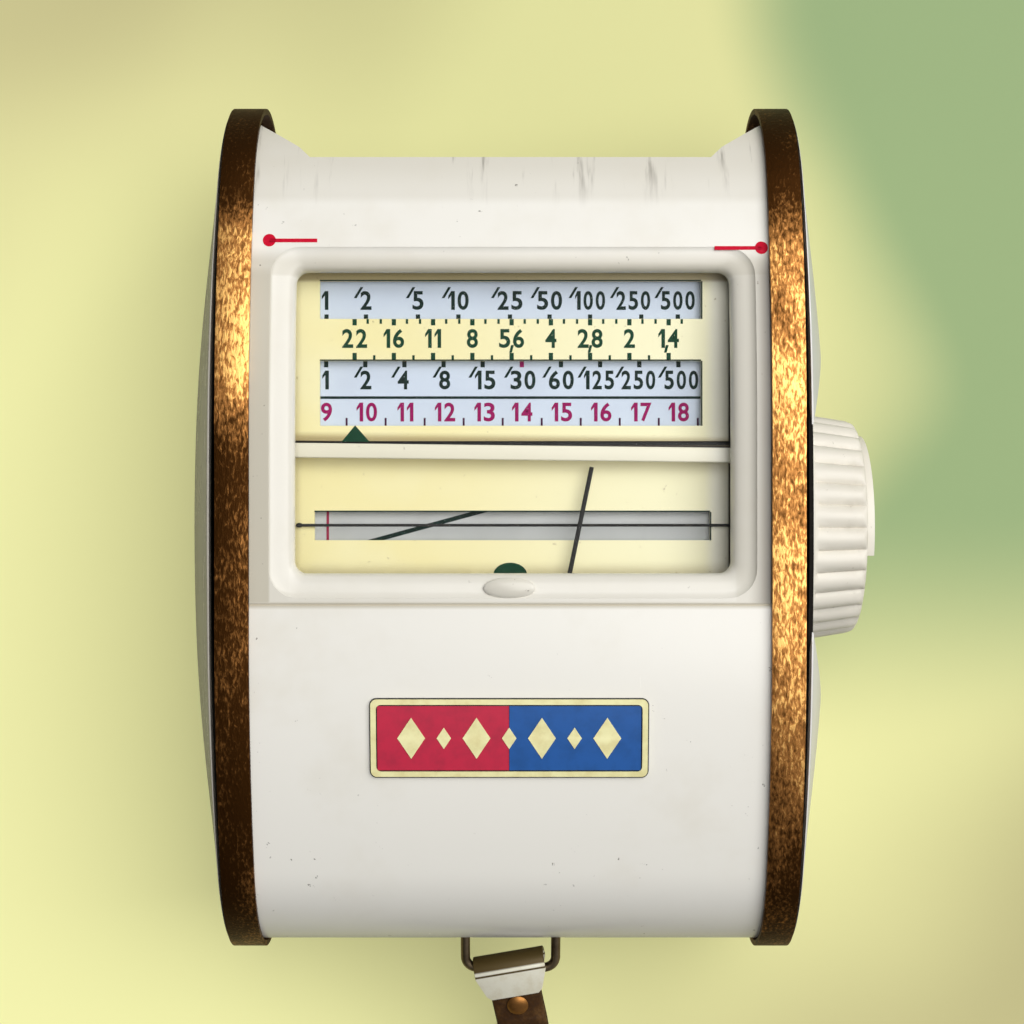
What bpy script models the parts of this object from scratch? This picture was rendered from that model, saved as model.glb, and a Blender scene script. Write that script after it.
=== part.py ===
"""Pocket exposure meter, modelled lying on its back with its window upwards.

X runs along the knob's axis, Y towards the light cell, Z out of the window.
The origin lies on the resting surface, under the middle of the meter without its strap.
"""

import math

import bmesh
import bpy
from mathutils import Matrix, Vector

# Clearances
SEAM = 0.0002
RUN = 0.0003
OVERRUN = 0.002

# Case
CASE_LENGTH = 0.0742
CASE_DEPTH = 0.0300
CASE_WIDTH = 0.0486
FACE_FLAT = 0.0160
END_ROUND_SHARE = 0.8
SHELL_WALL = 0.0018
BAND_STAND = 0.0007
BAND_WALL = 0.0005
BAND_WIDTH = 0.0028
BAND_EDGE_SHARE = 0.3
LINER_THICKNESS = 0.0005
SPIGOT_DEPTH = 0.0010
SPIGOT_WALL = 0.0012
COVER_INSET = 0.0003
COVER_RISE = 0.0025
COVER_GAP = 0.00045
COVER_WALL = 0.0010
COVER_EDGE = 0.0004
COVER_SINK = 0.0001
COVER_SPAN_SHARE = 0.972
COVER_CUT = 0.0068
SEAM_DROP = 0.00255

# Window surround
WINDOW_SIDE = 0.0062
WINDOW_BOTTOM_Y = -0.00375
WINDOW_TOP_LAP = 0.00125
WINDOW_X = 0.0002
WINDOW_CORNER = 0.0010
WINDOW_FLARE = 0.0016
GLASS_THICKNESS = 0.0007
GLASS_LAP = 0.0011
PLUG_WIDTH = 0.0042
PLUG_HEIGHT = 0.0017
PLUG_RISE = 0.0005
PLUG_DROP = 0.00115
NAME_PLATE_SIDE = 0.01275
PLATE_BORDER_HEIGHT = 0.0067
NAME_PLATE_Y = -0.01735
NAME_PLATE_THICKNESS = 0.00045
NAME_PLATE_CORNER = 0.0006

# Dial plates, seen from the window
DIAL_TOP_SHARE = 0.8133333
DIAL_THICKNESS = 0.0005
DIAL_LAP = 0.0012
LOWER_PLATE_LAP = 0.00185
LOWER_PLATE_SHARE = 0.43347
UPPER_PLATE_CLEAR = 0.0005
PLATE_GAP = 0.00035
SLOT_MARGIN = 0.00315
TIME_SLOT_SHARE = 0.92944
TIME_SLOT_HEIGHT_SHARE = 0.12903
VALUE_SLOT_SHARE = 0.61089
VALUE_SLOT_HEIGHT_SHARE = 0.22177
INDEX_SLOT_MARGIN = 0.00255
INDEX_SLOT_X = 0.00015
INDEX_SLOT_SHARE = 0.15726
INDEX_SLOT_HEIGHT_SHARE = 0.09677
INDEX_WIRE_MARGIN = 0.0009
INDEX_WIRE_RADIUS = 0.00012
INDEX_WIRE_LIFT_SHARE = 0.13636
CROSSBAR_SHARE = 0.40645
CROSSBAR_HEIGHT_SHARE = 0.06452
CROSSBAR_THICKNESS_SHARE = 0.25
CROSSBAR_LIFT_SHARE = 0.63636
CROSSBAR_MARGIN = 0.0001
CROSSBAR_FOOT = 0.0008

# Sliding scale and its rails
SLIDE_THICKNESS = 0.0003
SLIDE_TRAVEL = 0.0039
SLIDE_GAP = 0.0004
RAIL_FLOOR = 0.00035
RAIL_WALL = 0.00055
RAIL_LAP = 0.00045
PIN_RADIUS = 0.00045
PIN_HEAD_RADIUS = 0.0012
PIN_HEAD = 0.00025

# Knob, drum and film speed disc, all on the middle of the case
DRUM_GAP = 0.0003
DRUM_END_GAP = 0.0017
DRUM_WALL = 0.0006
DRUM_HUB_CLEAR = 0.0002
SHAFT_RADIUS = 0.0012
SLEEVE_WALL = 0.0010
SLEEVE_CLEAR = 0.0003
BUSH_WALL = 0.0010
BUSH_LENGTH = 0.0016
KNOB_SHARE = 0.68
KNOB_LENGTH = 0.0051
KNOB_COLLAR = 0.0005
KNOB_DRAFT = 0.0008
KNOB_EDGE = 0.0006
KNOB_FLUTES = 30
FLUTE_DEPTH = 0.0005
FLUTE_POINTS = 4
KNOB_RIM = 0.0003
KNOB_WEB = 0.0012
KNOB_HOLLOW = 0.0026
KNOB_SKIRT_SHARE = 0.84
KNOB_HUB_RADIUS = 0.0042
DISC_THICKNESS = 0.0007
DISC_SINK = 0.0003
PAD_RISE = 0.0010
PAD_EDGE_Y = -0.0024
PAD_MARGIN = 0.0001
WASHER_THICKNESS = 0.0003
WASHER_OUTER = 0.0060
WASHER_INNER = 0.0032
KNOB_TURN_DEG = 150

# Gears and the scale cam
GEAR_TEETH = 20
GEAR_PITCH_SHARE = 0.097035
GEAR_WIDTH = 0.0014
GEAR_INSET = 0.0020
GEAR_BACKLASH = 0.00010
PRESSURE_ANGLE = math.radians(20)
ADDENDUM_SHARE = 0.9
DEDENDUM_SHARE = 1.15
CAM_ANGLE = math.radians(-6)
CAM_RADIUS = 0.0040
CAM_LENGTH = 0.0120
CAM_SHAFT_RADIUS = 0.0008
GROOVE_RADIUS = 0.0010
GROOVE_LIFT = 0.0001
GROOVE_OVERTURN_DEG = 18
FIT = 0.0002

# Chassis
CHASSIS_THICKNESS = 0.0008
CHASSIS_FOOT = 0.0140
CHASSIS_CLEAR = 0.0006
CHASSIS_TUCK = 0.0001
CHASSIS_SHOULDER_SHARE = 0.64

# Light cell and its roller blind, about the middle of the round top end
LIP_ANGLE = math.radians(56)
REAR_LIP_ANGLE = math.radians(-42)
OPENING_SIDE = 0.0073
FLARE_STEP = 0.0010
FLARE_REACH = 0.0056
FLARE_HEIGHT = 0.0040
BLIND_SETBACK = 0.0036
BLIND_WALL = 0.0008
BLIND_LEAD_DEG = -33
BLIND_TAIL_DEG = -143
BLIND_SLATS = 20
SLAT_GROOVE = 0.0003
GRIP_DEG = -37
GRIP_SPAN_DEG = 5
GRIP_RISE = 0.0016
BLIND_TRAVEL_DEG = 97
CHEEK_WIDTH = 0.0058
TRACK_DEPTH = 0.0009
CHEEK_CLEAR = 0.00063
LENS_SIDE = 0.0004
LENS_CLEAR = 0.00048
LENS_BASE = 0.0009
LENS_BULGE = 0.0006
LENS_COLUMNS = 11
LENS_ROWS = 4
LENS_CELL_STEPS = 4
LENS_SETBACK = 0.0026
HOLDER_DEPTH = 0.0030
HOLDER_MARGIN = 0.0002
HOLDER_RIM = 0.0008
HOLDER_FLOOR = 0.0008
CELL_THICKNESS = 0.0010
CONTACT_THICKNESS = 0.0003
CONTACT_SHARE = 0.72
LEAD_RADIUS = 0.00035
LEAD_INSET = 0.0030
LEAD_PITCH = 0.0016

# Movement
PIVOT_X = 0.0008
PIVOT_SETBACK = 0.0011
NEEDLE_ANGLE_DEG = -11.74
BASE_CLEAR = 0.0005
BASE_THICKNESS = 0.0008
BASE_SIDE = 0.0022
BASE_BACK = 0.0036
BASE_FRONT = 0.0085
MAGNET_SETBACK = 0.0044
RING_WALL = 0.0016
RING_LIFT = 0.0020
RING_POST_RADIUS = 0.0007
CORE_STEP = 0.0034
SUPPORT_WIDTH = 0.0028
SUPPORT_THICKNESS = 0.00035
COIL_CLEAR = 0.0005
COIL_WALL = 0.0009
COIL_DEPTH = 0.0016
COIL_BOTTOM_CLEAR = 0.0004
COIL_TOP_CLEAR = 0.0003
STAFF_RADIUS = 0.00035
STAFF_RISE = 0.00185
STAFF_DROP = 0.00025
HUB_RISE = 0.0011
HUB_RADIUS = 0.0010
HUB_HEIGHT = 0.0005
NEEDLE_RADIUS = 0.00018
NEEDLE_PASS = 0.00007
NEEDLE_LIFT_SHARE = 0.40909
CRANK_START = 0.0045
CRANK_END = 0.0130
TAIL_LENGTH = 0.0042
WEIGHT_RADIUS = 0.0005
WEIGHT_LENGTH = 0.0014
SPRING_TURNS = 4
SPRING_INNER = 0.0012
SPRING_PITCH = 0.0005
SPRING_RADIUS = 0.00008
SPRING_POINTS = 12
BRIDGE_LEG = 0.0012
BRIDGE_BAR = 0.0007
BRIDGE_DEPTH = 0.0032
BRIDGE_DROP = 0.0016
JEWEL_RADIUS = 0.0010
JEWEL_HEAD_RADIUS = 0.0014
JEWEL_HEAD = 0.0006
JEWEL_BITE = 0.0011
SCREW_SLOT = 0.0004
ZERO_RADIUS = 0.0019
ZERO_CLEAR = 0.00028
ZERO_SLOT = 0.0007
ZERO_PIN_RADIUS = 0.0004
ZERO_PIN_OFFSET = 0.0011
ZERO_PIN_LENGTH = 0.0004

# Strap ring, clip and strap
RING_SETBACK = 0.0036
RING_HALF_WIDTH = 0.00406
RING_REACH = 0.0067
WIRE_RADIUS = 0.00042
RING_CORNER = 0.0009
RING_END_X = 0.0012
RING_DROOP_DEG = 20
RING_SLOT_HALF = 0.0028
LUG_WIDTH = 0.0046
LUG_DEPTH = 0.0017
LUG_HEIGHT = 0.0028
CLIP_THICKNESS = 0.00035
CLIP_HALF_GAP = 0.00095
CLIP_FOLD_WIDTH = 0.0064
CLIP_TAB_WIDTH = 0.0051
CLIP_BACK_WIDTH = 0.0038
CLIP_CHAMFER = 0.0005
CLIP_TAB = 0.0023
CLIP_BACK_TAB = 0.0046
CLIP_TILT_DEG = 11
RIVET_DROP = 0.0034
RIVET_RADIUS = 0.00045
RIVET_HEAD_RADIUS = 0.00095
RIVET_HEAD = 0.0003
STRAP_WIDTH = 0.0045
STRAP_THICKNESS = 0.00075
STRAP_LAYER_GAP = 0.00012
STRAP_START = 0.0013
STRAP_STEPS = 72

# Facets
END_STEPS = 8
CROWN_STEPS = 3
ROUND_STEPS = 36
SMALL_STEPS = 16
LEAD_STEPS = 22

# The strap from the ring's axis: the middle of its two runs as x, y, z and turn share, then
# its open loop on the table as x and y
STRAP_RUN = (
    (0.00112, -0.01170, 0.01072, 0.0),
    (0.00190, -0.01530, 0.00850, 0.35),
    (0.00270, -0.01910, 0.00500, 0.75),
    (0.00340, -0.02370, 0.00300, 1.0),
)
STRAP_LOOP = (
    (0.00720, -0.03050),
    (0.01260, -0.04050),
    (0.01700, -0.05250),
    (0.01700, -0.06450),
    (0.01150, -0.07500),
    (0.00250, -0.07900),
    (-0.00650, -0.07450),
    (-0.01200, -0.06350),
    (-0.01150, -0.05150),
    (-0.00650, -0.04000),
    (-0.00080, -0.03050),
)

# Sizes that follow from those above
MIDDLE = CASE_DEPTH / 2
END_RADIUS = END_ROUND_SHARE * MIDDLE
END_Y = CASE_LENGTH / 2 - END_RADIUS
CROWN_RUN = CASE_LENGTH / 2 - FACE_FLAT / 2 - END_RADIUS
CROWN_ANGLE = 2 * math.atan2(MIDDLE - END_RADIUS, CROWN_RUN)
CROWN_RADIUS = END_RADIUS + CROWN_RUN / math.sin(CROWN_ANGLE)
HALF_WIDTH = CASE_WIDTH / 2
INNER_INSET = BAND_STAND + SHELL_WALL
LINER_X = HALF_WIDTH + RUN
COVER_X = LINER_X + LINER_THICKNESS + SEAM
COVER_FOOT = HALF_WIDTH + COVER_GAP
LINER_INSET = COVER_INSET + COVER_WALL + SEAM
WINDOW_WIDTH = CASE_WIDTH - 2 * WINDOW_SIDE
PLATE_BORDER_WIDTH = CASE_WIDTH - 2 * NAME_PLATE_SIDE
DIAL_TOP = DIAL_TOP_SHARE * CASE_DEPTH
GLASS_UNDER = CASE_DEPTH - INNER_INSET - SEAM - GLASS_THICKNESS
PANE_GAP = GLASS_UNDER - DIAL_TOP
NEEDLE_Z = DIAL_TOP + NEEDLE_LIFT_SHARE * PANE_GAP
INDEX_WIRE_Z = DIAL_TOP + INDEX_WIRE_LIFT_SHARE * PANE_GAP
CROSSBAR_UNDER = DIAL_TOP + CROSSBAR_LIFT_SHARE * PANE_GAP
CROSSBAR_TOP = CROSSBAR_UNDER + CROSSBAR_THICKNESS_SHARE * PANE_GAP
DIAL_BOTTOM = DIAL_TOP - DIAL_THICKNESS
DIAL_WIDTH = WINDOW_WIDTH + 2 * DIAL_LAP
SLOT_WIDTH = DIAL_WIDTH - 2 * SLOT_MARGIN
INDEX_SLOT_WIDTH = DIAL_WIDTH - 2 * INDEX_SLOT_MARGIN
INDEX_WIRE_LENGTH = DIAL_WIDTH - 2 * INDEX_WIRE_MARGIN
CROSSBAR_LENGTH = DIAL_WIDTH - 2 * CROSSBAR_MARGIN
CHASSIS_INNER_X = DIAL_WIDTH / 2 - CHASSIS_TUCK
SLIDE_LENGTH = SLOT_WIDTH + 2 * SLIDE_TRAVEL
RAIL_LENGTH = 2 * (CHASSIS_INNER_X + CHASSIS_THICKNESS)
DRUM_LENGTH = 2 * (CHASSIS_INNER_X - DRUM_END_GAP)
DRUM_RADIUS = DIAL_BOTTOM - DRUM_GAP - MIDDLE
SLEEVE_RADIUS = SHAFT_RADIUS + SLEEVE_CLEAR + SLEEVE_WALL
BUSH_BORE = SLEEVE_RADIUS + SLEEVE_CLEAR
KNOB_RADIUS = KNOB_SHARE * MIDDLE
COVER_CUT_RADIUS = KNOB_RADIUS + COVER_CUT
KNOB_X = COVER_X
KNOB_FACE_X = KNOB_X + KNOB_LENGTH
KNOB_FACE_RADIUS = KNOB_RADIUS - KNOB_DRAFT
RECESS_RADIUS = KNOB_FACE_RADIUS - KNOB_EDGE - KNOB_RIM
DISC_X = KNOB_FACE_X - DISC_SINK - DISC_THICKNESS
WASHER_X = DISC_X - RUN - WASHER_THICKNESS
RECESS_FLOOR_X = WASHER_X - SEAM
GEAR_PITCH_RADIUS = GEAR_PITCH_SHARE * CASE_LENGTH
GEAR_MODULE = 2 * GEAR_PITCH_RADIUS / GEAR_TEETH
GEAR_TIP_RADIUS = GEAR_PITCH_RADIUS + ADDENDUM_SHARE * GEAR_MODULE
GEAR_X = HALF_WIDTH - GEAR_INSET - GEAR_WIDTH / 2
CAM_Y = 2 * GEAR_PITCH_RADIUS * math.cos(CAM_ANGLE)
CAM_Z = MIDDLE + 2 * GEAR_PITCH_RADIUS * math.sin(CAM_ANGLE)
CAM_LEAD_PER_RADIAN = SLIDE_TRAVEL / math.radians(KNOB_TURN_DEG)
CHEEK_INNER_Y = CAM_Y + GEAR_TIP_RADIUS + CHEEK_CLEAR
CHASSIS_TOP_Y = CHEEK_INNER_Y - CHASSIS_CLEAR
UPPER_PLATE_TOP_Y = CHEEK_INNER_Y - UPPER_PLATE_CLEAR
WINDOW_HEIGHT = UPPER_PLATE_TOP_Y - WINDOW_TOP_LAP - WINDOW_BOTTOM_Y
WINDOW_Y = WINDOW_BOTTOM_Y + WINDOW_HEIGHT / 2
SEAM_Y = WINDOW_BOTTOM_Y - SEAM_DROP
PLUG_Y = WINDOW_BOTTOM_Y - PLUG_DROP
LOWER_PLATE_BOTTOM_Y = WINDOW_BOTTOM_Y - LOWER_PLATE_LAP
LOWER_PLATE_TOP_Y = WINDOW_BOTTOM_Y + LOWER_PLATE_SHARE * WINDOW_HEIGHT
TIME_SLOT_Y = WINDOW_BOTTOM_Y + TIME_SLOT_SHARE * WINDOW_HEIGHT
TIME_SLOT_HEIGHT = TIME_SLOT_HEIGHT_SHARE * WINDOW_HEIGHT
VALUE_SLOT_Y = WINDOW_BOTTOM_Y + VALUE_SLOT_SHARE * WINDOW_HEIGHT
VALUE_SLOT_HEIGHT = VALUE_SLOT_HEIGHT_SHARE * WINDOW_HEIGHT
INDEX_SLOT_Y = WINDOW_BOTTOM_Y + INDEX_SLOT_SHARE * WINDOW_HEIGHT
INDEX_SLOT_HEIGHT = INDEX_SLOT_HEIGHT_SHARE * WINDOW_HEIGHT
CROSSBAR_Y = WINDOW_BOTTOM_Y + CROSSBAR_SHARE * WINDOW_HEIGHT
CROSSBAR_HEIGHT = CROSSBAR_HEIGHT_SHARE * WINDOW_HEIGHT
SLIDE_TOP = DIAL_BOTTOM - SLIDE_GAP
SLIDE_BOTTOM = SLIDE_TOP - SLIDE_THICKNESS
RAIL_FLOOR_TOP = SLIDE_BOTTOM - RUN
RAIL_BOTTOM = RAIL_FLOOR_TOP - RAIL_FLOOR
UPPER_PLATE_BOTTOM_Y = LOWER_PLATE_TOP_Y + PLATE_GAP
SLIDE_TOP_Y = UPPER_PLATE_TOP_Y - RAIL_WALL - RUN
SLIDE_BOTTOM_Y = UPPER_PLATE_BOTTOM_Y + RAIL_WALL
OPENING_WIDTH = CASE_WIDTH - 2 * OPENING_SIDE
LIP_Z = MIDDLE + (END_RADIUS - BAND_STAND) * math.sin(LIP_ANGLE)
LIP_Y = END_Y + (END_RADIUS - BAND_STAND) * math.cos(LIP_ANGLE)
REAR_LIP_Z = MIDDLE + (END_RADIUS - BAND_STAND) * math.sin(REAR_LIP_ANGLE)
BLIND_RADIUS = END_RADIUS - BLIND_SETBACK
GRIP_RADIUS = BLIND_RADIUS + GRIP_RISE
CHEEK_X = OPENING_WIDTH / 2 + RUN
BLIND_HALF = CHEEK_X + TRACK_DEPTH - RUN
LENS_WIDTH = OPENING_WIDTH - 2 * LENS_SIDE
LENS_REACH = BLIND_RADIUS - BLIND_WALL - LENS_CLEAR
LENS_HEIGHT = 2 * math.sqrt(LENS_REACH**2 - (LENS_SETBACK + LENS_BASE) ** 2)
LENS_Y = END_Y + LENS_SETBACK
HOLDER_Y = LENS_Y - RUN
LEAD_X = OPENING_WIDTH / 2 - LEAD_INSET
PIVOT_Y = PIVOT_SETBACK - END_Y
BASE_BOTTOM = MIDDLE - END_RADIUS + INNER_INSET + BASE_CLEAR
BASE_TOP = BASE_BOTTOM + BASE_THICKNESS
BRIDGE_TOP = DIAL_BOTTOM - BRIDGE_DROP
RING_RADIUS = END_RADIUS - MAGNET_SETBACK
CORE_RADIUS = RING_RADIUS - CORE_STEP
BASE_WIDTH = 2 * (RING_RADIUS + BASE_SIDE)
STAFF_TOP = BRIDGE_TOP - JEWEL_BITE
COIL_TOP = STAFF_TOP - STAFF_RISE
COIL_INNER_TOP = COIL_TOP - COIL_WALL
SUPPORT_BOTTOM = COIL_INNER_TOP - COIL_TOP_CLEAR - SUPPORT_THICKNESS
RING_TOP = SUPPORT_BOTTOM - SEAM
RING_BOTTOM = BASE_TOP + RING_LIFT
CORE_BOTTOM = RING_BOTTOM + COIL_BOTTOM_CLEAR
COIL_INNER_BOTTOM = CORE_BOTTOM - COIL_BOTTOM_CLEAR
COIL_BOTTOM = COIL_INNER_BOTTOM - COIL_WALL
COIL_INNER_HALF = CORE_RADIUS + COIL_CLEAR
HUB_Z = COIL_TOP + HUB_RISE
NEEDLE_LENGTH = CROSSBAR_Y - PIVOT_Y + NEEDLE_PASS
RING_AXIS_Y = RING_SETBACK - CASE_LENGTH / 2
BAR_Y = RING_AXIS_Y - RING_REACH
KNOB_REACH = KNOB_FACE_X - DISC_SINK + PAD_RISE
COVER_REACH = COVER_X + COVER_RISE
RING_DROOP = math.radians(RING_DROOP_DEG)
RING_FOOT_Y = RING_AXIS_Y - RING_REACH * math.cos(RING_DROOP) - WIRE_RADIUS
ORIGIN_X = (KNOB_REACH - COVER_REACH) / 2
ORIGIN_Y = (CASE_LENGTH / 2 + RING_FOOT_Y) / 2

# Colour, roughness, metallic and alpha of each finish
FINISHES = {
    "white_plastic": ((0.86, 0.85, 0.81), 0.22, 0.0, 1.0),
    "ivory_plastic": ((0.82, 0.79, 0.72), 0.35, 0.0, 1.0),
    "grey_plastic": ((0.70, 0.70, 0.70), 0.30, 0.0, 1.0),
    "black_plastic": ((0.02, 0.02, 0.02), 0.45, 0.0, 1.0),
    "clear_plastic": ((0.95, 0.97, 0.97), 0.05, 0.0, 0.3),
    "aged_brass": ((0.50, 0.30, 0.10), 0.40, 1.0, 1.0),
    "brass": ((0.78, 0.60, 0.30), 0.30, 1.0, 1.0),
    "bronze_wire": ((0.20, 0.14, 0.08), 0.40, 1.0, 1.0),
    "steel": ((0.60, 0.60, 0.62), 0.30, 1.0, 1.0),
    "soft_iron": ((0.35, 0.35, 0.36), 0.50, 1.0, 1.0),
    "magnet_alloy": ((0.25, 0.25, 0.27), 0.55, 1.0, 1.0),
    "copper_winding": ((0.55, 0.22, 0.08), 0.45, 1.0, 1.0),
    "cream_enamel": ((0.90, 0.83, 0.60), 0.45, 0.0, 1.0),
    "pale_print": ((0.70, 0.77, 0.84), 0.50, 0.0, 1.0),
    "black_enamel": ((0.01, 0.01, 0.01), 0.40, 0.0, 1.0),
    "red_blue_enamel": ((0.50, 0.08, 0.14), 0.30, 0.0, 1.0),
    "selenium": ((0.12, 0.10, 0.10), 0.35, 0.6, 1.0),
    "red_wire": ((0.50, 0.04, 0.03), 0.50, 0.0, 1.0),
    "brown_leather": ((0.13, 0.06, 0.03), 0.60, 0.0, 1.0),
}


def clear_scene():
    """Removes every object that the scene started with."""
    for each in list(bpy.data.objects):
        bpy.data.objects.remove(each, do_unlink=True)


def collection(name):
    """A new collection linked to the scene."""
    made = bpy.data.collections.new(name)
    bpy.context.scene.collection.children.link(made)
    return made


def material(name):
    """The finish of that name, made once."""
    found = bpy.data.materials.get(name)
    if found:
        return found
    colour, roughness, metallic, alpha = FINISHES[name]
    made = bpy.data.materials.new(name)
    made.use_nodes = True
    made.diffuse_color = (*colour, alpha)
    shader = made.node_tree.nodes["Principled BSDF"]
    shader.inputs["Base Color"].default_value = (*colour, 1)
    shader.inputs["Roughness"].default_value = roughness
    shader.inputs["Metallic"].default_value = metallic
    shader.inputs["Alpha"].default_value = alpha
    return made


# Turns that carry a flat outline's own axes on to the meter's
ALONG = {
    "X": Matrix(((0, 0, 1), (1, 0, 0), (0, 1, 0))).to_4x4(),
    "Y": Matrix(((0, 1, 0), (0, 0, 1), (1, 0, 0))).to_4x4(),
    "Z": Matrix.Identity(4),
}


def add_object(name, mesh, finish, body, smooth=True):
    """A piece with its material, carried by the empty of its body."""
    piece = bpy.data.objects.new(name, mesh)
    if finish:
        PARTS.objects.link(piece)
        mesh.materials.append(material(finish))
    else:
        CUTTERS.objects.link(piece)
        piece.hide_render = True
        piece.display_type = "WIRE"
    if smooth:
        mesh.shade_smooth()
        mesh.set_sharp_from_angle(angle=math.radians(32))
    carry(piece, body)
    return piece


def carry(piece, body):
    """Parents the piece to its body's empty, keeping its place in the case."""
    empty = BODIES[body]
    piece.parent = empty
    piece.matrix_parent_inverse = Matrix.Translation(-empty.location)


def mesh_of_curve(curve):
    """The welded mesh of a curve, in the curve's own axes."""
    shown = bpy.data.objects.new("outline", curve)
    bpy.context.scene.collection.objects.link(shown)
    graph = bpy.context.evaluated_depsgraph_get()
    mesh = bpy.data.meshes.new_from_object(shown.evaluated_get(graph))
    bpy.data.objects.remove(shown, do_unlink=True)
    bm = bmesh.new()
    bm.from_mesh(mesh)
    bmesh.ops.remove_doubles(bm, verts=bm.verts, dist=1e-7)
    bmesh.ops.recalc_face_normals(bm, faces=bm.faces)
    bm.to_mesh(mesh)
    bm.free()
    mesh.materials.clear()
    return mesh


def add_spline(curve, points, closed):
    """A straight-sided spline through the points, each given as two or three numbers."""
    spline = curve.splines.new("POLY")
    spline.points.add(len(points) - 1)
    for each, point in zip(spline.points, points):
        place = tuple(point) + (0.0,) * (3 - len(point))
        each.co = (*place, 1.0)
    spline.use_cyclic_u = closed


def prism(name, loops, low, high, along, finish, body="case"):
    """A flat outline, with further loops as holes, drawn out from low to high along an axis."""
    curve = bpy.data.curves.new(name, "CURVE")
    curve.dimensions = "2D"
    curve.fill_mode = "BOTH"
    curve.extrude = (high - low) / 2
    for loop in loops:
        add_spline(curve, loop, True)
    mesh = mesh_of_curve(curve)
    move = Matrix.Translation(Vector((0, 0, (high + low) / 2)))
    mesh.transform(ALONG[along] @ move)
    return add_object(name, mesh, finish, body)


def wire(name, points, radius, finish, body="case", closed=False):
    """A round wire through the points."""
    curve = bpy.data.curves.new(name, "CURVE")
    curve.dimensions = "3D"
    curve.bevel_depth = radius
    curve.bevel_resolution = 2
    curve.use_fill_caps = not closed
    add_spline(curve, points, closed)
    return add_object(name, mesh_of_curve(curve), finish, body)


def turned(name, profile, centre, along, finish, body="case", steps=ROUND_STEPS):
    """A turned piece: radius and height along the axis, down its outer side and closed."""
    bm = bmesh.new()
    points = [bm.verts.new((radius, 0, height)) for radius, height in profile]
    for one, other in zip(points, points[1:]):
        bm.edges.new((one, other))
    if min(profile[0][0], profile[-1][0]) > 0:
        bm.edges.new((points[-1], points[0]))
    mesh = bpy.data.meshes.new(name)
    bm.to_mesh(mesh)
    bm.free()
    piece = add_object(name, mesh, finish, body, smooth=False)
    piece.matrix_basis = Matrix.Translation(Vector(centre)) @ ALONG[along]
    screw = piece.modifiers.new("turn", "SCREW")
    screw.steps = screw.render_steps = steps
    screw.use_merge_vertices = True
    screw.merge_threshold = 1e-6
    screw.use_smooth_shade = True
    return piece


def rod(name, radius, low, high, centre, along, finish, body="case", steps=SMALL_STEPS):
    """A plain round bar from low to high along an axis."""
    profile = [(0, high), (radius, high), (radius, low), (0, low)]
    return turned(name, profile, centre, along, finish, body, steps)


def tube(name, outer, inner, low, high, centre, along, finish, body="case", steps=ROUND_STEPS):
    """A plain round tube from low to high along an axis."""
    profile = [(outer, high), (outer, low), (inner, low), (inner, high)]
    return turned(name, profile, centre, along, finish, body, steps)


def block(name, low, high, finish, body="case"):
    """A box between two corners."""
    low, high = Vector(low), Vector(high)
    bm = bmesh.new()
    place = Matrix.Translation((low + high) / 2) @ Matrix.Diagonal((*(high - low), 1))
    bmesh.ops.create_cube(bm, size=1, matrix=place)
    mesh = bpy.data.meshes.new(name)
    bm.to_mesh(mesh)
    bm.free()
    return add_object(name, mesh, finish, body, smooth=False)


def loft(name, loops, finish, body="case"):
    """A skin over loops of equally many points, closed by a flat face at each end."""
    bm = bmesh.new()
    rows = [[bm.verts.new(point) for point in loop] for loop in loops]
    for row, following in zip(rows, rows[1:]):
        for i, vertex in enumerate(row):
            j = (i + 1) % len(row)
            bm.faces.new((vertex, row[j], following[j], following[i]))
    bm.faces.new(rows[0])
    bm.faces.new(rows[-1])
    bmesh.ops.recalc_face_normals(bm, faces=bm.faces)
    mesh = bpy.data.meshes.new(name)
    bm.to_mesh(mesh)
    bm.free()
    return add_object(name, mesh, finish, body)


def combine(piece, other, operation="DIFFERENCE"):
    """Cuts the other shape from the piece, or joins or keeps what they share."""
    step = piece.modifiers.new(operation.lower(), "BOOLEAN")
    step.operation = operation
    step.object = other
    return piece


def bevelled(piece, width, segments=2):
    """Rounds the piece's sharp edges."""
    step = piece.modifiers.new("edge", "BEVEL")
    step.width = width
    step.segments = segments
    step.limit_method = "ANGLE"
    step.angle_limit = math.radians(50)
    return piece


def arc(centre, radius, start, end, steps):
    """Points of an arc from start to end, in radians, both ends included."""
    turns = [start + (end - start) * i / steps for i in range(steps + 1)]
    return [(centre[0] + radius * math.cos(t), centre[1] + radius * math.sin(t)) for t in turns]


def quarter_outline(inset):
    """The case's side view from its tip to the edge of its flat face, about its middle."""
    turn = math.pi / 2 - CROWN_ANGLE
    end = arc((END_Y, 0), END_RADIUS - inset, 0, turn, END_STEPS)
    centre = (FACE_FLAT / 2, MIDDLE - CROWN_RADIUS)
    crown = arc(centre, CROWN_RADIUS - inset, turn, math.pi / 2, CROWN_STEPS)
    return end + crown[1:]


def case_outline(inset):
    """The case's side view as y and z, drawn in by inset."""
    quarter = quarter_outline(inset)
    above = quarter + [(-y, z) for y, z in reversed(quarter)]
    below = [(-y, -z) for y, z in quarter[1:]] + [(y, -z) for y, z in reversed(quarter[1:])]
    return [(y, z + MIDDLE) for y, z in above + below]


def face_height(y, inset):
    """Height of the case's front at y, drawn in by inset."""
    beyond = max(0.0, abs(y) - FACE_FLAT / 2)
    radius = CROWN_RADIUS - inset
    return CASE_DEPTH - CROWN_RADIUS + math.sqrt(radius**2 - min(beyond, radius) ** 2)


def face_strip(low_y, high_y, outer, inner, steps):
    """Side view of a sheet that follows the case's front between two insets."""
    ys = [low_y + (high_y - low_y) * i / steps for i in range(steps + 1)]
    over = [(y, face_height(y, outer)) for y in ys]
    under = [(y, face_height(y, inner)) for y in reversed(ys)]
    return over + under


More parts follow.
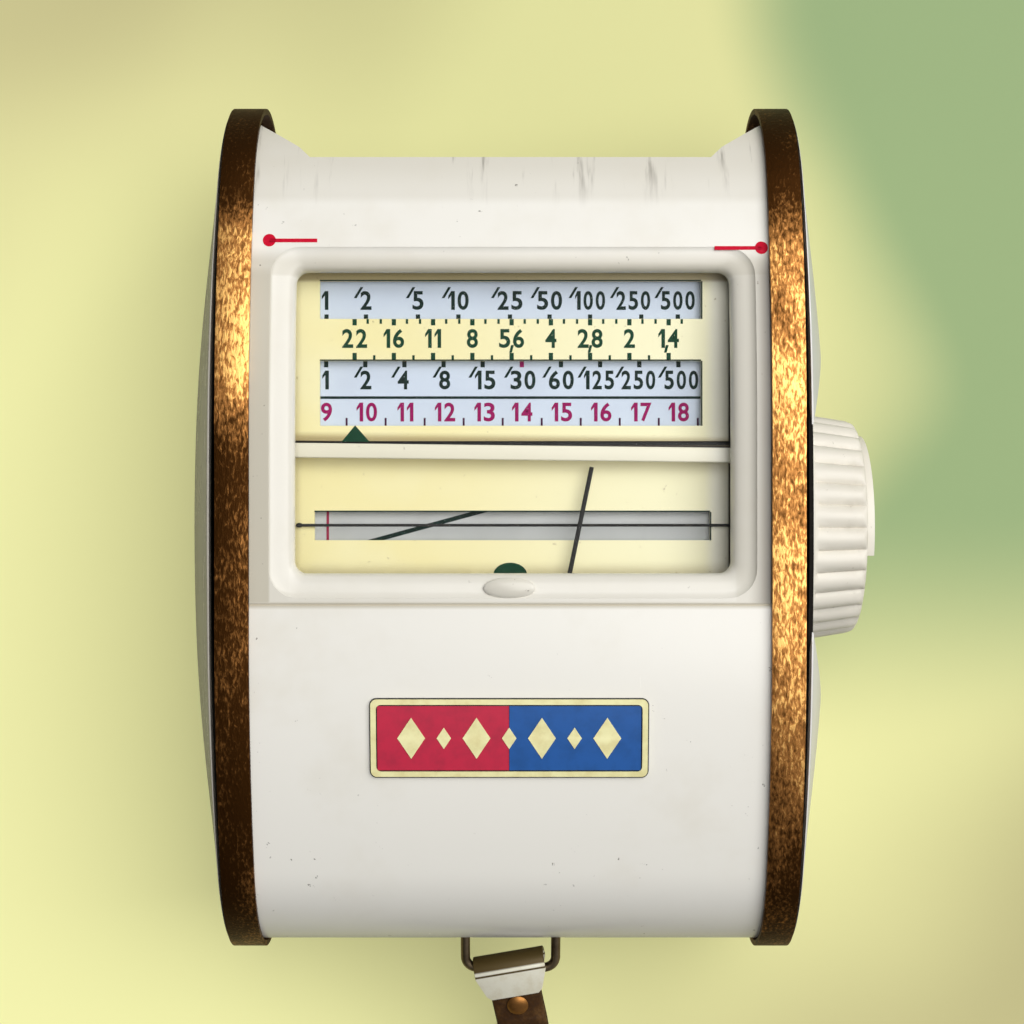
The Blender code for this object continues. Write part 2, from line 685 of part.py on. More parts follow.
def rectangle(width, height, centre=(0, 0)):
    """Corners of a rectangle."""
    x, y = centre
    return [
        (x - width / 2, y - height / 2),
        (x + width / 2, y - height / 2),
        (x + width / 2, y + height / 2),
        (x - width / 2, y + height / 2),
    ]


def round_rectangle(width, height, radius, centre=(0, 0), steps=3):
    """Outline of a rectangle with round corners."""
    points = []
    for turn, (sx, sy) in enumerate(((1, 1), (-1, 1), (-1, -1), (1, -1))):
        corner = (centre[0] + sx * (width / 2 - radius), centre[1] + sy * (height / 2 - radius))
        start = turn * math.pi / 2
        points += arc(corner, radius, start, start + math.pi / 2, steps)
    return points


def side_plate(name, outline_inset, low, high, side, finish, holes=()):
    """A plate of the case's outline on its left or right side, with round holes."""
    ends = sorted((side * low, side * high))
    return prism(name, [case_outline(outline_inset), *holes], *ends, "X", finish)


def circle(centre, radius, steps=SMALL_STEPS):
    """Points of a circle."""
    return arc(centre, radius, 0, 2 * math.pi, steps)[:-1]


def make_housings():
    """The two white mouldings, cut from one tube of the case's outline."""
    loops = [case_outline(BAND_STAND), case_outline(INNER_INSET)]
    frame = prism("window_frame", loops, -HALF_WIDTH, HALF_WIDTH, "X", "white_plastic")
    rear = prism("rear_housing", loops, -HALF_WIDTH, HALF_WIDTH, "X", "white_plastic")
    wide = HALF_WIDTH + OVERRUN
    far = CASE_LENGTH / 2 + OVERRUN
    tall = CASE_DEPTH + OVERRUN
    half = SEAM / 2
    below = block("cut_below", (-wide, -far, -OVERRUN), (wide, far, MIDDLE + half), None)
    lower = block("cut_lower", (-wide, -far, 0), (wide, SEAM_Y + half, tall), None)
    upper = block("cut_upper", (-wide, SEAM_Y - half, MIDDLE - half), (wide, far, tall), None)
    opening = cell_opening_cutter("cut_cell_opening")
    for cutter in (below, lower, opening, window_cutter()):
        combine(frame, cutter)
    for cutter in (upper, opening, *ring_slot_cutters(), zero_hole_cutter()):
        combine(rear, cutter)
    combine(frame, frame_plug(), "UNION")


def window_cutter():
    """The window, which flares outwards and follows the front's curve."""
    centre = (WINDOW_X, WINDOW_Y)
    inner = round_rectangle(WINDOW_WIDTH, WINDOW_HEIGHT, WINDOW_CORNER, centre)
    wide = WINDOW_WIDTH + 2 * WINDOW_FLARE
    tall = WINDOW_HEIGHT + 2 * WINDOW_FLARE
    outer = round_rectangle(wide, tall, WINDOW_CORNER + WINDOW_FLARE / 2, centre)
    loops = [
        [(x, y, MIDDLE) for x, y in inner],
        [(x, y, face_height(y, INNER_INSET)) for x, y in inner],
        [(x, y, face_height(y, BAND_STAND)) for x, y in outer],
        [(x, y, CASE_DEPTH + OVERRUN) for x, y in outer],
    ]
    return loft("cut_window", loops, None)


def frame_plug():
    """The soft oval boss on the surround, below the window."""
    bm = bmesh.new()
    size = (PLUG_WIDTH / 2, PLUG_HEIGHT / 2, PLUG_RISE)
    height = face_height(PLUG_Y, BAND_STAND) - PLUG_RISE / 2
    place = Matrix.Translation((0, PLUG_Y, height)) @ Matrix.Diagonal((*size, 1))
    bmesh.ops.create_uvsphere(bm, u_segments=16, v_segments=8, radius=1, matrix=place)
    mesh = bpy.data.meshes.new("plug")
    bm.to_mesh(mesh)
    bm.free()
    return add_object("join_frame_plug", mesh, None, "case")


def cell_opening_cutter(name):
    """The flared opening at the top end, in front of the light cell."""
    half = OPENING_WIDTH / 2
    side = [
        (half, END_Y),
        (half, LIP_Y),
        (half + FLARE_STEP, LIP_Y + FLARE_STEP),
        (half + FLARE_REACH, LIP_Y + FLARE_HEIGHT),
        (half + FLARE_REACH, CASE_LENGTH / 2 + OVERRUN),
    ]
    outline = side + [(-x, y) for x, y in reversed(side)]
    return prism(name, [outline], REAR_LIP_Z, LIP_Z, "Z", None)


def ring_slot_cutters():
    """Slots in the bottom end that the strap ring's legs swing in."""
    reach = WIRE_RADIUS + RUN
    cutters = []
    for name, side in (("left", -1), ("right", 1)):
        x = side * RING_HALF_WIDTH
        low = (x - reach, -CASE_LENGTH / 2 - OVERRUN, MIDDLE - RING_SLOT_HALF)
        high = (x + reach, RING_AXIS_Y, MIDDLE + RING_SLOT_HALF)
        cutters.append(block(f"cut_ring_slot_{name}", low, high, None))
    return cutters


def zero_hole_cutter():
    """The hole in the back for the zero adjusting screw."""
    centre = (PIVOT_X, PIVOT_Y, 0)
    return rod("cut_zero_hole", ZERO_RADIUS + RUN, -OVERRUN, BASE_BOTTOM, centre, "Z", None)


def make_side(name, side):
    """Brass band, black liner and domed cover of one side."""
    band_low = HALF_WIDTH - BAND_WIDTH
    ends = sorted((side * band_low, side * HALF_WIDTH))
    loops = [case_outline(0), case_outline(BAND_WALL)]
    band = prism(f"trim_band_{name}", loops, *ends, "X", "aged_brass")
    bevelled(band, BAND_EDGE_SHARE * BAND_WALL, 1)
    low, high = LINER_X, LINER_X + LINER_THICKNESS
    holes = [circle((0, MIDDLE), BUSH_BORE)] if side > 0 else []
    liner = side_plate(f"side_liner_{name}", LINER_INSET, low, high, side, "black_plastic", holes)
    spigot_ends = sorted((side * (HALF_WIDTH - SPIGOT_DEPTH), side * (high - SEAM)))
    outer = INNER_INSET + SEAM
    loops = [case_outline(outer), case_outline(outer + SPIGOT_WALL)]
    spigot = prism(f"join_spigot_{name}", loops, *spigot_ends, "X", None)
    combine(liner, spigot, "UNION")
    if side < 0:
        make_cover(f"side_cover_{name}", side)
    else:
        # The round cut-out about the knob leaves the right cover in two pieces
        for part, direction in (("upper", 1), ("lower", -1)):
            cover = make_cover(f"side_cover_{name}_{part}", side)
            cut_round_knob(cover, direction)


# The dome's rings: how far each is drawn in, and how high it stands
COVER_RINGS_SHARE = (
    (0.000, 0.0),
    (0.100, 0.21),
    (0.250, 0.46),
    (0.450, 0.72),
    (0.680, 0.91),
    (0.900, 1.0),
)


def halved(points):
    """The outline with a point more in the middle of each flat."""
    finer = []
    for i, (y, z) in enumerate(points):
        finer.append((y, z))
        next_y, next_z = points[(i + 1) % len(points)]
        if next_z == z:
            finer.append(((y + next_y) / 2, z))
    return finer


def cover_rings(side, inset, low, rise):
    """Loops of a lens-like dome, from its rim to its crown, lower towards both ends."""
    rings = []
    span = COVER_SPAN_SHARE * CASE_LENGTH / 2
    for draw_share, rise_share in COVER_RINGS_SHARE:
        drawn = inset + draw_share * (END_RADIUS - inset)
        ring = []
        for y, z in halved(case_outline(drawn)):
            arch_share = max(0, 1 - (y / span) ** 2)
            ring.append((side * (low + rise * rise_share * arch_share), y, z))
        rings.append(ring)
    return rings


def dome(name, rings, finish):
    """A closed dome over its rings, whose crown is bridged straight across."""
    bm = bmesh.new()
    rows = [[bm.verts.new(point) for point in ring] for ring in rings]
    count = len(rows[0])
    for row, above in zip(rows, rows[1:]):
        for i in range(count):
            j = (i + 1) % count
            bm.faces.new((row[i], row[j], above[j], above[i]))
    bm.faces.new(rows[0])
    crown = rows[-1]
    for i in range(count // 2):
        corners = (crown[i], crown[i + 1], crown[count - i - 1], crown[-i])
        bm.faces.new(list(dict.fromkeys(corners)))
    bmesh.ops.recalc_face_normals(bm, faces=bm.faces)
    mesh = bpy.data.meshes.new(name)
    bm.to_mesh(mesh)
    bm.free()
    return add_object(name, mesh, finish, "case")


def make_cover(name, side):
    """A domed side cover, hollow behind, whose lip reaches down round the liner."""
    edge = COVER_X + COVER_EDGE
    outside = cover_rings(side, COVER_INSET, edge, COVER_RISE - COVER_EDGE)
    foot = [(side * COVER_FOOT, y, z) for _, y, z in outside[0]]
    cover = dome(name, [foot, *outside], "grey_plastic")
    inset = COVER_INSET + COVER_WALL
    low = COVER_X - COVER_SINK
    inside = cover_rings(side, inset, low, COVER_RISE - COVER_WALL + COVER_SINK)
    start = [(side * (COVER_FOOT - OVERRUN), y, z) for _, y, z in inside[0]]
    combine(cover, dome(f"cut_{name}", [start, *inside], None))
    return cover


def cut_round_knob(cover, direction):
    """Cuts the knob's clearance from the cover, and keeps its upper or lower piece."""
    near, far = COVER_FOOT - OVERRUN, COVER_X + COVER_RISE + OVERRUN
    round_cut = rod(
        f"cut_round_{cover.name}", COVER_CUT_RADIUS, near, far, (0, 0, MIDDLE), "X", None, steps=64
    )
    combine(cover, round_cut)
    reach = -direction * CASE_LENGTH
    low, high = sorted((0, reach))
    half = block(
        f"cut_half_{cover.name}", (near, low, -OVERRUN), (far, high, CASE_DEPTH + OVERRUN), None
    )
    combine(cover, half)


def make_window():
    """The clear pane behind the window, curved with the front."""
    outer = INNER_INSET + SEAM
    half_tall = WINDOW_HEIGHT / 2 + GLASS_LAP
    low_y, high_y = WINDOW_Y - half_tall, WINDOW_Y + half_tall
    strip = face_strip(low_y, high_y, outer, outer + GLASS_THICKNESS, 6)
    half = WINDOW_WIDTH / 2 + GLASS_LAP
    prism("window_glass", [strip], WINDOW_X - half, WINDOW_X + half, "X", "clear_plastic")


def make_name_plate():
    """The small curved plate below the window."""
    half_tall = PLATE_BORDER_HEIGHT / 2
    low_y, high_y = NAME_PLATE_Y - half_tall, NAME_PLATE_Y + half_tall
    inner = BAND_STAND - SEAM
    strip = face_strip(low_y, high_y, inner - NAME_PLATE_THICKNESS, inner, 4)
    half = PLATE_BORDER_WIDTH / 2
    plate = prism("name_plate", [strip], -half, half, "X", "red_blue_enamel")
    size = (PLATE_BORDER_WIDTH, PLATE_BORDER_HEIGHT, NAME_PLATE_CORNER)
    outline = round_rectangle(*size, (0, NAME_PLATE_Y))
    shape = prism("keep_name_plate", [outline], MIDDLE, CASE_DEPTH + OVERRUN, "Z", None)
    combine(plate, shape, "INTERSECT")


def make_dial_plates():
    """The two cream plates with their slots."""
    tall = LOWER_PLATE_TOP_Y - LOWER_PLATE_BOTTOM_Y
    middle = (LOWER_PLATE_TOP_Y + LOWER_PLATE_BOTTOM_Y) / 2
    slot = rectangle(INDEX_SLOT_WIDTH, INDEX_SLOT_HEIGHT, (INDEX_SLOT_X, INDEX_SLOT_Y))
    loops = [rectangle(DIAL_WIDTH, tall, (0, middle)), slot]
    prism("lower_dial_plate", loops, DIAL_BOTTOM, DIAL_TOP, "Z", "cream_enamel")
    tall = UPPER_PLATE_TOP_Y - UPPER_PLATE_BOTTOM_Y
    middle = (UPPER_PLATE_TOP_Y + UPPER_PLATE_BOTTOM_Y) / 2
    loops = [
        rectangle(DIAL_WIDTH, tall, (0, middle)),
        rectangle(SLOT_WIDTH, TIME_SLOT_HEIGHT, (0, TIME_SLOT_Y)),
        rectangle(SLOT_WIDTH, VALUE_SLOT_HEIGHT, (0, VALUE_SLOT_Y)),
    ]
    prism("upper_dial_plate", loops, DIAL_BOTTOM, DIAL_TOP, "Z", "cream_enamel")


def make_crossbar():
    """The bar between the plates: a strip on two feet."""
    half = CROSSBAR_LENGTH / 2
    top, under = CROSSBAR_TOP, CROSSBAR_UNDER
    foot = DIAL_TOP + SEAM
    inner = half - CROSSBAR_FOOT
    # Drawn as height and x, for an outline that is drawn out along Y
    outline = [(foot, -half), (top, -half), (top, half), (foot, half)]
    outline += [(foot, inner), (under, inner), (under, -inner), (foot, -inner)]
    low, high = CROSSBAR_Y - CROSSBAR_HEIGHT / 2, CROSSBAR_Y + CROSSBAR_HEIGHT / 2
    prism("window_crossbar", [outline], low, high, "Y", "cream_enamel")


def make_index_wire():
    """The thin reading line over the lower slot, with its ends bent on to the plate."""
    half = INDEX_WIRE_LENGTH / 2
    places = [INDEX_SLOT_X + side * half for side in (-1, 0, 1)]
    points = [(x, INDEX_SLOT_Y, INDEX_WIRE_Z) for x in places]
    wire("index_wire", points, INDEX_WIRE_RADIUS, "black_enamel")


def make_scale_slide():
    """The printed strip, its follower pin and the rails under the upper plate."""
    tall = SLIDE_TOP_Y - SLIDE_BOTTOM_Y
    middle = (SLIDE_TOP_Y + SLIDE_BOTTOM_Y) / 2
    outline = rectangle(SLIDE_LENGTH, tall, (0, middle))
    prism("scale_slide", [outline], SLIDE_BOTTOM, SLIDE_TOP, "Z", "pale_print", "slide")
    head = SLIDE_BOTTOM - SEAM
    tip = CAM_Z + CAM_RADIUS + GROOVE_LIFT - GROOVE_RADIUS + RUN + GROOVE_LIFT
    profile = [(0, head), (PIN_HEAD_RADIUS, head), (PIN_HEAD_RADIUS, head - PIN_HEAD)]
    profile += [(PIN_RADIUS, head - PIN_HEAD), (PIN_RADIUS, tip), (0, tip)]
    place = (0, CAM_Y, 0)
    turned("slide_follower_pin", profile, place, "Z", "steel", "slide", SMALL_STEPS)
    half = RAIL_LENGTH / 2
    wall_top = DIAL_BOTTOM - SEAM
    for name, wall_y, inward in (
        ("upper", UPPER_PLATE_TOP_Y, -1),
        ("lower", UPPER_PLATE_BOTTOM_Y - RUN, 1),
    ):
        face_y = wall_y + inward * RAIL_WALL
        lap_y = face_y + inward * (RUN + RAIL_LAP)
        outline = [
            (wall_y, wall_top),
            (wall_y, RAIL_BOTTOM),
            (lap_y, RAIL_BOTTOM),
            (lap_y, RAIL_FLOOR_TOP),
            (face_y, RAIL_FLOOR_TOP),
            (face_y, wall_top),
        ]
        prism(f"slide_rail_{name}", [outline], -half, half, "X", "steel")


def make_drum():
    """The printed drum, its long shaft and the bush at its left end."""
    centre = (0, 0, MIDDLE)
    half = DRUM_LENGTH / 2
    hub = SHAFT_RADIUS + DRUM_HUB_CLEAR
    inner = DRUM_RADIUS - DRUM_WALL
    profile = [
        (hub, half),
        (DRUM_RADIUS, half),
        (DRUM_RADIUS, -half),
        (hub, -half),
        (hub, DRUM_WALL - half),
        (inner, DRUM_WALL - half),
        (inner, half - DRUM_WALL),
        (hub, half - DRUM_WALL),
    ]
    turned("spiral_drum", profile, centre, "X", "pale_print", "film")
    left = -CHASSIS_INNER_X - CHASSIS_THICKNESS - BUSH_LENGTH / 2
    right = DISC_X + DISC_THICKNESS / 2
    rod("drum_shaft", SHAFT_RADIUS, left, right, centre, "X", "steel", "film")
    bore = SHAFT_RADIUS + SLEEVE_CLEAR
    middle = -CHASSIS_INNER_X - CHASSIS_THICKNESS / 2
    low, high = middle - BUSH_LENGTH / 2, middle + BUSH_LENGTH / 2
    tube("drum_bush", bore + BUSH_WALL, bore, low, high, centre, "X", "brass", steps=24)


def make_film_speed_disc():
    """The disc in the knob's face, with its raised half-moon pad, and its spring washer."""
    centre = (0, 0, MIDDLE)
    top = DISC_X + DISC_THICKNESS
    radius = RECESS_RADIUS - RUN
    bore = SHAFT_RADIUS + FIT
    bottom_of_bore = DISC_X + DISC_THICKNESS / 2 + SEAM
    profile = [(0, top), (radius, top), (radius, DISC_X), (bore, DISC_X)]
    profile += [(bore, bottom_of_bore), (0, bottom_of_bore)]
    disc = turned("film_speed_disc", profile, centre, "X", "ivory_plastic", "film", 48)
    pad_radius = radius - PAD_MARGIN
    start = math.asin(PAD_EDGE_Y / pad_radius)
    rim = arc((0, 0), pad_radius, start, math.pi - start, 24)
    # The arc is drawn about Y, so that the pad's straight edge faces down the meter
    pad = [(b, MIDDLE + a) for a, b in rim]
    low = top - DISC_THICKNESS / 2
    join = prism("join_pad", [pad], low, top + PAD_RISE, "X", None, "film")
    combine(disc, join, "UNION")
    low, high = WASHER_X, WASHER_X + WASHER_THICKNESS
    size = (WASHER_OUTER, WASHER_INNER)
    tube("disc_spring_washer", *size, low, high, centre, "X", "steel", "knob", 24)


def fluted_loop(x, radius, depth):
    """A ring of broad round ridges about the knob's axis."""
    count = KNOB_FLUTES * FLUTE_POINTS
    points = []
    for i in range(count):
        turn = 2 * math.pi * i / count
        drop = depth * (1 - abs(math.cos(KNOB_FLUTES * turn / 2)))
        r = radius - drop
        points.append((x, r * math.cos(turn), MIDDLE + r * math.sin(turn)))
    return points


def make_knob():
    """The fluted knob on its hollow sleeve, with the bush that the sleeve turns in."""
    low = KNOB_X
    collar = low + KNOB_COLLAR
    face = KNOB_FACE_X
    shoulder = face - KNOB_EDGE
    neck = KNOB_RADIUS - FLUTE_DEPTH / 2
    loops = [
        fluted_loop(low, KNOB_RADIUS, 0),
        fluted_loop(collar, KNOB_RADIUS, 0),
        fluted_loop(collar + KNOB_EDGE / 2, neck, FLUTE_DEPTH),
        fluted_loop(shoulder, KNOB_FACE_RADIUS, FLUTE_DEPTH),
        fluted_loop(face, KNOB_FACE_RADIUS - KNOB_EDGE, 0),
    ]
    knob = loft("knob", loops, "ivory_plastic", "knob")
    centre = (0, 0, MIDDLE)
    far, near = face + OVERRUN, low - OVERRUN
    bore = SLEEVE_RADIUS + FIT
    profile = [(0, far), (RECESS_RADIUS, far), (RECESS_RADIUS, RECESS_FLOOR_X)]
    profile += [(bore, RECESS_FLOOR_X), (bore, near), (0, near)]
    combine(knob, turned("cut_knob_face", profile, centre, "X", None, "knob", 48))
    skirt = KNOB_SKIRT_SHARE * KNOB_FACE_RADIUS
    size = (skirt, KNOB_HUB_RADIUS)
    hollow = tube("cut_knob_back", *size, near, low + KNOB_HOLLOW, centre, "X", None, "knob")
    combine(knob, hollow)
    sleeve_low = DRUM_LENGTH / 2 + DRUM_WALL
    inner = SLEEVE_RADIUS - SLEEVE_WALL
    end = RECESS_FLOOR_X - SEAM
    tube("knob_sleeve", SLEEVE_RADIUS, inner, sleeve_low, end, centre, "X", "brass", "knob", 24)
    middle = CHASSIS_INNER_X + CHASSIS_THICKNESS / 2
    low, high = middle - BUSH_LENGTH / 2, middle + BUSH_LENGTH / 2
    tube("sleeve_bush", BUSH_BORE + BUSH_WALL, BUSH_BORE, low, high, centre, "X", "brass", steps=24)


def involute(angle):
    """The involute of a pressure angle."""
    return math.tan(angle) - angle


def gear_outline(centre, phase):
    """Involute teeth, with the middle of one tooth at the phase angle."""
    base = GEAR_PITCH_RADIUS * math.cos(PRESSURE_ANGLE)
    root = GEAR_PITCH_RADIUS - DEDENDUM_SHARE * GEAR_MODULE
    half = math.pi / (2 * GEAR_TEETH) - GEAR_BACKLASH / (2 * GEAR_PITCH_RADIUS)
    flank = [(root, half + involute(PRESSURE_ANGLE))]
    for radius in (base, GEAR_TIP_RADIUS):
        slope = math.acos(base / radius)
        flank.append((radius, half + involute(PRESSURE_ANGLE) - involute(slope)))
    points = []
    for tooth in range(GEAR_TEETH):
        middle = phase + 2 * math.pi * tooth / GEAR_TEETH
        side = [(r, middle - turn) for r, turn in flank]
        side += [(r, middle + turn) for r, turn in reversed(flank)]
        points += [(centre[0] + r * math.cos(a), centre[1] + r * math.sin(a)) for r, a in side]
    return points


def make_gears():
    """The knob's gear and the equal gear that it turns on the cam's shaft."""
    low, high = GEAR_X - GEAR_WIDTH / 2, GEAR_X + GEAR_WIDTH / 2
    centre = (0, MIDDLE)
    loops = [gear_outline(centre, CAM_ANGLE), circle(centre, SLEEVE_RADIUS + FIT, 24)]
    prism("drive_gear", loops, low, high, "X", "brass", "knob")
    centre = (CAM_Y, CAM_Z)
    phase = CAM_ANGLE + math.pi + math.pi / GEAR_TEETH
    loops = [gear_outline(centre, phase), circle(centre, CAM_SHAFT_RADIUS + FIT)]
    prism("cam_gear", loops, low, high, "X", "brass", "cam")


def make_cam():
    """The cylinder cam: its helical groove drives the scale's pin."""
    centre = (0, CAM_Y, CAM_Z)
    bore = CAM_SHAFT_RADIUS + FIT
    half = CAM_LENGTH / 2
    cam = tube("scale_cam", CAM_RADIUS, bore, -half, half, centre, "X", "brass", "cam")
    reach = math.radians(KNOB_TURN_DEG + GROOVE_OVERTURN_DEG)
    radius = CAM_RADIUS + GROOVE_LIFT
    points = []
    for i in range(ROUND_STEPS + 1):
        turn = reach * (2 * i / ROUND_STEPS - 1)
        angle = math.pi / 2 + turn
        y, z = CAM_Y + radius * math.cos(angle), CAM_Z + radius * math.sin(angle)
        points.append((CAM_LEAD_PER_RADIAN * turn, y, z))
    combine(cam, wire("cut_groove", points, GROOVE_RADIUS, None, "cam"))
    far = CHASSIS_INNER_X + CHASSIS_THICKNESS + RUN
    end = GEAR_X + GEAR_WIDTH / 2 + RUN
    rod("cam_shaft", CAM_SHAFT_RADIUS, -far, end, centre, "X", "steel", "cam")


def make_chassis(name, side):
    """One of the two plates that carry the shafts, with a foot on the housing's back."""
    foot = CHASSIS_FOOT / 2
    foot_z = CASE_DEPTH - face_height(foot, INNER_INSET) + RUN
    shoulder_y = CHASSIS_SHOULDER_SHARE * foot + foot
    low_z = CASE_DEPTH - face_height(CHASSIS_TOP_Y, INNER_INSET) + RUN
    rail_z = RAIL_BOTTOM - RUN
    step_y = UPPER_PLATE_BOTTOM_Y - 2 * RUN
    top_z = DIAL_BOTTOM - SEAM
    outline = [
        (-foot, foot_z),
        (foot, foot_z),
        (shoulder_y, low_z),
        (CHASSIS_TOP_Y, low_z),
        (CHASSIS_TOP_Y, rail_z),
        (step_y, rail_z),
        (step_y, top_z),
        (-foot, top_z),
    ]
    bore = BUSH_BORE if side > 0 else SHAFT_RADIUS + SLEEVE_CLEAR
    loops = [
        outline,
        circle((0, MIDDLE), bore + BUSH_WALL + SEAM, 24),
        circle((CAM_Y, CAM_Z), CAM_SHAFT_RADIUS + RUN),
    ]
    ends = sorted((side * CHASSIS_INNER_X, side * (CHASSIS_INNER_X + CHASSIS_THICKNESS)))
    prism(f"chassis_{name}", loops, *ends, "X", "brass")


def polar(radius, degrees):
    """A point about the middle of the round top end, as y and z."""
    turn = math.radians(degrees)
    return (END_Y + radius * math.cos(turn), MIDDLE + radius * math.sin(turn))


def make_roller_blind():
    """The slatted blind that slides round the top end, with its grip slat."""
    span = BLIND_LEAD_DEG - BLIND_TAIL_DEG
    slat = span / BLIND_SLATS
    outline = []
    for i in range(BLIND_SLATS):
        start = BLIND_TAIL_DEG + i * slat
        outline.append(polar(BLIND_RADIUS - SLAT_GROOVE, start))
        outline.append(polar(BLIND_RADIUS, start + slat / 4))
        outline.append(polar(BLIND_RADIUS, start + 3 * slat / 4))
    outline.append(polar(BLIND_RADIUS - SLAT_GROOVE, BLIND_LEAD_DEG))
    inner = BLIND_RADIUS - BLIND_WALL
    outline += [polar(inner, BLIND_LEAD_DEG - i * slat) for i in range(BLIND_SLATS + 1)]
    blind = prism("roller_blind", [outline], -BLIND_HALF, BLIND_HALF, "X", "white_plastic", "blind")
    low, high = GRIP_DEG - GRIP_SPAN_DEG / 2, GRIP_DEG + GRIP_SPAN_DEG / 2
    root = BLIND_RADIUS - BLIND_WALL / 2
    grip = [polar(root, low), polar(GRIP_RADIUS, low), polar(GRIP_RADIUS, high), polar(root, high)]
    half = OPENING_WIDTH / 2 - RUN
    combine(blind, prism("join_grip", [grip], -half, half, "X", None, "blind"), "UNION")


def make_cheek(name, side):
    """The block that closes one end of the cell opening and guides the blind's edges."""
    reach = END_RADIUS - INNER_INSET - SEAM
    rim = arc((END_Y, MIDDLE), reach, -math.pi / 2, math.pi / 2, 14)
    outline = [(CHEEK_INNER_Y, MIDDLE - reach), *rim, (CHEEK_INNER_Y, MIDDLE + reach)]
    ends = sorted((side * CHEEK_X, side * (CHEEK_X + CHEEK_WIDTH)))
    cheek = prism(f"track_cheek_{name}", [outline], *ends, "X", "white_plastic")
    start, end = math.radians(BLIND_TAIL_DEG), math.radians(BLIND_LEAD_DEG + BLIND_TRAVEL_DEG)
    end += RUN / BLIND_RADIUS
    outer, inner = BLIND_RADIUS + RUN, BLIND_RADIUS - BLIND_WALL - RUN
    groove = arc((END_Y, MIDDLE), outer, start, end, 24)
    groove += arc((END_Y, MIDDLE), inner, end, start, 24)
    ends = sorted((side * (CHEEK_X - OVERRUN), side * (CHEEK_X + TRACK_DEPTH)))
    combine(cheek, prism(f"cut_track_{name}", [groove], *ends, "X", None))
    combine(cheek, bpy.data.objects["cut_cell_opening"])


def make_lens_plate():
    """The clear plate of small round lenses over the cell."""
    columns, rows = LENS_COLUMNS * LENS_CELL_STEPS, LENS_ROWS * LENS_CELL_STEPS
    bm = bmesh.new()
    bmesh.ops.create_grid(bm, x_segments=columns, y_segments=rows, size=0.5)
    pitch_x, pitch_z = LENS_WIDTH / LENS_COLUMNS, LENS_HEIGHT / LENS_ROWS
    base_y = LENS_Y + LENS_BASE
    for vertex in bm.verts:
        x, z = vertex.co.x * LENS_WIDTH, vertex.co.y * LENS_HEIGHT
        u = (x + LENS_WIDTH / 2) / pitch_x % 1 - 0.5
        v = (z + LENS_HEIGHT / 2) / pitch_z % 1 - 0.5
        swell = max(0.0, 1 - 4 * (u * u + v * v))
        vertex.co = (x, base_y + LENS_BULGE * math.sqrt(swell), MIDDLE + z)
    rim = [edge for edge in bm.edges if edge.is_boundary]
    made = bmesh.ops.extrude_edge_only(bm, edges=rim)["geom"]
    for vertex in (each for each in made if isinstance(each, bmesh.types.BMVert)):
        vertex.co.y = LENS_Y
    back = [edge for edge in bm.edges if edge.is_boundary]
    bmesh.ops.edgeloop_fill(bm, edges=back)
    bmesh.ops.recalc_face_normals(bm, faces=bm.faces)
    mesh = bpy.data.meshes.new("lens_plate")
    bm.to_mesh(mesh)
    bm.free()
    add_object("lens_plate", mesh, "clear_plastic", "case")


def make_cell():
    """The selenium cell on its contact in a black holder."""
    half_x, half_z = LENS_WIDTH / 2 + HOLDER_MARGIN, LENS_HEIGHT / 2
    back = HOLDER_Y - HOLDER_DEPTH
    low, high = (-half_x, back, MIDDLE - half_z), (half_x, HOLDER_Y, MIDDLE + half_z)
    holder = block("cell_holder", low, high, "black_plastic")
    inner_x, inner_z = half_x - HOLDER_RIM, half_z - HOLDER_RIM
    floor = back + HOLDER_FLOOR
    low = (-inner_x, floor, MIDDLE - inner_z)
    high = (inner_x, HOLDER_Y + OVERRUN, MIDDLE + inner_z)
    combine(holder, block("cut_holder", low, high, None))
    cell_x, cell_z = inner_x - SEAM, inner_z - SEAM
    top = HOLDER_Y - SEAM
    low, high = (-cell_x, top - CELL_THICKNESS, MIDDLE - cell_z), (cell_x, top, MIDDLE + cell_z)
    block("selenium_cell", low, high, "selenium")
    contact_x, contact_z = CONTACT_SHARE * cell_x, CONTACT_SHARE * cell_z
    low = (-contact_x, floor + SEAM, MIDDLE - contact_z)
    high = (contact_x, floor + SEAM + CONTACT_THICKNESS, MIDDLE + contact_z)
    block("cell_contact", low, high, "brass")


def smooth_route(points, count):
    """Evenly many points of a smooth curve through the given ones."""
    points = [Vector(point) for point in points]
    ends = [2 * points[0] - points[1], *points, 2 * points[-1] - points[-2]]
    route = []
    for i in range(count):
        place = (len(points) - 1) * i / (count - 1)
        k = min(int(place), len(points) - 2)
        t = place - k
        a, b, c, d = ends[k : k + 4]
        curve = 2 * b + (c - a) * t + (2 * a - 5 * b + 4 * c - d) * t * t
        route.append((curve + (3 * b - a - 3 * c + d) * t**3) / 2)
    return route


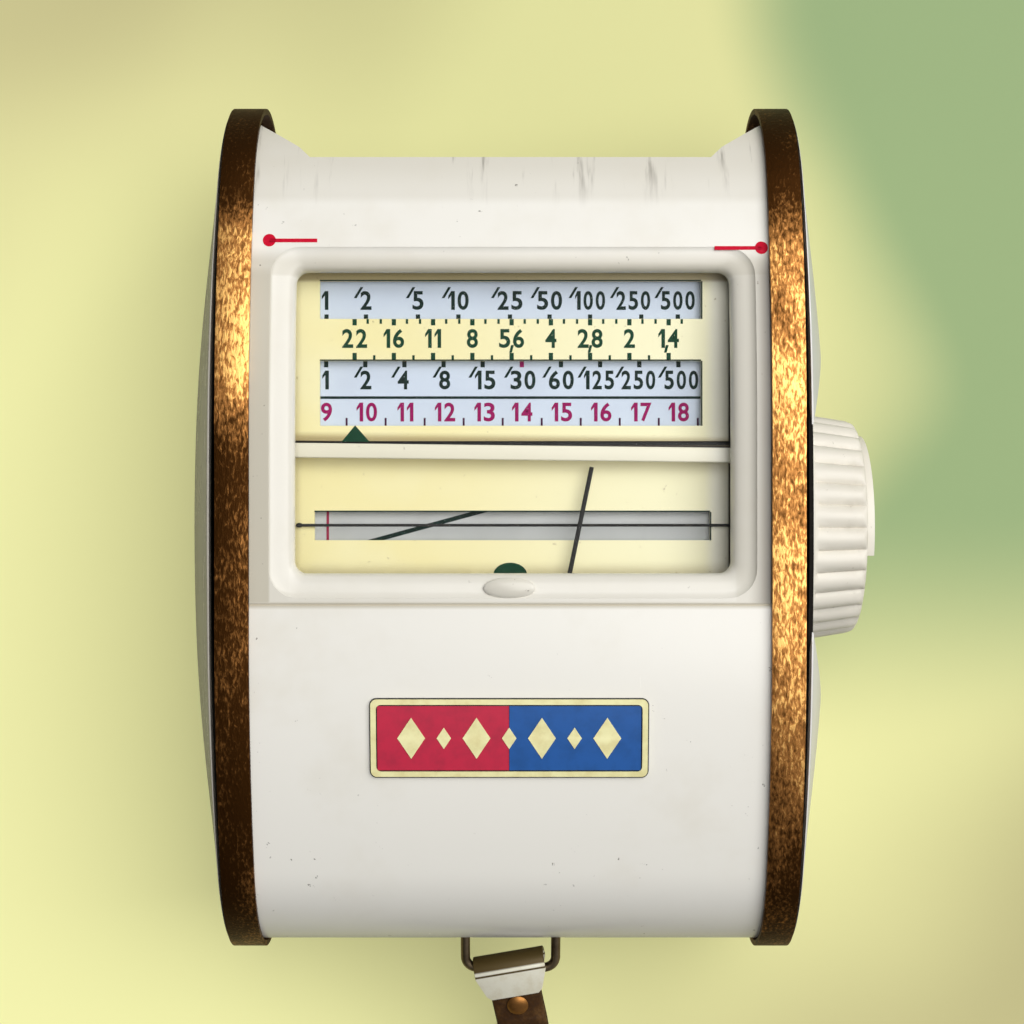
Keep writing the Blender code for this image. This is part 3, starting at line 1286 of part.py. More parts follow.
def make_leads():
    """The two wires from the cell to the movement, along the housing's back."""
    start_y = HOLDER_Y - HOLDER_DEPTH - LEAD_RADIUS - SEAM
    back_z = CASE_DEPTH - face_height(0, INNER_INSET) + RUN + 3 * LEAD_RADIUS
    tail_z = polar(BLIND_RADIUS, BLIND_TAIL_DEG)[1]
    end_y = PIVOT_Y + BASE_FRONT
    for name, finish, shift in (
        ("positive", "red_wire", 0),
        ("negative", "black_plastic", LEAD_PITCH),
    ):
        x = -LEAD_X + shift
        route = [
            (x, start_y, MIDDLE - LEAD_RADIUS),
            (x, CAM_Y, (CAM_Z + tail_z) / 2),
            (x, CAM_Y - 2 * LEAD_PITCH, (CAM_Z + back_z) / 2),
            (x, CAM_Y - 6 * LEAD_PITCH, back_z),
            (x, 0, back_z),
            (x, end_y / 2, back_z),
            (shift - LEAD_X / 2, end_y + 2 * LEAD_PITCH, back_z),
            (shift - LEAD_X / 3, end_y + LEAD_PITCH, (BASE_TOP + back_z) / 2 + LEAD_RADIUS),
            (shift - LEAD_X / 4, end_y - SEAM, BASE_TOP + 2 * LEAD_RADIUS),
        ]
        wire(f"cell_lead_{name}", smooth_route(route, LEAD_STEPS), LEAD_RADIUS, finish)


def make_movement_base():
    """The movement's base plate with the two posts under the ring, and the lower jewel."""
    back, front = PIVOT_Y - BASE_BACK, PIVOT_Y + BASE_FRONT
    middle = ((front + back) / 2, PIVOT_X)
    outline = [(x, y) for y, x in rectangle(front - back, BASE_WIDTH, middle)]
    hole = circle((PIVOT_X, PIVOT_Y), JEWEL_RADIUS + FIT)
    base = prism("movement_base", [outline, hole], BASE_BOTTOM, BASE_TOP, "Z", "brass")
    for name, side in (("left", -1), ("right", 1)):
        centre = (PIVOT_X + side * (RING_RADIUS - RING_WALL / 2), PIVOT_Y, 0)
        low, high = BASE_BOTTOM + BASE_THICKNESS / 2, RING_BOTTOM - SEAM
        post = rod(f"join_post_{name}", RING_POST_RADIUS, low, high, centre, "Z", None)
        combine(base, post, "UNION")
    top = COIL_BOTTOM - STAFF_DROP - SEAM
    jewel_screw("jewel_screw_lower", top, BASE_BOTTOM - JEWEL_HEAD / 3, -1)


def jewel_screw(name, tip, head, way):
    """A slotted screw whose tip holds the coil's pivot; way is +1 with its head on top."""
    centre = (PIVOT_X, PIVOT_Y, 0)
    end = head + way * JEWEL_HEAD
    profile = [(0, end), (JEWEL_RADIUS, end), (JEWEL_RADIUS, tip), (0, tip)]
    if way < 0:
        profile.reverse()
    screw = turned(name, profile, centre, "Z", "brass", "case", SMALL_STEPS)
    half = SCREW_SLOT / 2
    depth = head + way * JEWEL_HEAD / 2
    far = end + way * OVERRUN
    low_z, high_z = sorted((depth, far))
    low = (PIVOT_X - 2 * JEWEL_RADIUS, PIVOT_Y - half, low_z)
    high = (PIVOT_X + 2 * JEWEL_RADIUS, PIVOT_Y + half, high_z)
    combine(screw, block(f"cut_{name}", low, high, None))


def make_magnet():
    """The core magnet, the soft iron ring round it and the strip that holds the core."""
    centre = (PIVOT_X, PIVOT_Y, 0)
    inner = RING_RADIUS - RING_WALL
    tube("return_ring", RING_RADIUS, inner, RING_BOTTOM, RING_TOP, centre, "Z", "soft_iron")
    top = RING_TOP
    rod("core_magnet", CORE_RADIUS, CORE_BOTTOM, top, centre, "Z", "magnet_alloy", steps=24)
    outline = rectangle(SUPPORT_WIDTH, 2 * RING_RADIUS, (PIVOT_X, PIVOT_Y))
    low, high = SUPPORT_BOTTOM, SUPPORT_BOTTOM + SUPPORT_THICKNESS
    prism("core_support", [outline], low, high, "Z", "brass")


def make_moving_coil():
    """The wound frame that swings round the core, on its two pivots."""
    outer = COIL_INNER_HALF + COIL_WALL
    # Drawn as height and x, for an outline that is drawn out along Y
    tall, inner_tall = COIL_TOP - COIL_BOTTOM, COIL_INNER_TOP - COIL_INNER_BOTTOM
    middle = ((COIL_TOP + COIL_BOTTOM) / 2, PIVOT_X)
    inner_middle = ((COIL_INNER_TOP + COIL_INNER_BOTTOM) / 2, PIVOT_X)
    loops = [
        rectangle(tall, 2 * outer, middle),
        rectangle(inner_tall, 2 * COIL_INNER_HALF, inner_middle),
    ]
    low, high = PIVOT_Y - COIL_DEPTH / 2, PIVOT_Y + COIL_DEPTH / 2
    coil = prism("moving_coil", loops, low, high, "Y", "copper_winding", "needle")
    centre = (PIVOT_X, PIVOT_Y, 0)
    bite = COIL_WALL / 2
    upper = (COIL_TOP - bite, STAFF_TOP)
    lower = (COIL_BOTTOM - STAFF_DROP, COIL_BOTTOM + bite)
    for name, (low, high) in (("upper", upper), ("lower", lower)):
        staff = rod(f"join_staff_{name}", STAFF_RADIUS, low, high, centre, "Z", None, "needle", 12)
        combine(coil, staff, "UNION")


def make_needle():
    """The needle: a hub on the coil's staff, a cranked arm and a weighted tail."""
    x, y = PIVOT_X, PIVOT_Y
    bore = STAFF_RADIUS + FIT / 2
    low, high = HUB_Z - HUB_HEIGHT / 2, HUB_Z + HUB_HEIGHT / 2
    centre = (x, y, 0)
    size = (HUB_RADIUS, bore)
    needle = tube("needle", *size, low, high, centre, "Z", "black_enamel", "needle", 16)
    grip = (HUB_RADIUS + bore) / 2
    arm = [
        (x, y + grip, HUB_Z),
        (x, y + CRANK_START, HUB_Z),
        (x, y + CRANK_END, NEEDLE_Z),
        (x, y + NEEDLE_LENGTH, NEEDLE_Z),
    ]
    combine(needle, wire("join_arm", arm, NEEDLE_RADIUS, None, "needle"), "UNION")
    tail = [(x, y - grip, HUB_Z), (x, y - TAIL_LENGTH, HUB_Z)]
    combine(needle, wire("join_tail", tail, NEEDLE_RADIUS, None, "needle"), "UNION")
    end = y - TAIL_LENGTH
    place = (x, 0, HUB_Z)
    size = (WEIGHT_RADIUS, end, end + WEIGHT_LENGTH)
    combine(needle, rod("join_weight", *size, place, "Y", None, "needle", 12), "UNION")


def make_hairspring(name, height):
    """A flat spiral spring round the staff."""
    count = SPRING_TURNS * SPRING_POINTS
    points = []
    for i in range(count + 1):
        turn = 2 * math.pi * i / SPRING_POINTS
        radius = SPRING_INNER + SPRING_PITCH * i / SPRING_POINTS
        x, y = PIVOT_X + radius * math.cos(turn), PIVOT_Y + radius * math.sin(turn)
        points.append((x, y, height))
    curve = bpy.data.curves.new(name, "CURVE")
    curve.dimensions = "3D"
    curve.bevel_depth = SPRING_RADIUS
    curve.bevel_resolution = 0
    curve.use_fill_caps = True
    add_spline(curve, points, False)
    add_object(name, mesh_of_curve(curve), "copper_winding", "case")


def make_bridge():
    """The bridge over the coil, with the upper jewel."""
    half = BASE_WIDTH / 2 - SEAM
    inner = half - BRIDGE_LEG
    low = BASE_TOP + SEAM
    under = BRIDGE_TOP - BRIDGE_BAR
    x = PIVOT_X
    # Drawn as height and x, for an outline that is drawn out along Y
    outline = [(low, x - half), (BRIDGE_TOP, x - half), (BRIDGE_TOP, x + half), (low, x + half)]
    outline += [(low, x + inner), (under, x + inner), (under, x - inner), (low, x - inner)]
    ends = (PIVOT_Y - BRIDGE_DEPTH / 2, PIVOT_Y + BRIDGE_DEPTH / 2)
    bridge = prism("movement_bridge", [outline], *ends, "Y", "brass")
    centre = (x, PIVOT_Y, 0)
    size = (JEWEL_RADIUS + FIT, under - OVERRUN, BRIDGE_TOP + OVERRUN)
    combine(bridge, rod("cut_bridge", *size, centre, "Z", None))
    jewel_screw("jewel_screw_upper", STAFF_TOP + SEAM, BRIDGE_TOP, 1)


def make_zero_screw():
    """The slotted zero screw in the back, with its eccentric pin."""
    centre = (PIVOT_X, PIVOT_Y, 0)
    low = CASE_DEPTH - face_height(PIVOT_Y, BAND_STAND)
    high = BASE_BOTTOM - 4 * JEWEL_HEAD / 3 - ZERO_PIN_LENGTH - ZERO_CLEAR
    size = (ZERO_RADIUS, low, high)
    screw = rod("zero_adjust_screw", *size, centre, "Z", "brass", "zero", 24)
    half = ZERO_SLOT / 2
    slot_low = (PIVOT_X - ZERO_RADIUS - OVERRUN, PIVOT_Y - half, low - OVERRUN)
    slot_high = (PIVOT_X + ZERO_RADIUS + OVERRUN, PIVOT_Y + half, low + ZERO_SLOT)
    combine(screw, block("cut_zero_slot", slot_low, slot_high, None, "zero"))
    centre = (PIVOT_X + ZERO_PIN_OFFSET, PIVOT_Y, 0)
    size = (ZERO_PIN_RADIUS, high - ZERO_SLOT, high + ZERO_PIN_LENGTH)
    combine(screw, rod("join_zero_pin", *size, centre, "Z", None, "zero", 12), "UNION")


def make_strap_ring():
    """The wire ring: its ends turn in the lug inside the housing."""
    corner = RING_CORNER
    side, axis_y, bar_y, z = RING_HALF_WIDTH, RING_AXIS_Y, BAR_Y, MIDDLE
    upper = arc((side - corner, axis_y - corner), corner, math.pi / 2, 0, 4)
    lower = arc((side - corner, bar_y + corner), corner, 0, -math.pi / 2, 4)
    half = [(RING_END_X, axis_y), *upper, *lower]
    outline = half + [(-x, y) for x, y in reversed(half)]
    wire("strap_ring", [(x, y, z) for x, y in outline], WIRE_RADIUS, "bronze_wire", "ring")
    reach = LUG_WIDTH / 2
    back = RING_AXIS_Y - LUG_DEPTH / 2
    half_z = LUG_HEIGHT / 2
    low, high = (-reach, back, z - half_z), (reach, back + LUG_DEPTH, z + half_z)
    lug = block("ring_lug", low, high, "brass")
    bore = WIRE_RADIUS + RUN
    hole = rod("cut_lug", bore, -reach - OVERRUN, reach + OVERRUN, (0, axis_y, z), "X", None)
    combine(lug, hole)


def clip_outline():
    """Side view of the folded clip as y and z, round the ring's bar."""
    mid = CLIP_HALF_GAP + CLIP_THICKNESS / 2
    outer, inner = mid + CLIP_THICKNESS / 2, mid - CLIP_THICKNESS / 2
    fold = (CLIP_THICKNESS / 2, 0)
    front, back = -CLIP_TAB, -CLIP_BACK_TAB
    over = arc(fold, outer, math.pi / 2, -math.pi / 2, 8)
    under = arc(fold, inner, -math.pi / 2, math.pi / 2, 8)
    return [(front, outer), *over, (back, -outer), (back, -inner), *under, (front, inner)]


def make_clip():
    """The folded brass clip that hangs on the ring's bar, and its rivet."""
    half = CLIP_FOLD_WIDTH / 2
    ends = (-half - OVERRUN, half + OVERRUN)
    clip = prism("strap_clip", [clip_outline()], *ends, "X", "brass", "ring")
    tab, back, chamfer = CLIP_TAB_WIDTH / 2, CLIP_BACK_WIDTH / 2, CLIP_CHAMFER
    top = CLIP_HALF_GAP + 2 * CLIP_THICKNESS
    end = CLIP_TAB + SEAM
    side = [
        (half, top),
        (half, 0),
        (tab, chamfer - end),
        (tab - chamfer, -end),
        (back, -end),
        (back, -CLIP_BACK_TAB - OVERRUN),
    ]
    plan = side + [(-x, y) for x, y in reversed(side)]
    deep = 2 * CLIP_HALF_GAP
    combine(clip, prism("keep_clip", [plan], -deep, deep, "Z", None, "ring"), "INTERSECT")
    size = (RIVET_RADIUS + RUN / 2, -deep, deep)
    hole = rod("cut_rivet_hole", *size, (0, -RIVET_DROP, 0), "Z", None, "ring", 12)
    combine(clip, hole)
    head = STRAP_LAYER_GAP / 2 + STRAP_THICKNESS + SEAM
    foot = CLIP_HALF_GAP + CLIP_THICKNESS + SEAM
    profile = [
        (0, head + RIVET_HEAD),
        (RIVET_HEAD_RADIUS / 2, head + RIVET_HEAD),
        (RIVET_HEAD_RADIUS, head),
        (RIVET_RADIUS, head),
        (RIVET_RADIUS, -foot),
        (RIVET_HEAD_RADIUS, -foot),
        (RIVET_HEAD_RADIUS, -foot - RIVET_HEAD),
        (0, -foot - RIVET_HEAD),
    ]
    rivet = turned("clip_rivet", profile, (0, -RIVET_DROP, 0), "Z", "brass", "ring", 12)
    tilt = Matrix.Translation((0, BAR_Y, MIDDLE)) @ Matrix.Rotation(
        math.radians(CLIP_TILT_DEG), 4, "Z"
    )
    for each in (clip, rivet, hole, bpy.data.objects["keep_clip"]):
        each.matrix_basis = tilt @ each.matrix_basis
    return tilt


def strap_frames():
    """Middle, across and through directions along the strap, from one end to the other."""
    droop = Matrix.Rotation(RING_DROOP, 4, "X")
    axis = Vector((0, RING_AXIS_Y, MIDDLE))
    tilt = Matrix.Rotation(math.radians(CLIP_TILT_DEG), 4, "Z")
    bar = axis + droop.to_3x3() @ Vector((0, -RING_REACH, 0))
    along = (droop @ tilt).to_3x3() @ Vector((0, -1, 0))
    face = (droop @ tilt).to_3x3() @ Vector((0, 0, 1))
    floor = STRAP_WIDTH / 2
    layer = (STRAP_THICKNESS + STRAP_LAYER_GAP) / 2
    starts = [bar + along * STRAP_START, bar + along * CLIP_BACK_TAB]
    middles = [(point, face) for point in starts]
    for x, y, z, turn in STRAP_RUN:
        blend = face.lerp(Vector((1, 0, 0)), turn).normalized()
        middles.append((Vector((x, y + RING_AXIS_Y, max(z, floor + SEAM))), blend))
    out = [(point + layer * normal, normal) for point, normal in middles]
    loop = [Vector((x, y + RING_AXIS_Y, floor + SEAM)) for x, y in STRAP_LOOP]
    back = [(point - layer * normal, -normal) for point, normal in reversed(middles)]
    return out, loop, back


def make_strap():
    """The narrow leather wrist strap: one strip, doubled in the clip and looped on the table."""
    out, loop, back = strap_frames()
    points = [point for point, _ in out] + loop + [point for point, _ in back]
    route = smooth_route(points, STRAP_STEPS)
    # The strip's own face direction is read the same way, with the loop standing on its edge
    faces = [normal for _, normal in out]
    for i, point in enumerate(loop):
        before = loop[i - 1] if i else out[-1][0]
        after = loop[i + 1] if i + 1 < len(loop) else back[0][0]
        heading = (after - before).normalized()
        faces.append(Vector((-heading.y, heading.x, 0)))
    faces += [normal for _, normal in back]
    turns = smooth_route(faces, STRAP_STEPS)
    loops = []
    for i, point in enumerate(route):
        ahead = route[min(i + 1, len(route) - 1)] - route[max(i - 1, 0)]
        ahead.normalize()
        normal = turns[i] - turns[i].dot(ahead) * ahead
        normal.normalize()
        across = ahead.cross(normal)
        wide, thick = across * STRAP_WIDTH / 2, normal * STRAP_THICKNESS / 2
        corners = (wide + thick, wide - thick, -wide - thick, thick - wide)
        loops.append([point + corner for corner in corners])
    strap = loft("strap", loops, "brown_leather", "case")
    droop = Matrix.Translation((0, RING_AXIS_Y, MIDDLE)) @ Matrix.Rotation(RING_DROOP, 4, "X")
    reach = Matrix.Translation((0, -RING_REACH, 0))
    tilt = Matrix.Rotation(math.radians(CLIP_TILT_DEG), 4, "Z")
    size = (RIVET_RADIUS + RUN / 2, -2 * CLIP_HALF_GAP, 2 * CLIP_HALF_GAP)
    hole = rod("cut_strap_hole", *size, (0, -RIVET_DROP, 0), "Z", None, "case", 12)
    hole.matrix_basis = droop @ reach @ tilt @ hole.matrix_basis
    combine(strap, hole)


def make_bodies():
    """An empty on each joint's axis, all carried by one at the meter's origin."""
    places = {
        "case": (0, 0, 0),
        "knob": (0, 0, MIDDLE),
        "film": (0, 0, MIDDLE),
        "cam": (0, CAM_Y, CAM_Z),
        "slide": (0, CAM_Y, SLIDE_TOP),
        "blind": (0, END_Y, MIDDLE),
        "needle": (PIVOT_X, PIVOT_Y, HUB_Z),
        "zero": (PIVOT_X, PIVOT_Y, 0),
        "ring": (0, RING_AXIS_Y, MIDDLE),
    }
    turns = {
        "needle": (0, 0, math.radians(NEEDLE_ANGLE_DEG)),
        "ring": (RING_DROOP, 0, 0),
    }
    origin = bpy.data.objects.new("meter_origin", None)
    origin.location = (-ORIGIN_X, -ORIGIN_Y, 0)
    PARTS.objects.link(origin)
    made = {}
    for name, place in places.items():
        empty = bpy.data.objects.new(f"{name}_axis", None)
        empty.location = place
        empty.rotation_euler = turns.get(name, (0, 0, 0))
        empty.parent = origin
        PARTS.objects.link(empty)
        made[name] = empty
    return made


clear_scene()
PARTS = collection("exposure_meter")
CUTTERS = collection("cutters")
BODIES = make_bodies()
make_housings()
for side_name, side_sign in (("left", -1), ("right", 1)):
    make_side(side_name, side_sign)
    make_chassis(side_name, side_sign)
    make_cheek(side_name, side_sign)
make_window()
make_name_plate()
make_dial_plates()
make_crossbar()
make_index_wire()
make_scale_slide()
make_drum()
make_film_speed_disc()
make_knob()
make_gears()
make_cam()
make_roller_blind()
make_lens_plate()
make_cell()
make_leads()
make_movement_base()
make_magnet()
make_moving_coil()
make_needle()
make_hairspring("hairspring_upper", COIL_TOP + 5 * SPRING_RADIUS)
make_hairspring("hairspring_lower", BASE_TOP + 5 * SPRING_RADIUS)
make_bridge()
make_zero_screw()
make_strap_ring()
make_clip()
make_strap()
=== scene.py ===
"""Looks of a pocket exposure meter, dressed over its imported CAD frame.

Every piece is drawn in the case's own axes, in metres: X runs along the knob's axis,
Y towards the light cell and Z out of the window. CASE_PLACE carries them into the row frame.
"""

from __future__ import annotations

import logging
import random
from dataclasses import dataclass
from enum import Enum
from math import asin, atan2, cos, hypot, pi, radians, sin, sqrt
from typing import Iterable, Sequence

import bmesh
import bpy
from mathutils import Matrix, Quaternion, Vector


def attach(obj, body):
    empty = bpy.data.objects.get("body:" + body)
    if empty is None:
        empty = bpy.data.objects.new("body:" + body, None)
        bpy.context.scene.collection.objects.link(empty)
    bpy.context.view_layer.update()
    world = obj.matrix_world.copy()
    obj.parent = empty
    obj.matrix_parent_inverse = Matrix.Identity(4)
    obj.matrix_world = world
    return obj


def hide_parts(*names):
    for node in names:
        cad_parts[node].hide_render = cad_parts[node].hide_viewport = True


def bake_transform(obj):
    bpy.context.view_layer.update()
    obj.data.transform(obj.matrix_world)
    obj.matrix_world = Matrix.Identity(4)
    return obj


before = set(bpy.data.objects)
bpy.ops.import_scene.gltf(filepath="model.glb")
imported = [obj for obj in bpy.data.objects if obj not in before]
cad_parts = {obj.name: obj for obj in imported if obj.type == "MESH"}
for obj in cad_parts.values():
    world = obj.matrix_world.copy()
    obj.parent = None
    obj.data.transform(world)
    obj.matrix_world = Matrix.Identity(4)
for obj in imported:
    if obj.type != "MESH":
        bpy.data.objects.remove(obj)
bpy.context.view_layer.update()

LOG = logging.getLogger("exposure_meter")

Socket = bpy.types.NodeSocket
Material = bpy.types.Material
Mesh = bpy.types.Mesh
Point2 = tuple[float, float]
Point3 = tuple[float, float, float]
Colour = tuple[float, float, float]
Loop = Sequence[Sequence[float]]

MM = 0.001
CASE_PLACE = Vector((-1.65, 1.558, 0.0)) * MM
MIDDLE = 15.0 * MM


class Axis(Enum):
    """The case's axes, each with the turn that carries a flat outline on to it."""

    X = ((0, 0, 1), (1, 0, 0), (0, 1, 0))
    Y = ((0, 1, 0), (0, 0, 1), (1, 0, 0))
    Z = ((1, 0, 0), (0, 1, 0), (0, 0, 1))

    @property
    def turn(self) -> Matrix:
        """The turn as a 4 by 4 matrix."""
        return Matrix(self.value).to_4x4()


class Body(Enum):
    """The CAD bodies that pieces ride on."""

    CASE = "case"
    KNOB = "knob_drive"
    FILM = "film_dial"
    CAM = "cam_set"
    SCALE = "time_scale"
    BLIND = "cell_blind"
    NEEDLE = "needle_coil"
    RING = "carry_ring"
    ZERO = "zero_screw"


class Side(Enum):
    """The left and right sides of the case, as the sign of X."""

    LEFT = -1
    RIGHT = 1

    @property
    def word(self) -> str:
        """The side's name in lower case."""
        return self.name.lower()


@dataclass(frozen=True)
class Fade:
    """A smooth step from 0 to its share, or down to 0 where low is the higher number."""

    low: float
    high: float
    share: float = 1.0


class Graph:
    """Wires the nodes of one procedural material, with places in millimetres."""

    def __init__(self, name: str) -> None:
        """Starts a material with a Principled shader.

        Args:
            name: The material's name.
        """
        self.material = bpy.data.materials.new(name)
        self.material.use_nodes = True
        self.tree = self.material.node_tree
        self.shader = self.tree.nodes["Principled BSDF"]
        feeds = {0: self.node("TexCoord", {}).outputs["Object"], "Scale": 1 / MM}
        self.place = self.node("VectorMath", feeds, operation="SCALE").outputs[0]

    def node(
        self, kind: str, feeds: dict[str | int, object], **settings: object
    ) -> bpy.types.Node:
        """Adds a node.

        Args:
            kind: Blender's name of its kind, after ShaderNode.
            feeds: What each of its inputs takes, by the input's name or number.
            settings: Its own settings.

        Returns:
            The node.
        """
        node = self.tree.nodes.new(f"ShaderNode{kind}")
        for name, value in settings.items():
            setattr(node, name, value)
        for key, value in feeds.items():
            self.feed(value, node.inputs[key])
        return node

    def join(self, source: Socket, target: Socket) -> None:
        """Links one socket to another."""
        self.tree.links.new(source, target)

    def feed(self, value: object, target: Socket) -> None:
        """Links a socket to the target, or sets the target to a plain value.

        Args:
            value: A socket, a number or a colour.
            target: The socket that takes it.
        """
        if isinstance(value, Socket):
            self.join(value, target)
        elif isinstance(value, tuple) and len(value) == 3 and target.type == "RGBA":
            target.default_value = (*value, 1.0)
        else:
            target.default_value = value

    def stretched(self, stretch: Point3) -> Socket:
        """The place, with each axis multiplied by a number of its own."""
        feeds = {0: self.place, 1: stretch}
        return self.node("VectorMath", feeds, operation="MULTIPLY").outputs[0]

    def noise(
        self,
        scale: float,
        detail: float = 3.0,
        roughness: float = 0.5,
        stretch: Point3 = (1, 1, 1),
        distortion: float = 0.0,
    ) -> Socket:
        """Cloudy noise.

        Args:
            scale: Clouds per millimetre.
            detail: How many finer layers it has.
            roughness: How strong the finer layers are.
            stretch: Multiplies each axis, so a small number draws the clouds out along it.
            distortion: How much the clouds swirl.

        Returns:
            A socket from 0 to 1.
        """
        feeds = {
            "Vector": self.stretched(stretch),
            "Scale": scale,
            "Detail": detail,
            "Roughness": roughness,
            "Distortion": distortion,
        }
        return self.node("TexNoise", feeds).outputs["Fac"]

    def axis(self, index: int) -> Socket:
        """One coordinate of the place, in millimetres."""
        return self.node("SeparateXYZ", {0: self.place}).outputs[index]

    def sums(self, operation: str, first: object, second: object = 0.0) -> Socket:
        """A Math node.

        Args:
            operation: Blender's name of the operation.
            first: A socket or a number.
            second: A socket or a number.

        Returns:
            The result's socket.
        """
        return self.node("Math", {0: first, 1: second}, operation=operation).outputs[0]

    def chain(self, operation: str, values: Sequence[object]) -> Socket:
        """One Math operation from value to value.

        Args:
            operation: Blender's name of the operation.
            values: Two or more sockets or numbers.

        Returns:
            The last result's socket.
        """
        result = values[0]
        for value in values[1:]:
            result = self.sums(operation, result, value)
        return result

    def times(self, *values: object) -> Socket:
        """The product of the values."""
        return self.chain("MULTIPLY", values)

    def plus(self, *values: object) -> Socket:
        """The sum of the values."""
        return self.chain("ADD", values)

    def most(self, *values: object) -> Socket:
        """The highest of the values."""
        return self.chain("MAXIMUM", values)

    def off(self, value: object, middle: object) -> Socket:
        """How far a value lies from a middle, either way."""
        return self.sums("ABSOLUTE", self.sums("SUBTRACT", value, middle))

    def scaled(self, value: object, factor: float, start: object) -> Socket:
        """A value times a factor, plus a start that is a number or a socket."""
        node = self.sums("MULTIPLY_ADD", value, factor).node
        self.feed(start, node.inputs[2])
        return node.outputs[0]

    def step(self, value: object, fade: Fade) -> Socket:
        """A named smooth step of a value, times its share."""
        return self.times(self.fade(value, fade.low, fade.high), fade.share)

    def fade(self, value: object, low: float, high: float) -> Socket:
        """A smooth step that is 0 below low and 1 above high, or the reverse if low is higher."""
        feeds = {
            "Value": value,
            "From Min": min(low, high),
            "From Max": max(low, high),
            "To Min": float(low > high),
            "To Max": float(low <= high),
        }
        return self.node("MapRange", feeds, interpolation_type="SMOOTHSTEP").outputs["Result"]

    def mix(self, factor: object, first: object, second: object) -> Socket:
        """A mix of two colours."""
        feeds = {0: factor, 6: first, 7: second}
        return self.node("Mix", feeds, data_type="RGBA").outputs[2]

    def ramp(self, value: object, stops: Sequence[tuple[float, Colour]]) -> Socket:
        """Colours along a value from 0 to 1."""
        node = self.tree.nodes.new("ShaderNodeValToRGB")
        self.feed(value, node.inputs[0])
        elements = node.color_ramp.elements
        while len(elements) < len(stops):
            elements.new(1.0)
        for element, (position, colour) in zip(elements, stops):
            element.position = position
            element.color = (*colour, 1.0)
        return node.outputs[0]

    def bump(self, height: Socket, strength: float, depth: float) -> None:
        """Raises the surface by a height, given as its strength and its depth in metres."""
        feeds = {"Strength": strength, "Distance": depth, "Height": height}
        self.join(self.node("Bump", feeds).outputs["Normal"], self.shader.inputs["Normal"])

    def surface(self, **sockets: object) -> Material:
        """Sets the shader's sockets, whose names are given with _ for a space.

        Returns:
            The finished material.
        """
        for name, value in sockets.items():
            title = name.replace("_", " ").title().replace("Ior", "IOR")
            self.feed(value, self.shader.inputs[title])
        return self.material


@dataclass(frozen=True)
class Finish:
    """A surface finish, made into a material once."""

    name: str

    def material(self) -> Material:
        """The finish's material, drawn the first time that it is asked for."""
        return bpy.data.materials.get(self.name) or self.draw()

    def draw(self) -> Material:
        """Draws the material."""
        raise NotImplementedError


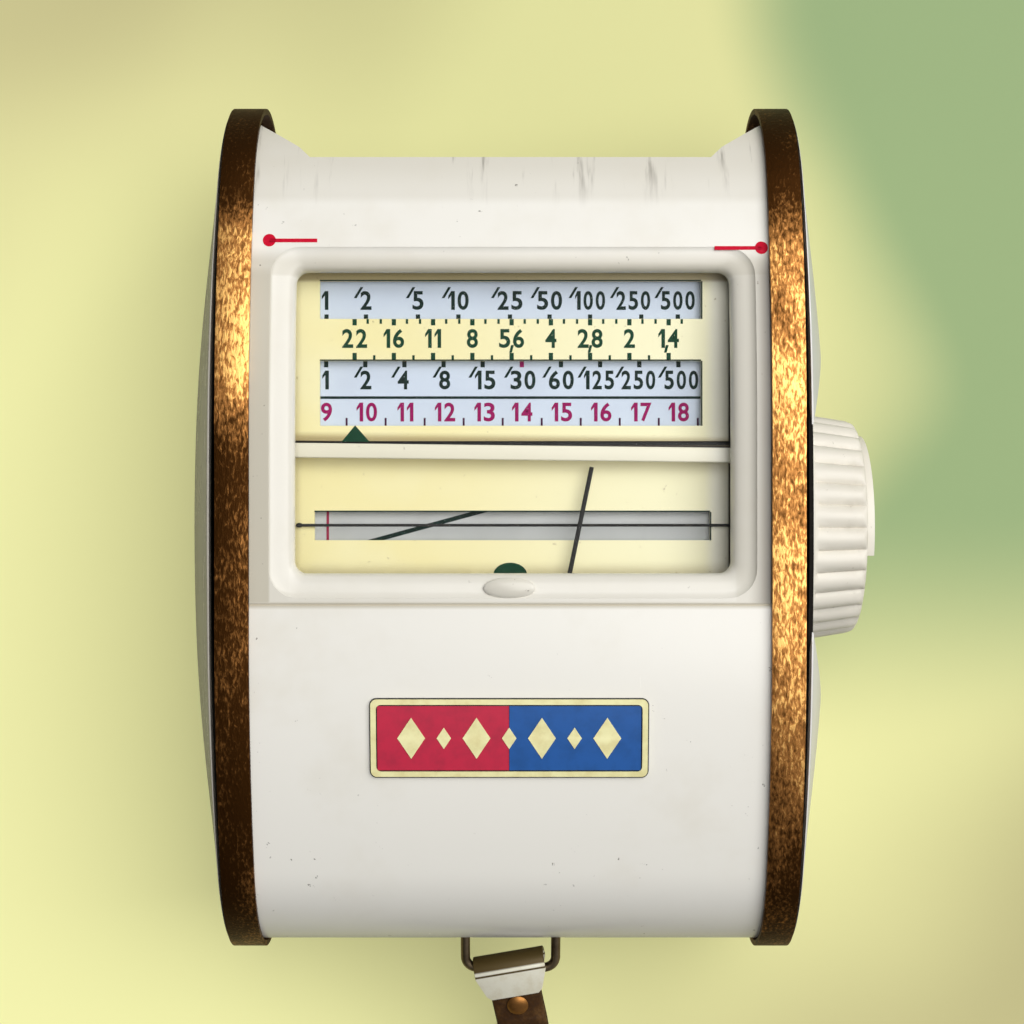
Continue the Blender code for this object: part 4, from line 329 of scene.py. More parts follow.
@dataclass(frozen=True)
class MouldedPlastic(Finish):
    """Glossy moulded plastic with faint stains, dirt specks and hair scratches.

    The plastic that has streaks is the housing's. It alone gets the smooth steps below, given
    in millimetres from the case's middle: painted shade round the window and on the top slope,
    a painted shadow of the right band, and a darker tone along the seam and over the boss.
    """

    # Painted shade round the window, on its flanks and below it, and on the top slope
    WINDOW_FOOT = Fade(-6.6, -6.0)
    WINDOW_HEAD = Fade(23.6, 20.8)
    LEFT_FLANK = Fade(-17.6, -18.4, 0.36)
    LEFT_STRIP = Fade(-19.75, -20.0, 0.46)
    RIGHT_FLANK = Fade(18.0, 18.8, 0.45)
    BELOW_WINDOW = Fade(-2.5, -3.7, 0.32)
    RIM_START = Fade(20.6, 21.2)
    RIM_END = Fade(23.6, 22.0, 0.6)
    SLOPE = Fade(28.0, 31.0, 0.18)
    SLOPE_START = Fade(27.0, 28.0, 0.28)
    # A darker tone along the seam and over the boss
    SEAM_Y = -6.3
    SEAM = Fade(0.45, 0.1, 0.7)
    BOSS_MIDDLE = (-0.1, -4.95)
    BOSS_SCALE = (0.47, 1.15)
    BOSS = Fade(1.5, 0.6, 0.5)
    # Painted shadow of the right band on the strip beside it, with some dirt
    BAND_EDGE = Fade(19.4, 21.7, 0.85)
    # Where the dirt specks and streaks gather
    BESIDE_BANDS = Fade(19.6, 20.6, 0.9)
    STREAKED = Fade(26.5, 31.0)

    colour: Colour = (0.85, 0.83, 0.77)
    stain: Colour = (0.74, 0.70, 0.60)
    dirt: Colour = (0.10, 0.08, 0.06)
    roughness: float = 0.24
    speck_level: float = 0.69
    # Painted shade round the window and on the top slope, and the darker seam and boss, in one
    # colour
    grime: Colour = (0.50, 0.46, 0.36)
    # Painted shadow of the right band, with some dirt
    edge_dirt: Colour = (0.11, 0.085, 0.055)
    streaks: float = 0.0

    def soiled(self, graph: Graph, colour: Socket) -> Socket:
        """Adds the housing's painted shade round the window, on its top slope and beside the
        bands, and a darker tone along the seam and over the boss.

        Args:
            graph: The material's nodes.
            colour: The plastic's colour so far.

        Returns:
            The colour with the painted shade and the darker tone on it.
        """
        x, y = graph.axis(0), graph.axis(1)
        beside = graph.times(graph.step(y, self.WINDOW_FOOT), graph.step(y, self.WINDOW_HEAD))
        left = graph.plus(graph.step(x, self.LEFT_FLANK), graph.step(x, self.LEFT_STRIP))
        reaches = [
            graph.sums("POWER", graph.times(graph.plus(place, -middle), scale), 2.0)
            for place, middle, scale in zip((x, y), self.BOSS_MIDDLE, self.BOSS_SCALE)
        ]
        amount = graph.most(
            graph.times(graph.step(y, self.RIM_START), graph.step(y, self.RIM_END)),
            graph.plus(graph.step(y, self.SLOPE), graph.step(y, self.SLOPE_START)),
            graph.times(left, beside),
            graph.times(graph.step(x, self.RIGHT_FLANK), beside),
            graph.times(graph.step(y, self.BELOW_WINDOW), beside),
            graph.step(graph.off(y, self.SEAM_Y), self.SEAM),
            graph.step(graph.plus(*reaches), self.BOSS),
        )
        # Painted shade, and the seam's and the boss's darker tone, mixed in one colour
        colour = graph.mix(amount, colour, self.grime)
        # Painted shadow of the right band on the strip beside it, with some dirt
        edge = graph.times(graph.step(x, self.BAND_EDGE), beside)
        return graph.mix(edge, colour, self.edge_dirt)

    def draw(self) -> Material:
        """Draws the plastic: broad stains, gathered specks and, on the housing, its painted shade
        and its darker seam and boss.
        """
        graph = Graph(self.name)
        cloud = graph.fade(graph.noise(0.09, 4, 0.6), 0.48, 0.78)
        colour = graph.mix(graph.times(cloud, 0.45), self.colour, self.stain)
        specks = graph.fade(graph.noise(1.5, 3, 0.6), self.speck_level, self.speck_level + 0.05)
        gather = graph.fade(graph.noise(0.16, 2), 0.50, 0.66)
        if self.streaks:
            beside = graph.step(graph.off(graph.axis(0), 0.0), self.BESIDE_BANDS)
            gather = graph.most(gather, beside)
            colour = self.soiled(graph, colour)
            lines = graph.fade(graph.noise(0.9, 4, 0.62, (1.0, 0.10, 0.10)), 0.55, 0.78)
            lines = graph.times(lines, graph.step(graph.axis(1), self.STREAKED), self.streaks)
            colour = graph.mix(lines, colour, self.dirt)
        colour = graph.mix(graph.times(specks, gather, 0.8), colour, self.dirt)
        scratch = graph.noise(2.2, 5, 0.7, (1.0, 0.08, 0.4))
        rough = graph.scaled(scratch, 0.16, self.roughness - 0.08)
        graph.bump(graph.noise(0.5, 3, 0.5), 0.12, 0.06 * MM)
        return graph.surface(base_color=colour, roughness=rough, ior=1.49)


@dataclass(frozen=True)
class FlutedIvory(Finish):
    """Aged ivory plastic, greyer where dirt has settled low in its flutes."""

    colour: Colour = (0.76, 0.72, 0.63)
    # The colour of the dirt low in the flutes
    grime: Colour = (0.42, 0.38, 0.30)
    clean_radius: float = 9.7
    dirty_radius: float = 8.9

    def draw(self) -> Material:
        """Draws the ivory, with dirt by how deep a point lies under the rim."""
        graph = Graph(self.name)
        across, up = graph.axis(1), graph.sums("SUBTRACT", graph.axis(2), 15.0)
        square = graph.plus(graph.sums("POWER", across, 2.0), graph.sums("POWER", up, 2.0))
        radius = graph.sums("SQRT", square)
        low = graph.fade(radius, self.clean_radius, self.dirty_radius)
        patch = graph.fade(graph.noise(0.5, 4, 0.6), 0.35, 0.75)
        amount = graph.times(graph.times(low, patch), 0.5)
        colour = graph.mix(amount, self.colour, self.grime)
        specks = graph.fade(graph.noise(2.0, 3, 0.6), 0.68, 0.73)
        colour = graph.mix(graph.times(specks, 0.5), colour, self.grime)
        graph.bump(graph.noise(1.2, 4, 0.6), 0.15, 0.05 * MM)
        return graph.surface(base_color=colour, roughness=0.38, ior=1.49)


@dataclass(frozen=True)
class PatinatedBrass(Finish):
    """Brass strip whose lacquer has worn through to a mottled, brown and gold patina."""

    gold: Colour = (0.92, 0.52, 0.16)
    orange: Colour = (0.46, 0.20, 0.055)
    brown: Colour = (0.048, 0.018, 0.004)
    # The stretch of Y, in millimetres, outside which painted shade darkens the strip
    bright_low: float = -22.0
    bright_high: float = 25.0
    level: float = 0.0
    # How far the painted shade darkens the ends
    end_drop: float = 0.45

    def draw(self) -> Material:
        """Draws the patina's streaky flecks along the strip, and painted shade that darkens its
        ends.
        """
        graph = Graph(self.name)
        flecks = graph.noise(4.2, 4, 0.62, (1.0, 0.34, 1.0), 0.4)
        clouds = graph.noise(0.14, 4, 0.62, (1.4, 0.8, 1.0))
        height = graph.axis(1)
        # Painted shade: the strip darkens towards both ends
        top = graph.fade(height, self.bright_high - 3.5, self.bright_high + 3.5)
        bottom = graph.fade(height, self.bright_low + 6.0, self.bright_low - 8.0)
        ends = graph.most(top, graph.times(bottom, 0.75))
        tone = graph.plus(flecks, graph.times(clouds, 0.75))
        tone = graph.sums("SUBTRACT", tone, graph.times(ends, self.end_drop))
        tone = graph.sums("SUBTRACT", tone, self.level)
        colour = graph.ramp(
            graph.fade(tone, 0.42, 1.22),
            [(0.0, self.brown), (0.42, self.orange), (0.62, self.gold), (1.0, self.gold)],
        )
        rough = graph.fade(tone, 1.6, 0.2)
        rough = graph.scaled(rough, 0.35, 0.22)
        graph.bump(flecks, 0.5, 0.10 * MM)
        return graph.surface(base_color=colour, metallic=1.0, roughness=rough)


@dataclass(frozen=True)
class PlainMetal(Finish):
    """Machined or stamped metal with fine marks and light tarnish."""

    # Painted shade over the fold and along its crease, in millimetres
    FOLD = Fade(0.55, 0.75)
    GROOVE_Y = 0.25
    GROOVE = Fade(0.14, 0.05)

    colour: Colour = (0.78, 0.60, 0.30)
    tarnish: Colour = (0.40, 0.26, 0.10)
    roughness: float = 0.30
    amount: float = 0.5
    marks: Point3 = (1, 1, 1)
    metallic: float = 1.0
    # The colour of the painted shade over a fold, if the metal has one
    fold: Colour | None = None

    def draw(self) -> Material:
        """Draws the metal, with painted shade over a fold and along its crease where it has them.
        """
        graph = Graph(self.name)
        cloud = graph.fade(graph.noise(0.55, 5, 0.62), 0.40, 0.72)
        colour = graph.mix(graph.times(cloud, self.amount), self.colour, self.tarnish)
        if self.fold:
            # Painted shade over the fold and along its crease
            y = graph.axis(1)
            groove = graph.step(graph.off(y, self.GROOVE_Y), self.GROOVE)
            dark = graph.most(graph.step(y, self.FOLD), groove)
            colour = graph.mix(dark, colour, self.fold)
        marks = graph.noise(5.0, 4, 0.6, self.marks)
        rough = graph.scaled(marks, 0.25, self.roughness - 0.1)
        graph.bump(marks, 0.12, 0.03 * MM)
        return graph.surface(base_color=colour, metallic=self.metallic, roughness=rough)


@dataclass(frozen=True)
class DialEnamel(Finish):
    """Cream enamel on a dial plate, with gilt showing and dirt at its edges, painted shadow along
    its upper edge and by the crossbar, and painted light towards its right end.
    """

    # Painted light: paler towards the right, and whiter at the right end
    PALER = Fade(-14.0, 17.0, 0.75)
    WHITE_END = Fade(16.2, 17.6, 0.8)
    WORN_LEFT = Fade(-17.5, -18.5)
    WORN_FOOT = Fade(-2.6, -4.3)
    # Painted shadow above and below the crossbar, which lies on a slight slant, and along the
    # plates' upper edge
    BAR_SLOPE = 0.0115
    BAR_SHADE = Fade(8.1, 7.35)
    BAR_TOP = Fade(6.3, 6.5)
    OVER_BAR = 0.85
    UNDER_BAR = Fade(4.3, 5.8, 0.25)
    GILT_TOP = Fade(20.7, 21.1, 0.8)
    # Dark lines along the crossbar's top and the plate's right edge
    BLACK_LINE = Fade(7.24, 7.14)
    RIGHT_EDGE = Fade(18.35, 18.55)

    colour: Colour = (0.94, 0.85, 0.43)
    # The colour of the worn gilt and the specks, and of the painted shadow
    gilt: Colour = (0.36, 0.27, 0.11)
    # The colours of the painted light towards the right
    pale: Colour = (1.0, 0.98, 0.70)
    white: Colour = (0.98, 0.96, 0.84)
    line: Colour = (0.03, 0.018, 0.008)
    shift: Point2 = (0.0, 0.0)

    def shaded(
        self,
        graph: Graph,
        colour: Socket,
        x: Socket,
        y: Socket,
    ) -> Socket:
        """Adds painted shadow along the plates' upper edge and above and below the crossbar, and
        dark lines along the crossbar's top and the plate's right edge.

        Args:
            graph: The material's nodes.
            colour: The enamel's colour so far.
            x: The point's X from the case's middle.
            y: Its Y.

        Returns:
            The colour with the painted shadow and the lines on it.
        """
        line = graph.plus(y, graph.times(x, self.BAR_SLOPE))
        shade, top = graph.step(line, self.BAR_SHADE), graph.step(line, self.BAR_TOP)
        # Painted shadow along the upper edge and round the crossbar
        amount = graph.most(
            graph.step(y, self.GILT_TOP),
            graph.times(shade, top, self.OVER_BAR),
            graph.times(shade, graph.step(line, self.UNDER_BAR)),
        )
        colour = graph.mix(amount, colour, self.gilt)
        thin = graph.times(graph.step(line, self.BLACK_LINE), top)
        return graph.mix(graph.most(thin, graph.step(x, self.RIGHT_EDGE)), colour, self.line)

    def draw(self) -> Material:
        """Draws the enamel, soiled at the window's edges, with painted light that pales it towards
        the right.

        A finish with a shift is for CAD nodes, whose own coordinates lie in the row frame.
        """
        graph = Graph(self.name)
        x, y = (graph.plus(graph.axis(i), self.shift[i]) for i in (0, 1))
        cloud = graph.fade(graph.noise(0.12, 2), 0.35, 0.70)
        # Painted light towards the right end, over random paler clouds
        pale = graph.most(graph.step(x, self.PALER), graph.times(cloud, 0.3))
        colour = graph.mix(pale, self.colour, self.pale)
        colour = graph.mix(graph.step(x, self.WHITE_END), colour, self.white)
        wander = graph.fade(graph.noise(0.5, 3, 0.5), 0.05, 0.55)
        worn = graph.most(graph.step(x, self.WORN_LEFT), graph.step(y, self.WORN_FOOT))
        colour = graph.mix(graph.times(worn, wander, 0.5), colour, self.gilt)
        if self.shift[0]:
            colour = self.shaded(graph, colour, x, y)
        specks = graph.fade(graph.noise(2.4, 3, 0.6), 0.70, 0.74)
        colour = graph.mix(graph.times(specks, 0.55), colour, self.gilt)
        graph.bump(graph.noise(3.0, 4, 0.6), 0.10, 0.02 * MM)
        return graph.surface(base_color=colour, roughness=0.42, ior=1.45)


@dataclass(frozen=True)
class Mottled(Finish):
    """A plain finish of two colours that are mixed by soft clouds, with a fine grain.

    The clouds and the grain are given as the scale, detail and roughness of their noise.
    """

    colour: Colour
    second: Colour
    clouds: Point3 = (0.7, 4, 0.6)
    cloud_span: Point2 = (0.35, 0.75)
    share: float = 0.6
    grain: Point3 = (2.5, 3, 0.5)
    grain_strength: float = 0.08
    grain_depth: float = 0.03 * MM
    roughness: float = 0.3
    gloss: float = 0.5
    ior: float = 1.5

    def draw(self) -> Material:
        """Draws the two colours, the grain and the gloss."""
        graph = Graph(self.name)
        cloud = graph.fade(graph.noise(*self.clouds), *self.cloud_span)
        colour = graph.mix(graph.times(cloud, self.share), self.colour, self.second)
        if self.grain_strength:
            graph.bump(graph.noise(*self.grain), self.grain_strength, self.grain_depth)
        return graph.surface(
            base_color=colour,
            roughness=self.roughness,
            ior=self.ior,
            specular_ior_level=self.gloss,
        )


@dataclass(frozen=True)
class BadgeEnamel(Mottled):
    """Glossy enamel in a stamped badge."""

    colour: Colour = (0.55, 0.02, 0.06)
    second: Colour = (0.36, 0.02, 0.05)


@dataclass(frozen=True)
class PrintedStrip(Mottled):
    """Pale printed stock for the sliding scale and the drum."""

    clouds: Point3 = (0.25, 4, 0.55)
    share: float = 0.5
    grain: Point3 = (4.0, 3, 0.5)
    grain_strength: float = 0.06
    grain_depth: float = 0.02 * MM
    roughness: float = 0.5
    ior: float = 1.45


@dataclass(frozen=True)
class Ink(Mottled):
    """Printing ink with small gaps in its coverage."""

    clouds: Point3 = (3.0, 4, 0.6)
    cloud_span: Point2 = (0.50, 0.75)
    grain_strength: float = 0.0
    roughness: float = 0.5
    gloss: float = 0.06
    ior: float = 1.45


@dataclass(frozen=True)
class DarkCoat(Mottled):
    """Matt or satin dark material with a little dust: black plastic, enamel or the cell."""

    colour: Colour = (0.012, 0.011, 0.010)
    second: Colour = (0.09, 0.08, 0.065)
    clouds: Point3 = (1.1, 5, 0.65)
    cloud_span: Point2 = (0.50, 0.80)
    grain: Point3 = (3.5, 4, 0.6)
    grain_strength: float = 0.15
    roughness: float = 0.5


@dataclass(frozen=True)
class ClearPlastic(Finish):
    """Clear plastic that lets the light through to what lies behind it."""

    tint: Colour = (0.30, 0.31, 0.29)
    clearness: float = 0.018
    roughness: float = 0.06

    def draw(self) -> Material:
        """Draws the plastic as a thin veil with a gloss."""
        graph = Graph(self.name)
        haze = graph.fade(graph.noise(0.7, 5, 0.65, (1.0, 0.3, 1.0)), 0.45, 0.80)
        rough = graph.scaled(haze, 0.18, self.roughness)
        colour = graph.mix(graph.times(haze, 0.4), self.tint, (0.80, 0.80, 0.74))
        return graph.surface(base_color=colour, roughness=rough, alpha=self.clearness, ior=1.49)


@dataclass(frozen=True)
class LensPlastic(Finish):
    """Clear moulded lenses that bend the light on to the cell."""

    tint: Colour = (0.90, 0.93, 0.90)

    def draw(self) -> Material:
        """Draws the lenses as a glossy skin that shows the dark cell behind."""
        graph = Graph(self.name)
        haze = graph.fade(graph.noise(0.9, 4, 0.6), 0.40, 0.80)
        rough = graph.scaled(haze, 0.10, 0.05)
        colour = graph.mix(haze, self.tint, (0.75, 0.76, 0.70))
        return graph.surface(base_color=colour, roughness=rough, alpha=0.42, ior=1.49)


@dataclass(frozen=True)
class WornLeather(Finish):
    """Dark brown strap leather with a fine grain, worn paler along its edges."""

    colour: Colour = (0.050, 0.021, 0.006)
    worn: Colour = (0.135, 0.066, 0.020)

    def draw(self) -> Material:
        """Draws the leather: a cell grain under soft colour clouds."""
        graph = Graph(self.name)
        feeds = {"Vector": graph.place, "Scale": 3.2}
        cells = graph.node("TexVoronoi", feeds, feature="F1").outputs["Distance"]
        cloud = graph.fade(graph.noise(0.35, 5, 0.65), 0.42, 0.75)
        colour = graph.mix(graph.times(cloud, 0.75), self.colour, self.worn)
        creases = graph.fade(cells, 0.35, 0.75)
        colour = graph.mix(graph.times(creases, 0.35), colour, (0.03, 0.015, 0.008))
        rough = graph.scaled(cells, 0.25, 0.42)
        graph.bump(cells, 0.4, 0.08 * MM)
        return graph.surface(
            base_color=colour, roughness=rough, ior=1.45, specular_ior_level=0.2
        )


WHITE = MouldedPlastic("white_housing_plastic", streaks=0.8)
COVER_WHITE = MouldedPlastic(
    "side_cover_plastic", (0.70, 0.69, 0.67), (0.58, 0.55, 0.50), roughness=0.2
)
# The left cover's copy of the cover plastic, darker all over: painted shade on the side away from
# the lamp
COVER_SHADE = MouldedPlastic(
    "side_cover_soiled", (0.50, 0.47, 0.41), (0.38, 0.34, 0.28), roughness=0.26
)
BLIND_WHITE = MouldedPlastic("roller_blind_plastic", (0.74, 0.72, 0.66), (0.58, 0.53, 0.43))
SEAM_GREY = MouldedPlastic("seam_soiled", (0.58, 0.53, 0.42), (0.46, 0.40, 0.30), roughness=0.5)
INNER_WHITE = MouldedPlastic("track_cheek_plastic", (0.76, 0.75, 0.71), (0.60, 0.56, 0.48))
IVORY = FlutedIvory("knob_ivory")
DISC_IVORY = FlutedIvory("film_disc_ivory", clean_radius=3.0, dirty_radius=1.0)
BAND_BRASS = {
    # The left band's bright stretch is short, so painted shade darkens most of its lower length
    Side.LEFT: PatinatedBrass("band_patina_left", bright_low=11.0, bright_high=26.0, level=0.07),
    Side.RIGHT: PatinatedBrass("band_patina_right", level=0.09, end_drop=0.35),
}
BRASS = PlainMetal("turned_brass")
STAMPED_BRASS = PlainMetal("stamped_brass", (0.72, 0.56, 0.30), (0.36, 0.24, 0.10), amount=0.7)
CLIP_BRASS = PlainMetal(
    "clip_brass",
    (0.96, 0.93, 0.78),
    (0.74, 0.66, 0.46),
    roughness=0.5,
    metallic=0.3,
    # painted shade over the clip's fold and along its crease
    fold=(0.10, 0.065, 0.015),
)
RIVET_BRASS = PlainMetal("rivet_brass", (0.40, 0.18, 0.05), (0.06, 0.03, 0.012), roughness=0.42)
BRONZE = PlainMetal("ring_bronze", (0.24, 0.18, 0.11), (0.07, 0.045, 0.025), roughness=0.38)
STEEL = PlainMetal("bright_steel", (0.60, 0.60, 0.61), (0.38, 0.37, 0.35), amount=0.4)
SOFT_IRON = PlainMetal("soft_iron", (0.36, 0.36, 0.37), (0.22, 0.20, 0.18), roughness=0.5)
MAGNET = PlainMetal("magnet_alloy", (0.26, 0.26, 0.28), (0.16, 0.15, 0.15), roughness=0.55)
COPPER = PlainMetal(
    "enamelled_copper",
    (0.60, 0.24, 0.09),
    (0.30, 0.10, 0.04),
    roughness=0.4,
    marks=(0.2, 0.2, 3.0),
)
CREAM = DialEnamel("dial_cream", shift=(1.65, -1.558))
BAR_CREAM = DialEnamel(
    "crossbar_cream", (0.87, 0.83, 0.66), (0.40, 0.36, 0.26), (0.87, 0.84, 0.68)
)
STRIP_BLUE = PrintedStrip("scale_strip_blue", (0.64, 0.73, 0.87), (0.56, 0.63, 0.76))
DRUM_GREY = PrintedStrip("drum_grey", (0.55, 0.57, 0.58), (0.44, 0.46, 0.46))
BLACK_GREEN = Ink("ink_black_green", (0.006, 0.020, 0.016), (0.02, 0.06, 0.05))
GREEN_INK = Ink("ink_green", (0.006, 0.050, 0.024), (0.02, 0.10, 0.055))
MAGENTA_INK = Ink("ink_magenta", (0.30, 0.004, 0.10), (0.42, 0.03, 0.18))
PURPLE_INK = Ink("ink_purple", (0.05, 0.006, 0.04), (0.10, 0.03, 0.08))
RED_INK = Ink("ink_red", (0.58, 0.006, 0.030), (0.66, 0.04, 0.08))
PALE_RED_INK = Ink("ink_pale_red", (0.32, 0.025, 0.07), (0.38, 0.08, 0.12))
BLACK_PLASTIC = DarkCoat("black_plastic")
LINER_BLACK = DarkCoat(
    "liner_black",
    (0.006, 0.005, 0.004),
    (0.03, 0.026, 0.02),
    roughness=0.7,
    gloss=0.12,
)
PRINT_BLACK = DarkCoat("wire_black", (0.02, 0.02, 0.02), roughness=0.6, gloss=0.15)
BLACK_ENAMEL = DarkCoat("black_enamel", roughness=0.4)
BLACK_RUBBER = DarkCoat("lead_black", roughness=0.6)
RED_RUBBER = DarkCoat("lead_red", (0.40, 0.02, 0.02), (0.5, 0.10, 0.08))
SELENIUM = DarkCoat("selenium_face", (0.05, 0.04, 0.045), (0.12, 0.09, 0.10), roughness=0.3)
CLEAR = ClearPlastic("window_clear")
LENSES = LensPlastic("lens_clear")
BADGE_RED = BadgeEnamel("badge_red")
BADGE_BLUE = BadgeEnamel("badge_blue", (0.015, 0.10, 0.36), (0.01, 0.07, 0.24))
BADGE_CREAM = BadgeEnamel("badge_cream", (0.88, 0.84, 0.46), (0.66, 0.56, 0.24))
LEATHER = WornLeather("strap_leather")


@dataclass(frozen=True)
class CaseShape:
    """The case's side view, shared by every piece that follows it."""

    length: float = 74.2 * MM
    depth: float = 30.0 * MM
    flat: float = 16.0 * MM
    end_radius: float = 12.0 * MM
    end_steps: int = 26
    crown_steps: int = 14

    @property
    def end_y(self) -> float:
        """How far the middle of each round end lies from the case's middle."""
        return self.length / 2 - self.end_radius

    @property
    def crown_angle(self) -> float:
        """The slope at which the crown meets the round end."""
        run = self.length / 2 - self.flat / 2 - self.end_radius
        return 2 * atan2(self.depth / 2 - self.end_radius, run)

    @property
    def crown_radius(self) -> float:
        """The radius of the gentle curve beside the flat."""
        run = self.length / 2 - self.flat / 2 - self.end_radius
        return self.end_radius + run / sin(self.crown_angle)

    def outline(self, inset: float) -> list[Point2]:
        """The whole side view.

        Args:
            inset: How far it is drawn in.

        Returns:
            Its points as Y and Z.
        """
        turn = pi / 2 - self.crown_angle
        end = arc((self.end_y, 0), self.end_radius - inset, 0, turn, self.end_steps)
        centre = (self.flat / 2, self.depth / 2 - self.crown_radius)
        crown = arc(centre, self.crown_radius - inset, turn, pi / 2, self.crown_steps)
        quarter = end + crown[1:]
        above = quarter + [(-y, z) for y, z in reversed(quarter)]
        below = [(-y, -z) for y, z in quarter[1:]] + [(y, -z) for y, z in reversed(quarter[1:])]
        return [(y, z + self.depth / 2) for y, z in above + below]

    def front(self, y: float, inset: float = 0.0) -> float:
        """Height of the case's front at y, drawn in by inset."""
        end_start = self.end_y + (self.end_radius - inset) * sin(self.crown_angle)
        if abs(y) > end_start:
            reach = min(abs(y) - self.end_y, self.end_radius - inset)
            return self.depth / 2 + sqrt((self.end_radius - inset) ** 2 - reach**2)
        beyond = max(0.0, abs(y) - self.flat / 2)
        radius = self.crown_radius - inset
        return self.depth - self.crown_radius + sqrt(radius**2 - beyond**2)


SHAPE = CaseShape()
BAND_STAND = 0.7 * MM


def arc(centre: Point2, radius: float, start: float, end: float, steps: int) -> list[Point2]:
    """Points of an arc, both ends included.

    Args:
        centre: The arc's centre.
        radius: Its radius.
        start: The angle that it starts at, in radians.
        end: The angle that it ends at, in radians.
        steps: How many straight pieces it has.

    Returns:
        Its points.
    """
    turns = [start + (end - start) * i / steps for i in range(steps + 1)]
    return [(centre[0] + radius * cos(t), centre[1] + radius * sin(t)) for t in turns]


def shifted(points: Iterable[Point2], x: float, y: float) -> list[Point2]:
    """Points given in millimetres, moved by x and y in metres."""
    return [(x + a * MM, y + b * MM) for a, b in points]


def rectangle(width: float, height: float, centre: Point2 = (0.0, 0.0)) -> list[Point2]:
    """Corners of a rectangle."""
    x, y = centre
    a, b = width / 2, height / 2
    return [(x - a, y - b), (x + a, y - b), (x + a, y + b), (x - a, y + b)]


def round_rectangle(
    width: float,
    height: float,
    radius: float,
    centre: Point2 = (0.0, 0.0),
    corner_steps: int = 8,
    side_steps: int = 1,
) -> list[Point2]:
    """Outline of a rectangle with round corners.

    Args:
        width: Its full width.
        height: Its full height.
        radius: The corners' radius.
        centre: Its centre.
        corner_steps: Straight pieces in each corner.
        side_steps: Straight pieces in each side.

    Returns:
        Its points, counted so that outlines made with the same steps match point for point.
    """
    points: list[Point2] = []
    signs = ((1, 1), (-1, 1), (-1, -1), (1, -1))
    for turn, (sx, sy) in enumerate(signs):
        corner = (centre[0] + sx * (width / 2 - radius), centre[1] + sy * (height / 2 - radius))
        start = turn * pi / 2
        bend = arc(corner, radius, start, start + pi / 2, corner_steps)
        if points:
            points += between(points[-1], bend[0], side_steps)
        points += bend
    return points + between(points[-1], points[0], side_steps)


def between(start: Point2, end: Point2, steps: int) -> list[Point2]:
    """The points that divide a straight line into steps, without its ends."""
    return [
        (start[0] + (end[0] - start[0]) * i / steps, start[1] + (end[1] - start[1]) * i / steps)
        for i in range(1, steps)
    ]


def circle(radius: float, centre: Point2 = (0.0, 0.0), steps: int = 48) -> list[Point2]:
    """Points of a circle."""
    return arc(centre, radius, 0, 2 * pi, steps)[:-1]


def smooth_route(points: Sequence[Sequence[float]], count: int) -> list[Vector]:
    """Evenly many points of a smooth curve through the given ones.

    Args:
        points: The points that the curve passes through.
        count: How many points to return.

    Returns:
        Points of the curve, both ends included.
    """
    given = [Vector(point) for point in points]
    ends = [2 * given[0] - given[1], *given, 2 * given[-1] - given[-2]]
    route = []
    for i in range(count):
        place = (len(given) - 1) * i / (count - 1)
        k = min(int(place), len(given) - 2)
        t = place - k
        a, b, c, d = ends[k : k + 4]
        curve = 2 * b + (c - a) * t + (2 * a - 5 * b + 4 * c - d) * t * t
        route.append((curve + (3 * b - a - 3 * c + d) * t**3) / 2)
    return route


def placed(name: str, data: bpy.types.ID) -> bpy.types.Object:
    """A new object that is linked to the scene."""
    made = bpy.data.objects.new(name, data)
    bpy.context.scene.collection.objects.link(made)
    return made


def mesh_of(bm: bmesh.types.BMesh, name: str) -> Mesh:
    """The finished mesh of a bmesh, with its faces turned outwards."""
    bmesh.ops.recalc_face_normals(bm, faces=bm.faces)
    mesh = bpy.data.meshes.new(name)
    bm.to_mesh(mesh)
    bm.free()
    return mesh


def skinned(bm: bmesh.types.BMesh, loops: Sequence[Loop]) -> list[list[bmesh.types.BMVert]]:
    """Lays faces between neighbouring loops of equally many points, and closes the first."""
    rows = [[bm.verts.new(point) for point in loop] for loop in loops]
    count = len(rows[0])
    for row, above in zip(rows, rows[1:]):
        for i in range(count):
            j = (i + 1) % count
            bm.faces.new((row[i], row[j], above[j], above[i]))
    bm.faces.new(rows[0])
    return rows


def loft(loops: Sequence[Loop]) -> Mesh:
    """A skin over loops of equally many points, closed by a face at each end."""
    bm = bmesh.new()
    bm.faces.new(skinned(bm, loops)[-1])
    return mesh_of(bm, "loft")


def bridged(loops: Sequence[Loop]) -> Mesh:
    """A skin over loops, closed at its foot and bridged straight across its crown."""
    bm = bmesh.new()
    crown = skinned(bm, loops)[-1]
    count = len(crown)
    for i in range(count // 2):
        corners = dict.fromkeys((crown[i], crown[i + 1], crown[count - i - 1], crown[-i]))
        bm.faces.new(list(corners))
    return mesh_of(bm, "bridged")


def lathe(profile: Sequence[Point2], steps: int = 64) -> Mesh:
    """A turned shape about Z.

    Args:
        profile: Radius and height of each point, closed by the axis or by itself.
        steps: Facets round the axis.

    Returns:
        The closed mesh.
    """
    bm = bmesh.new()
    rings: list[list[bmesh.types.BMVert]] = []
    for radius, height in profile:
        if radius <= 0:
            rings.append([bm.verts.new((0, 0, height))] * steps)
            continue
        ring = circle(radius, steps=steps)
        rings.append([bm.verts.new((x, y, height)) for x, y in ring])
    hollow = min(profile[0][0], profile[-1][0]) > 0
    pairs = list(zip(rings, rings[1:])) + ([(rings[-1], rings[0])] if hollow else [])
    for one, other in pairs:
        for i in range(steps):
            j = (i + 1) % steps
            corners = dict.fromkeys((one[i], one[j], other[j], other[i]))
            if len(corners) > 2:
                bm.faces.new(list(corners))
    return mesh_of(bm, "turned")


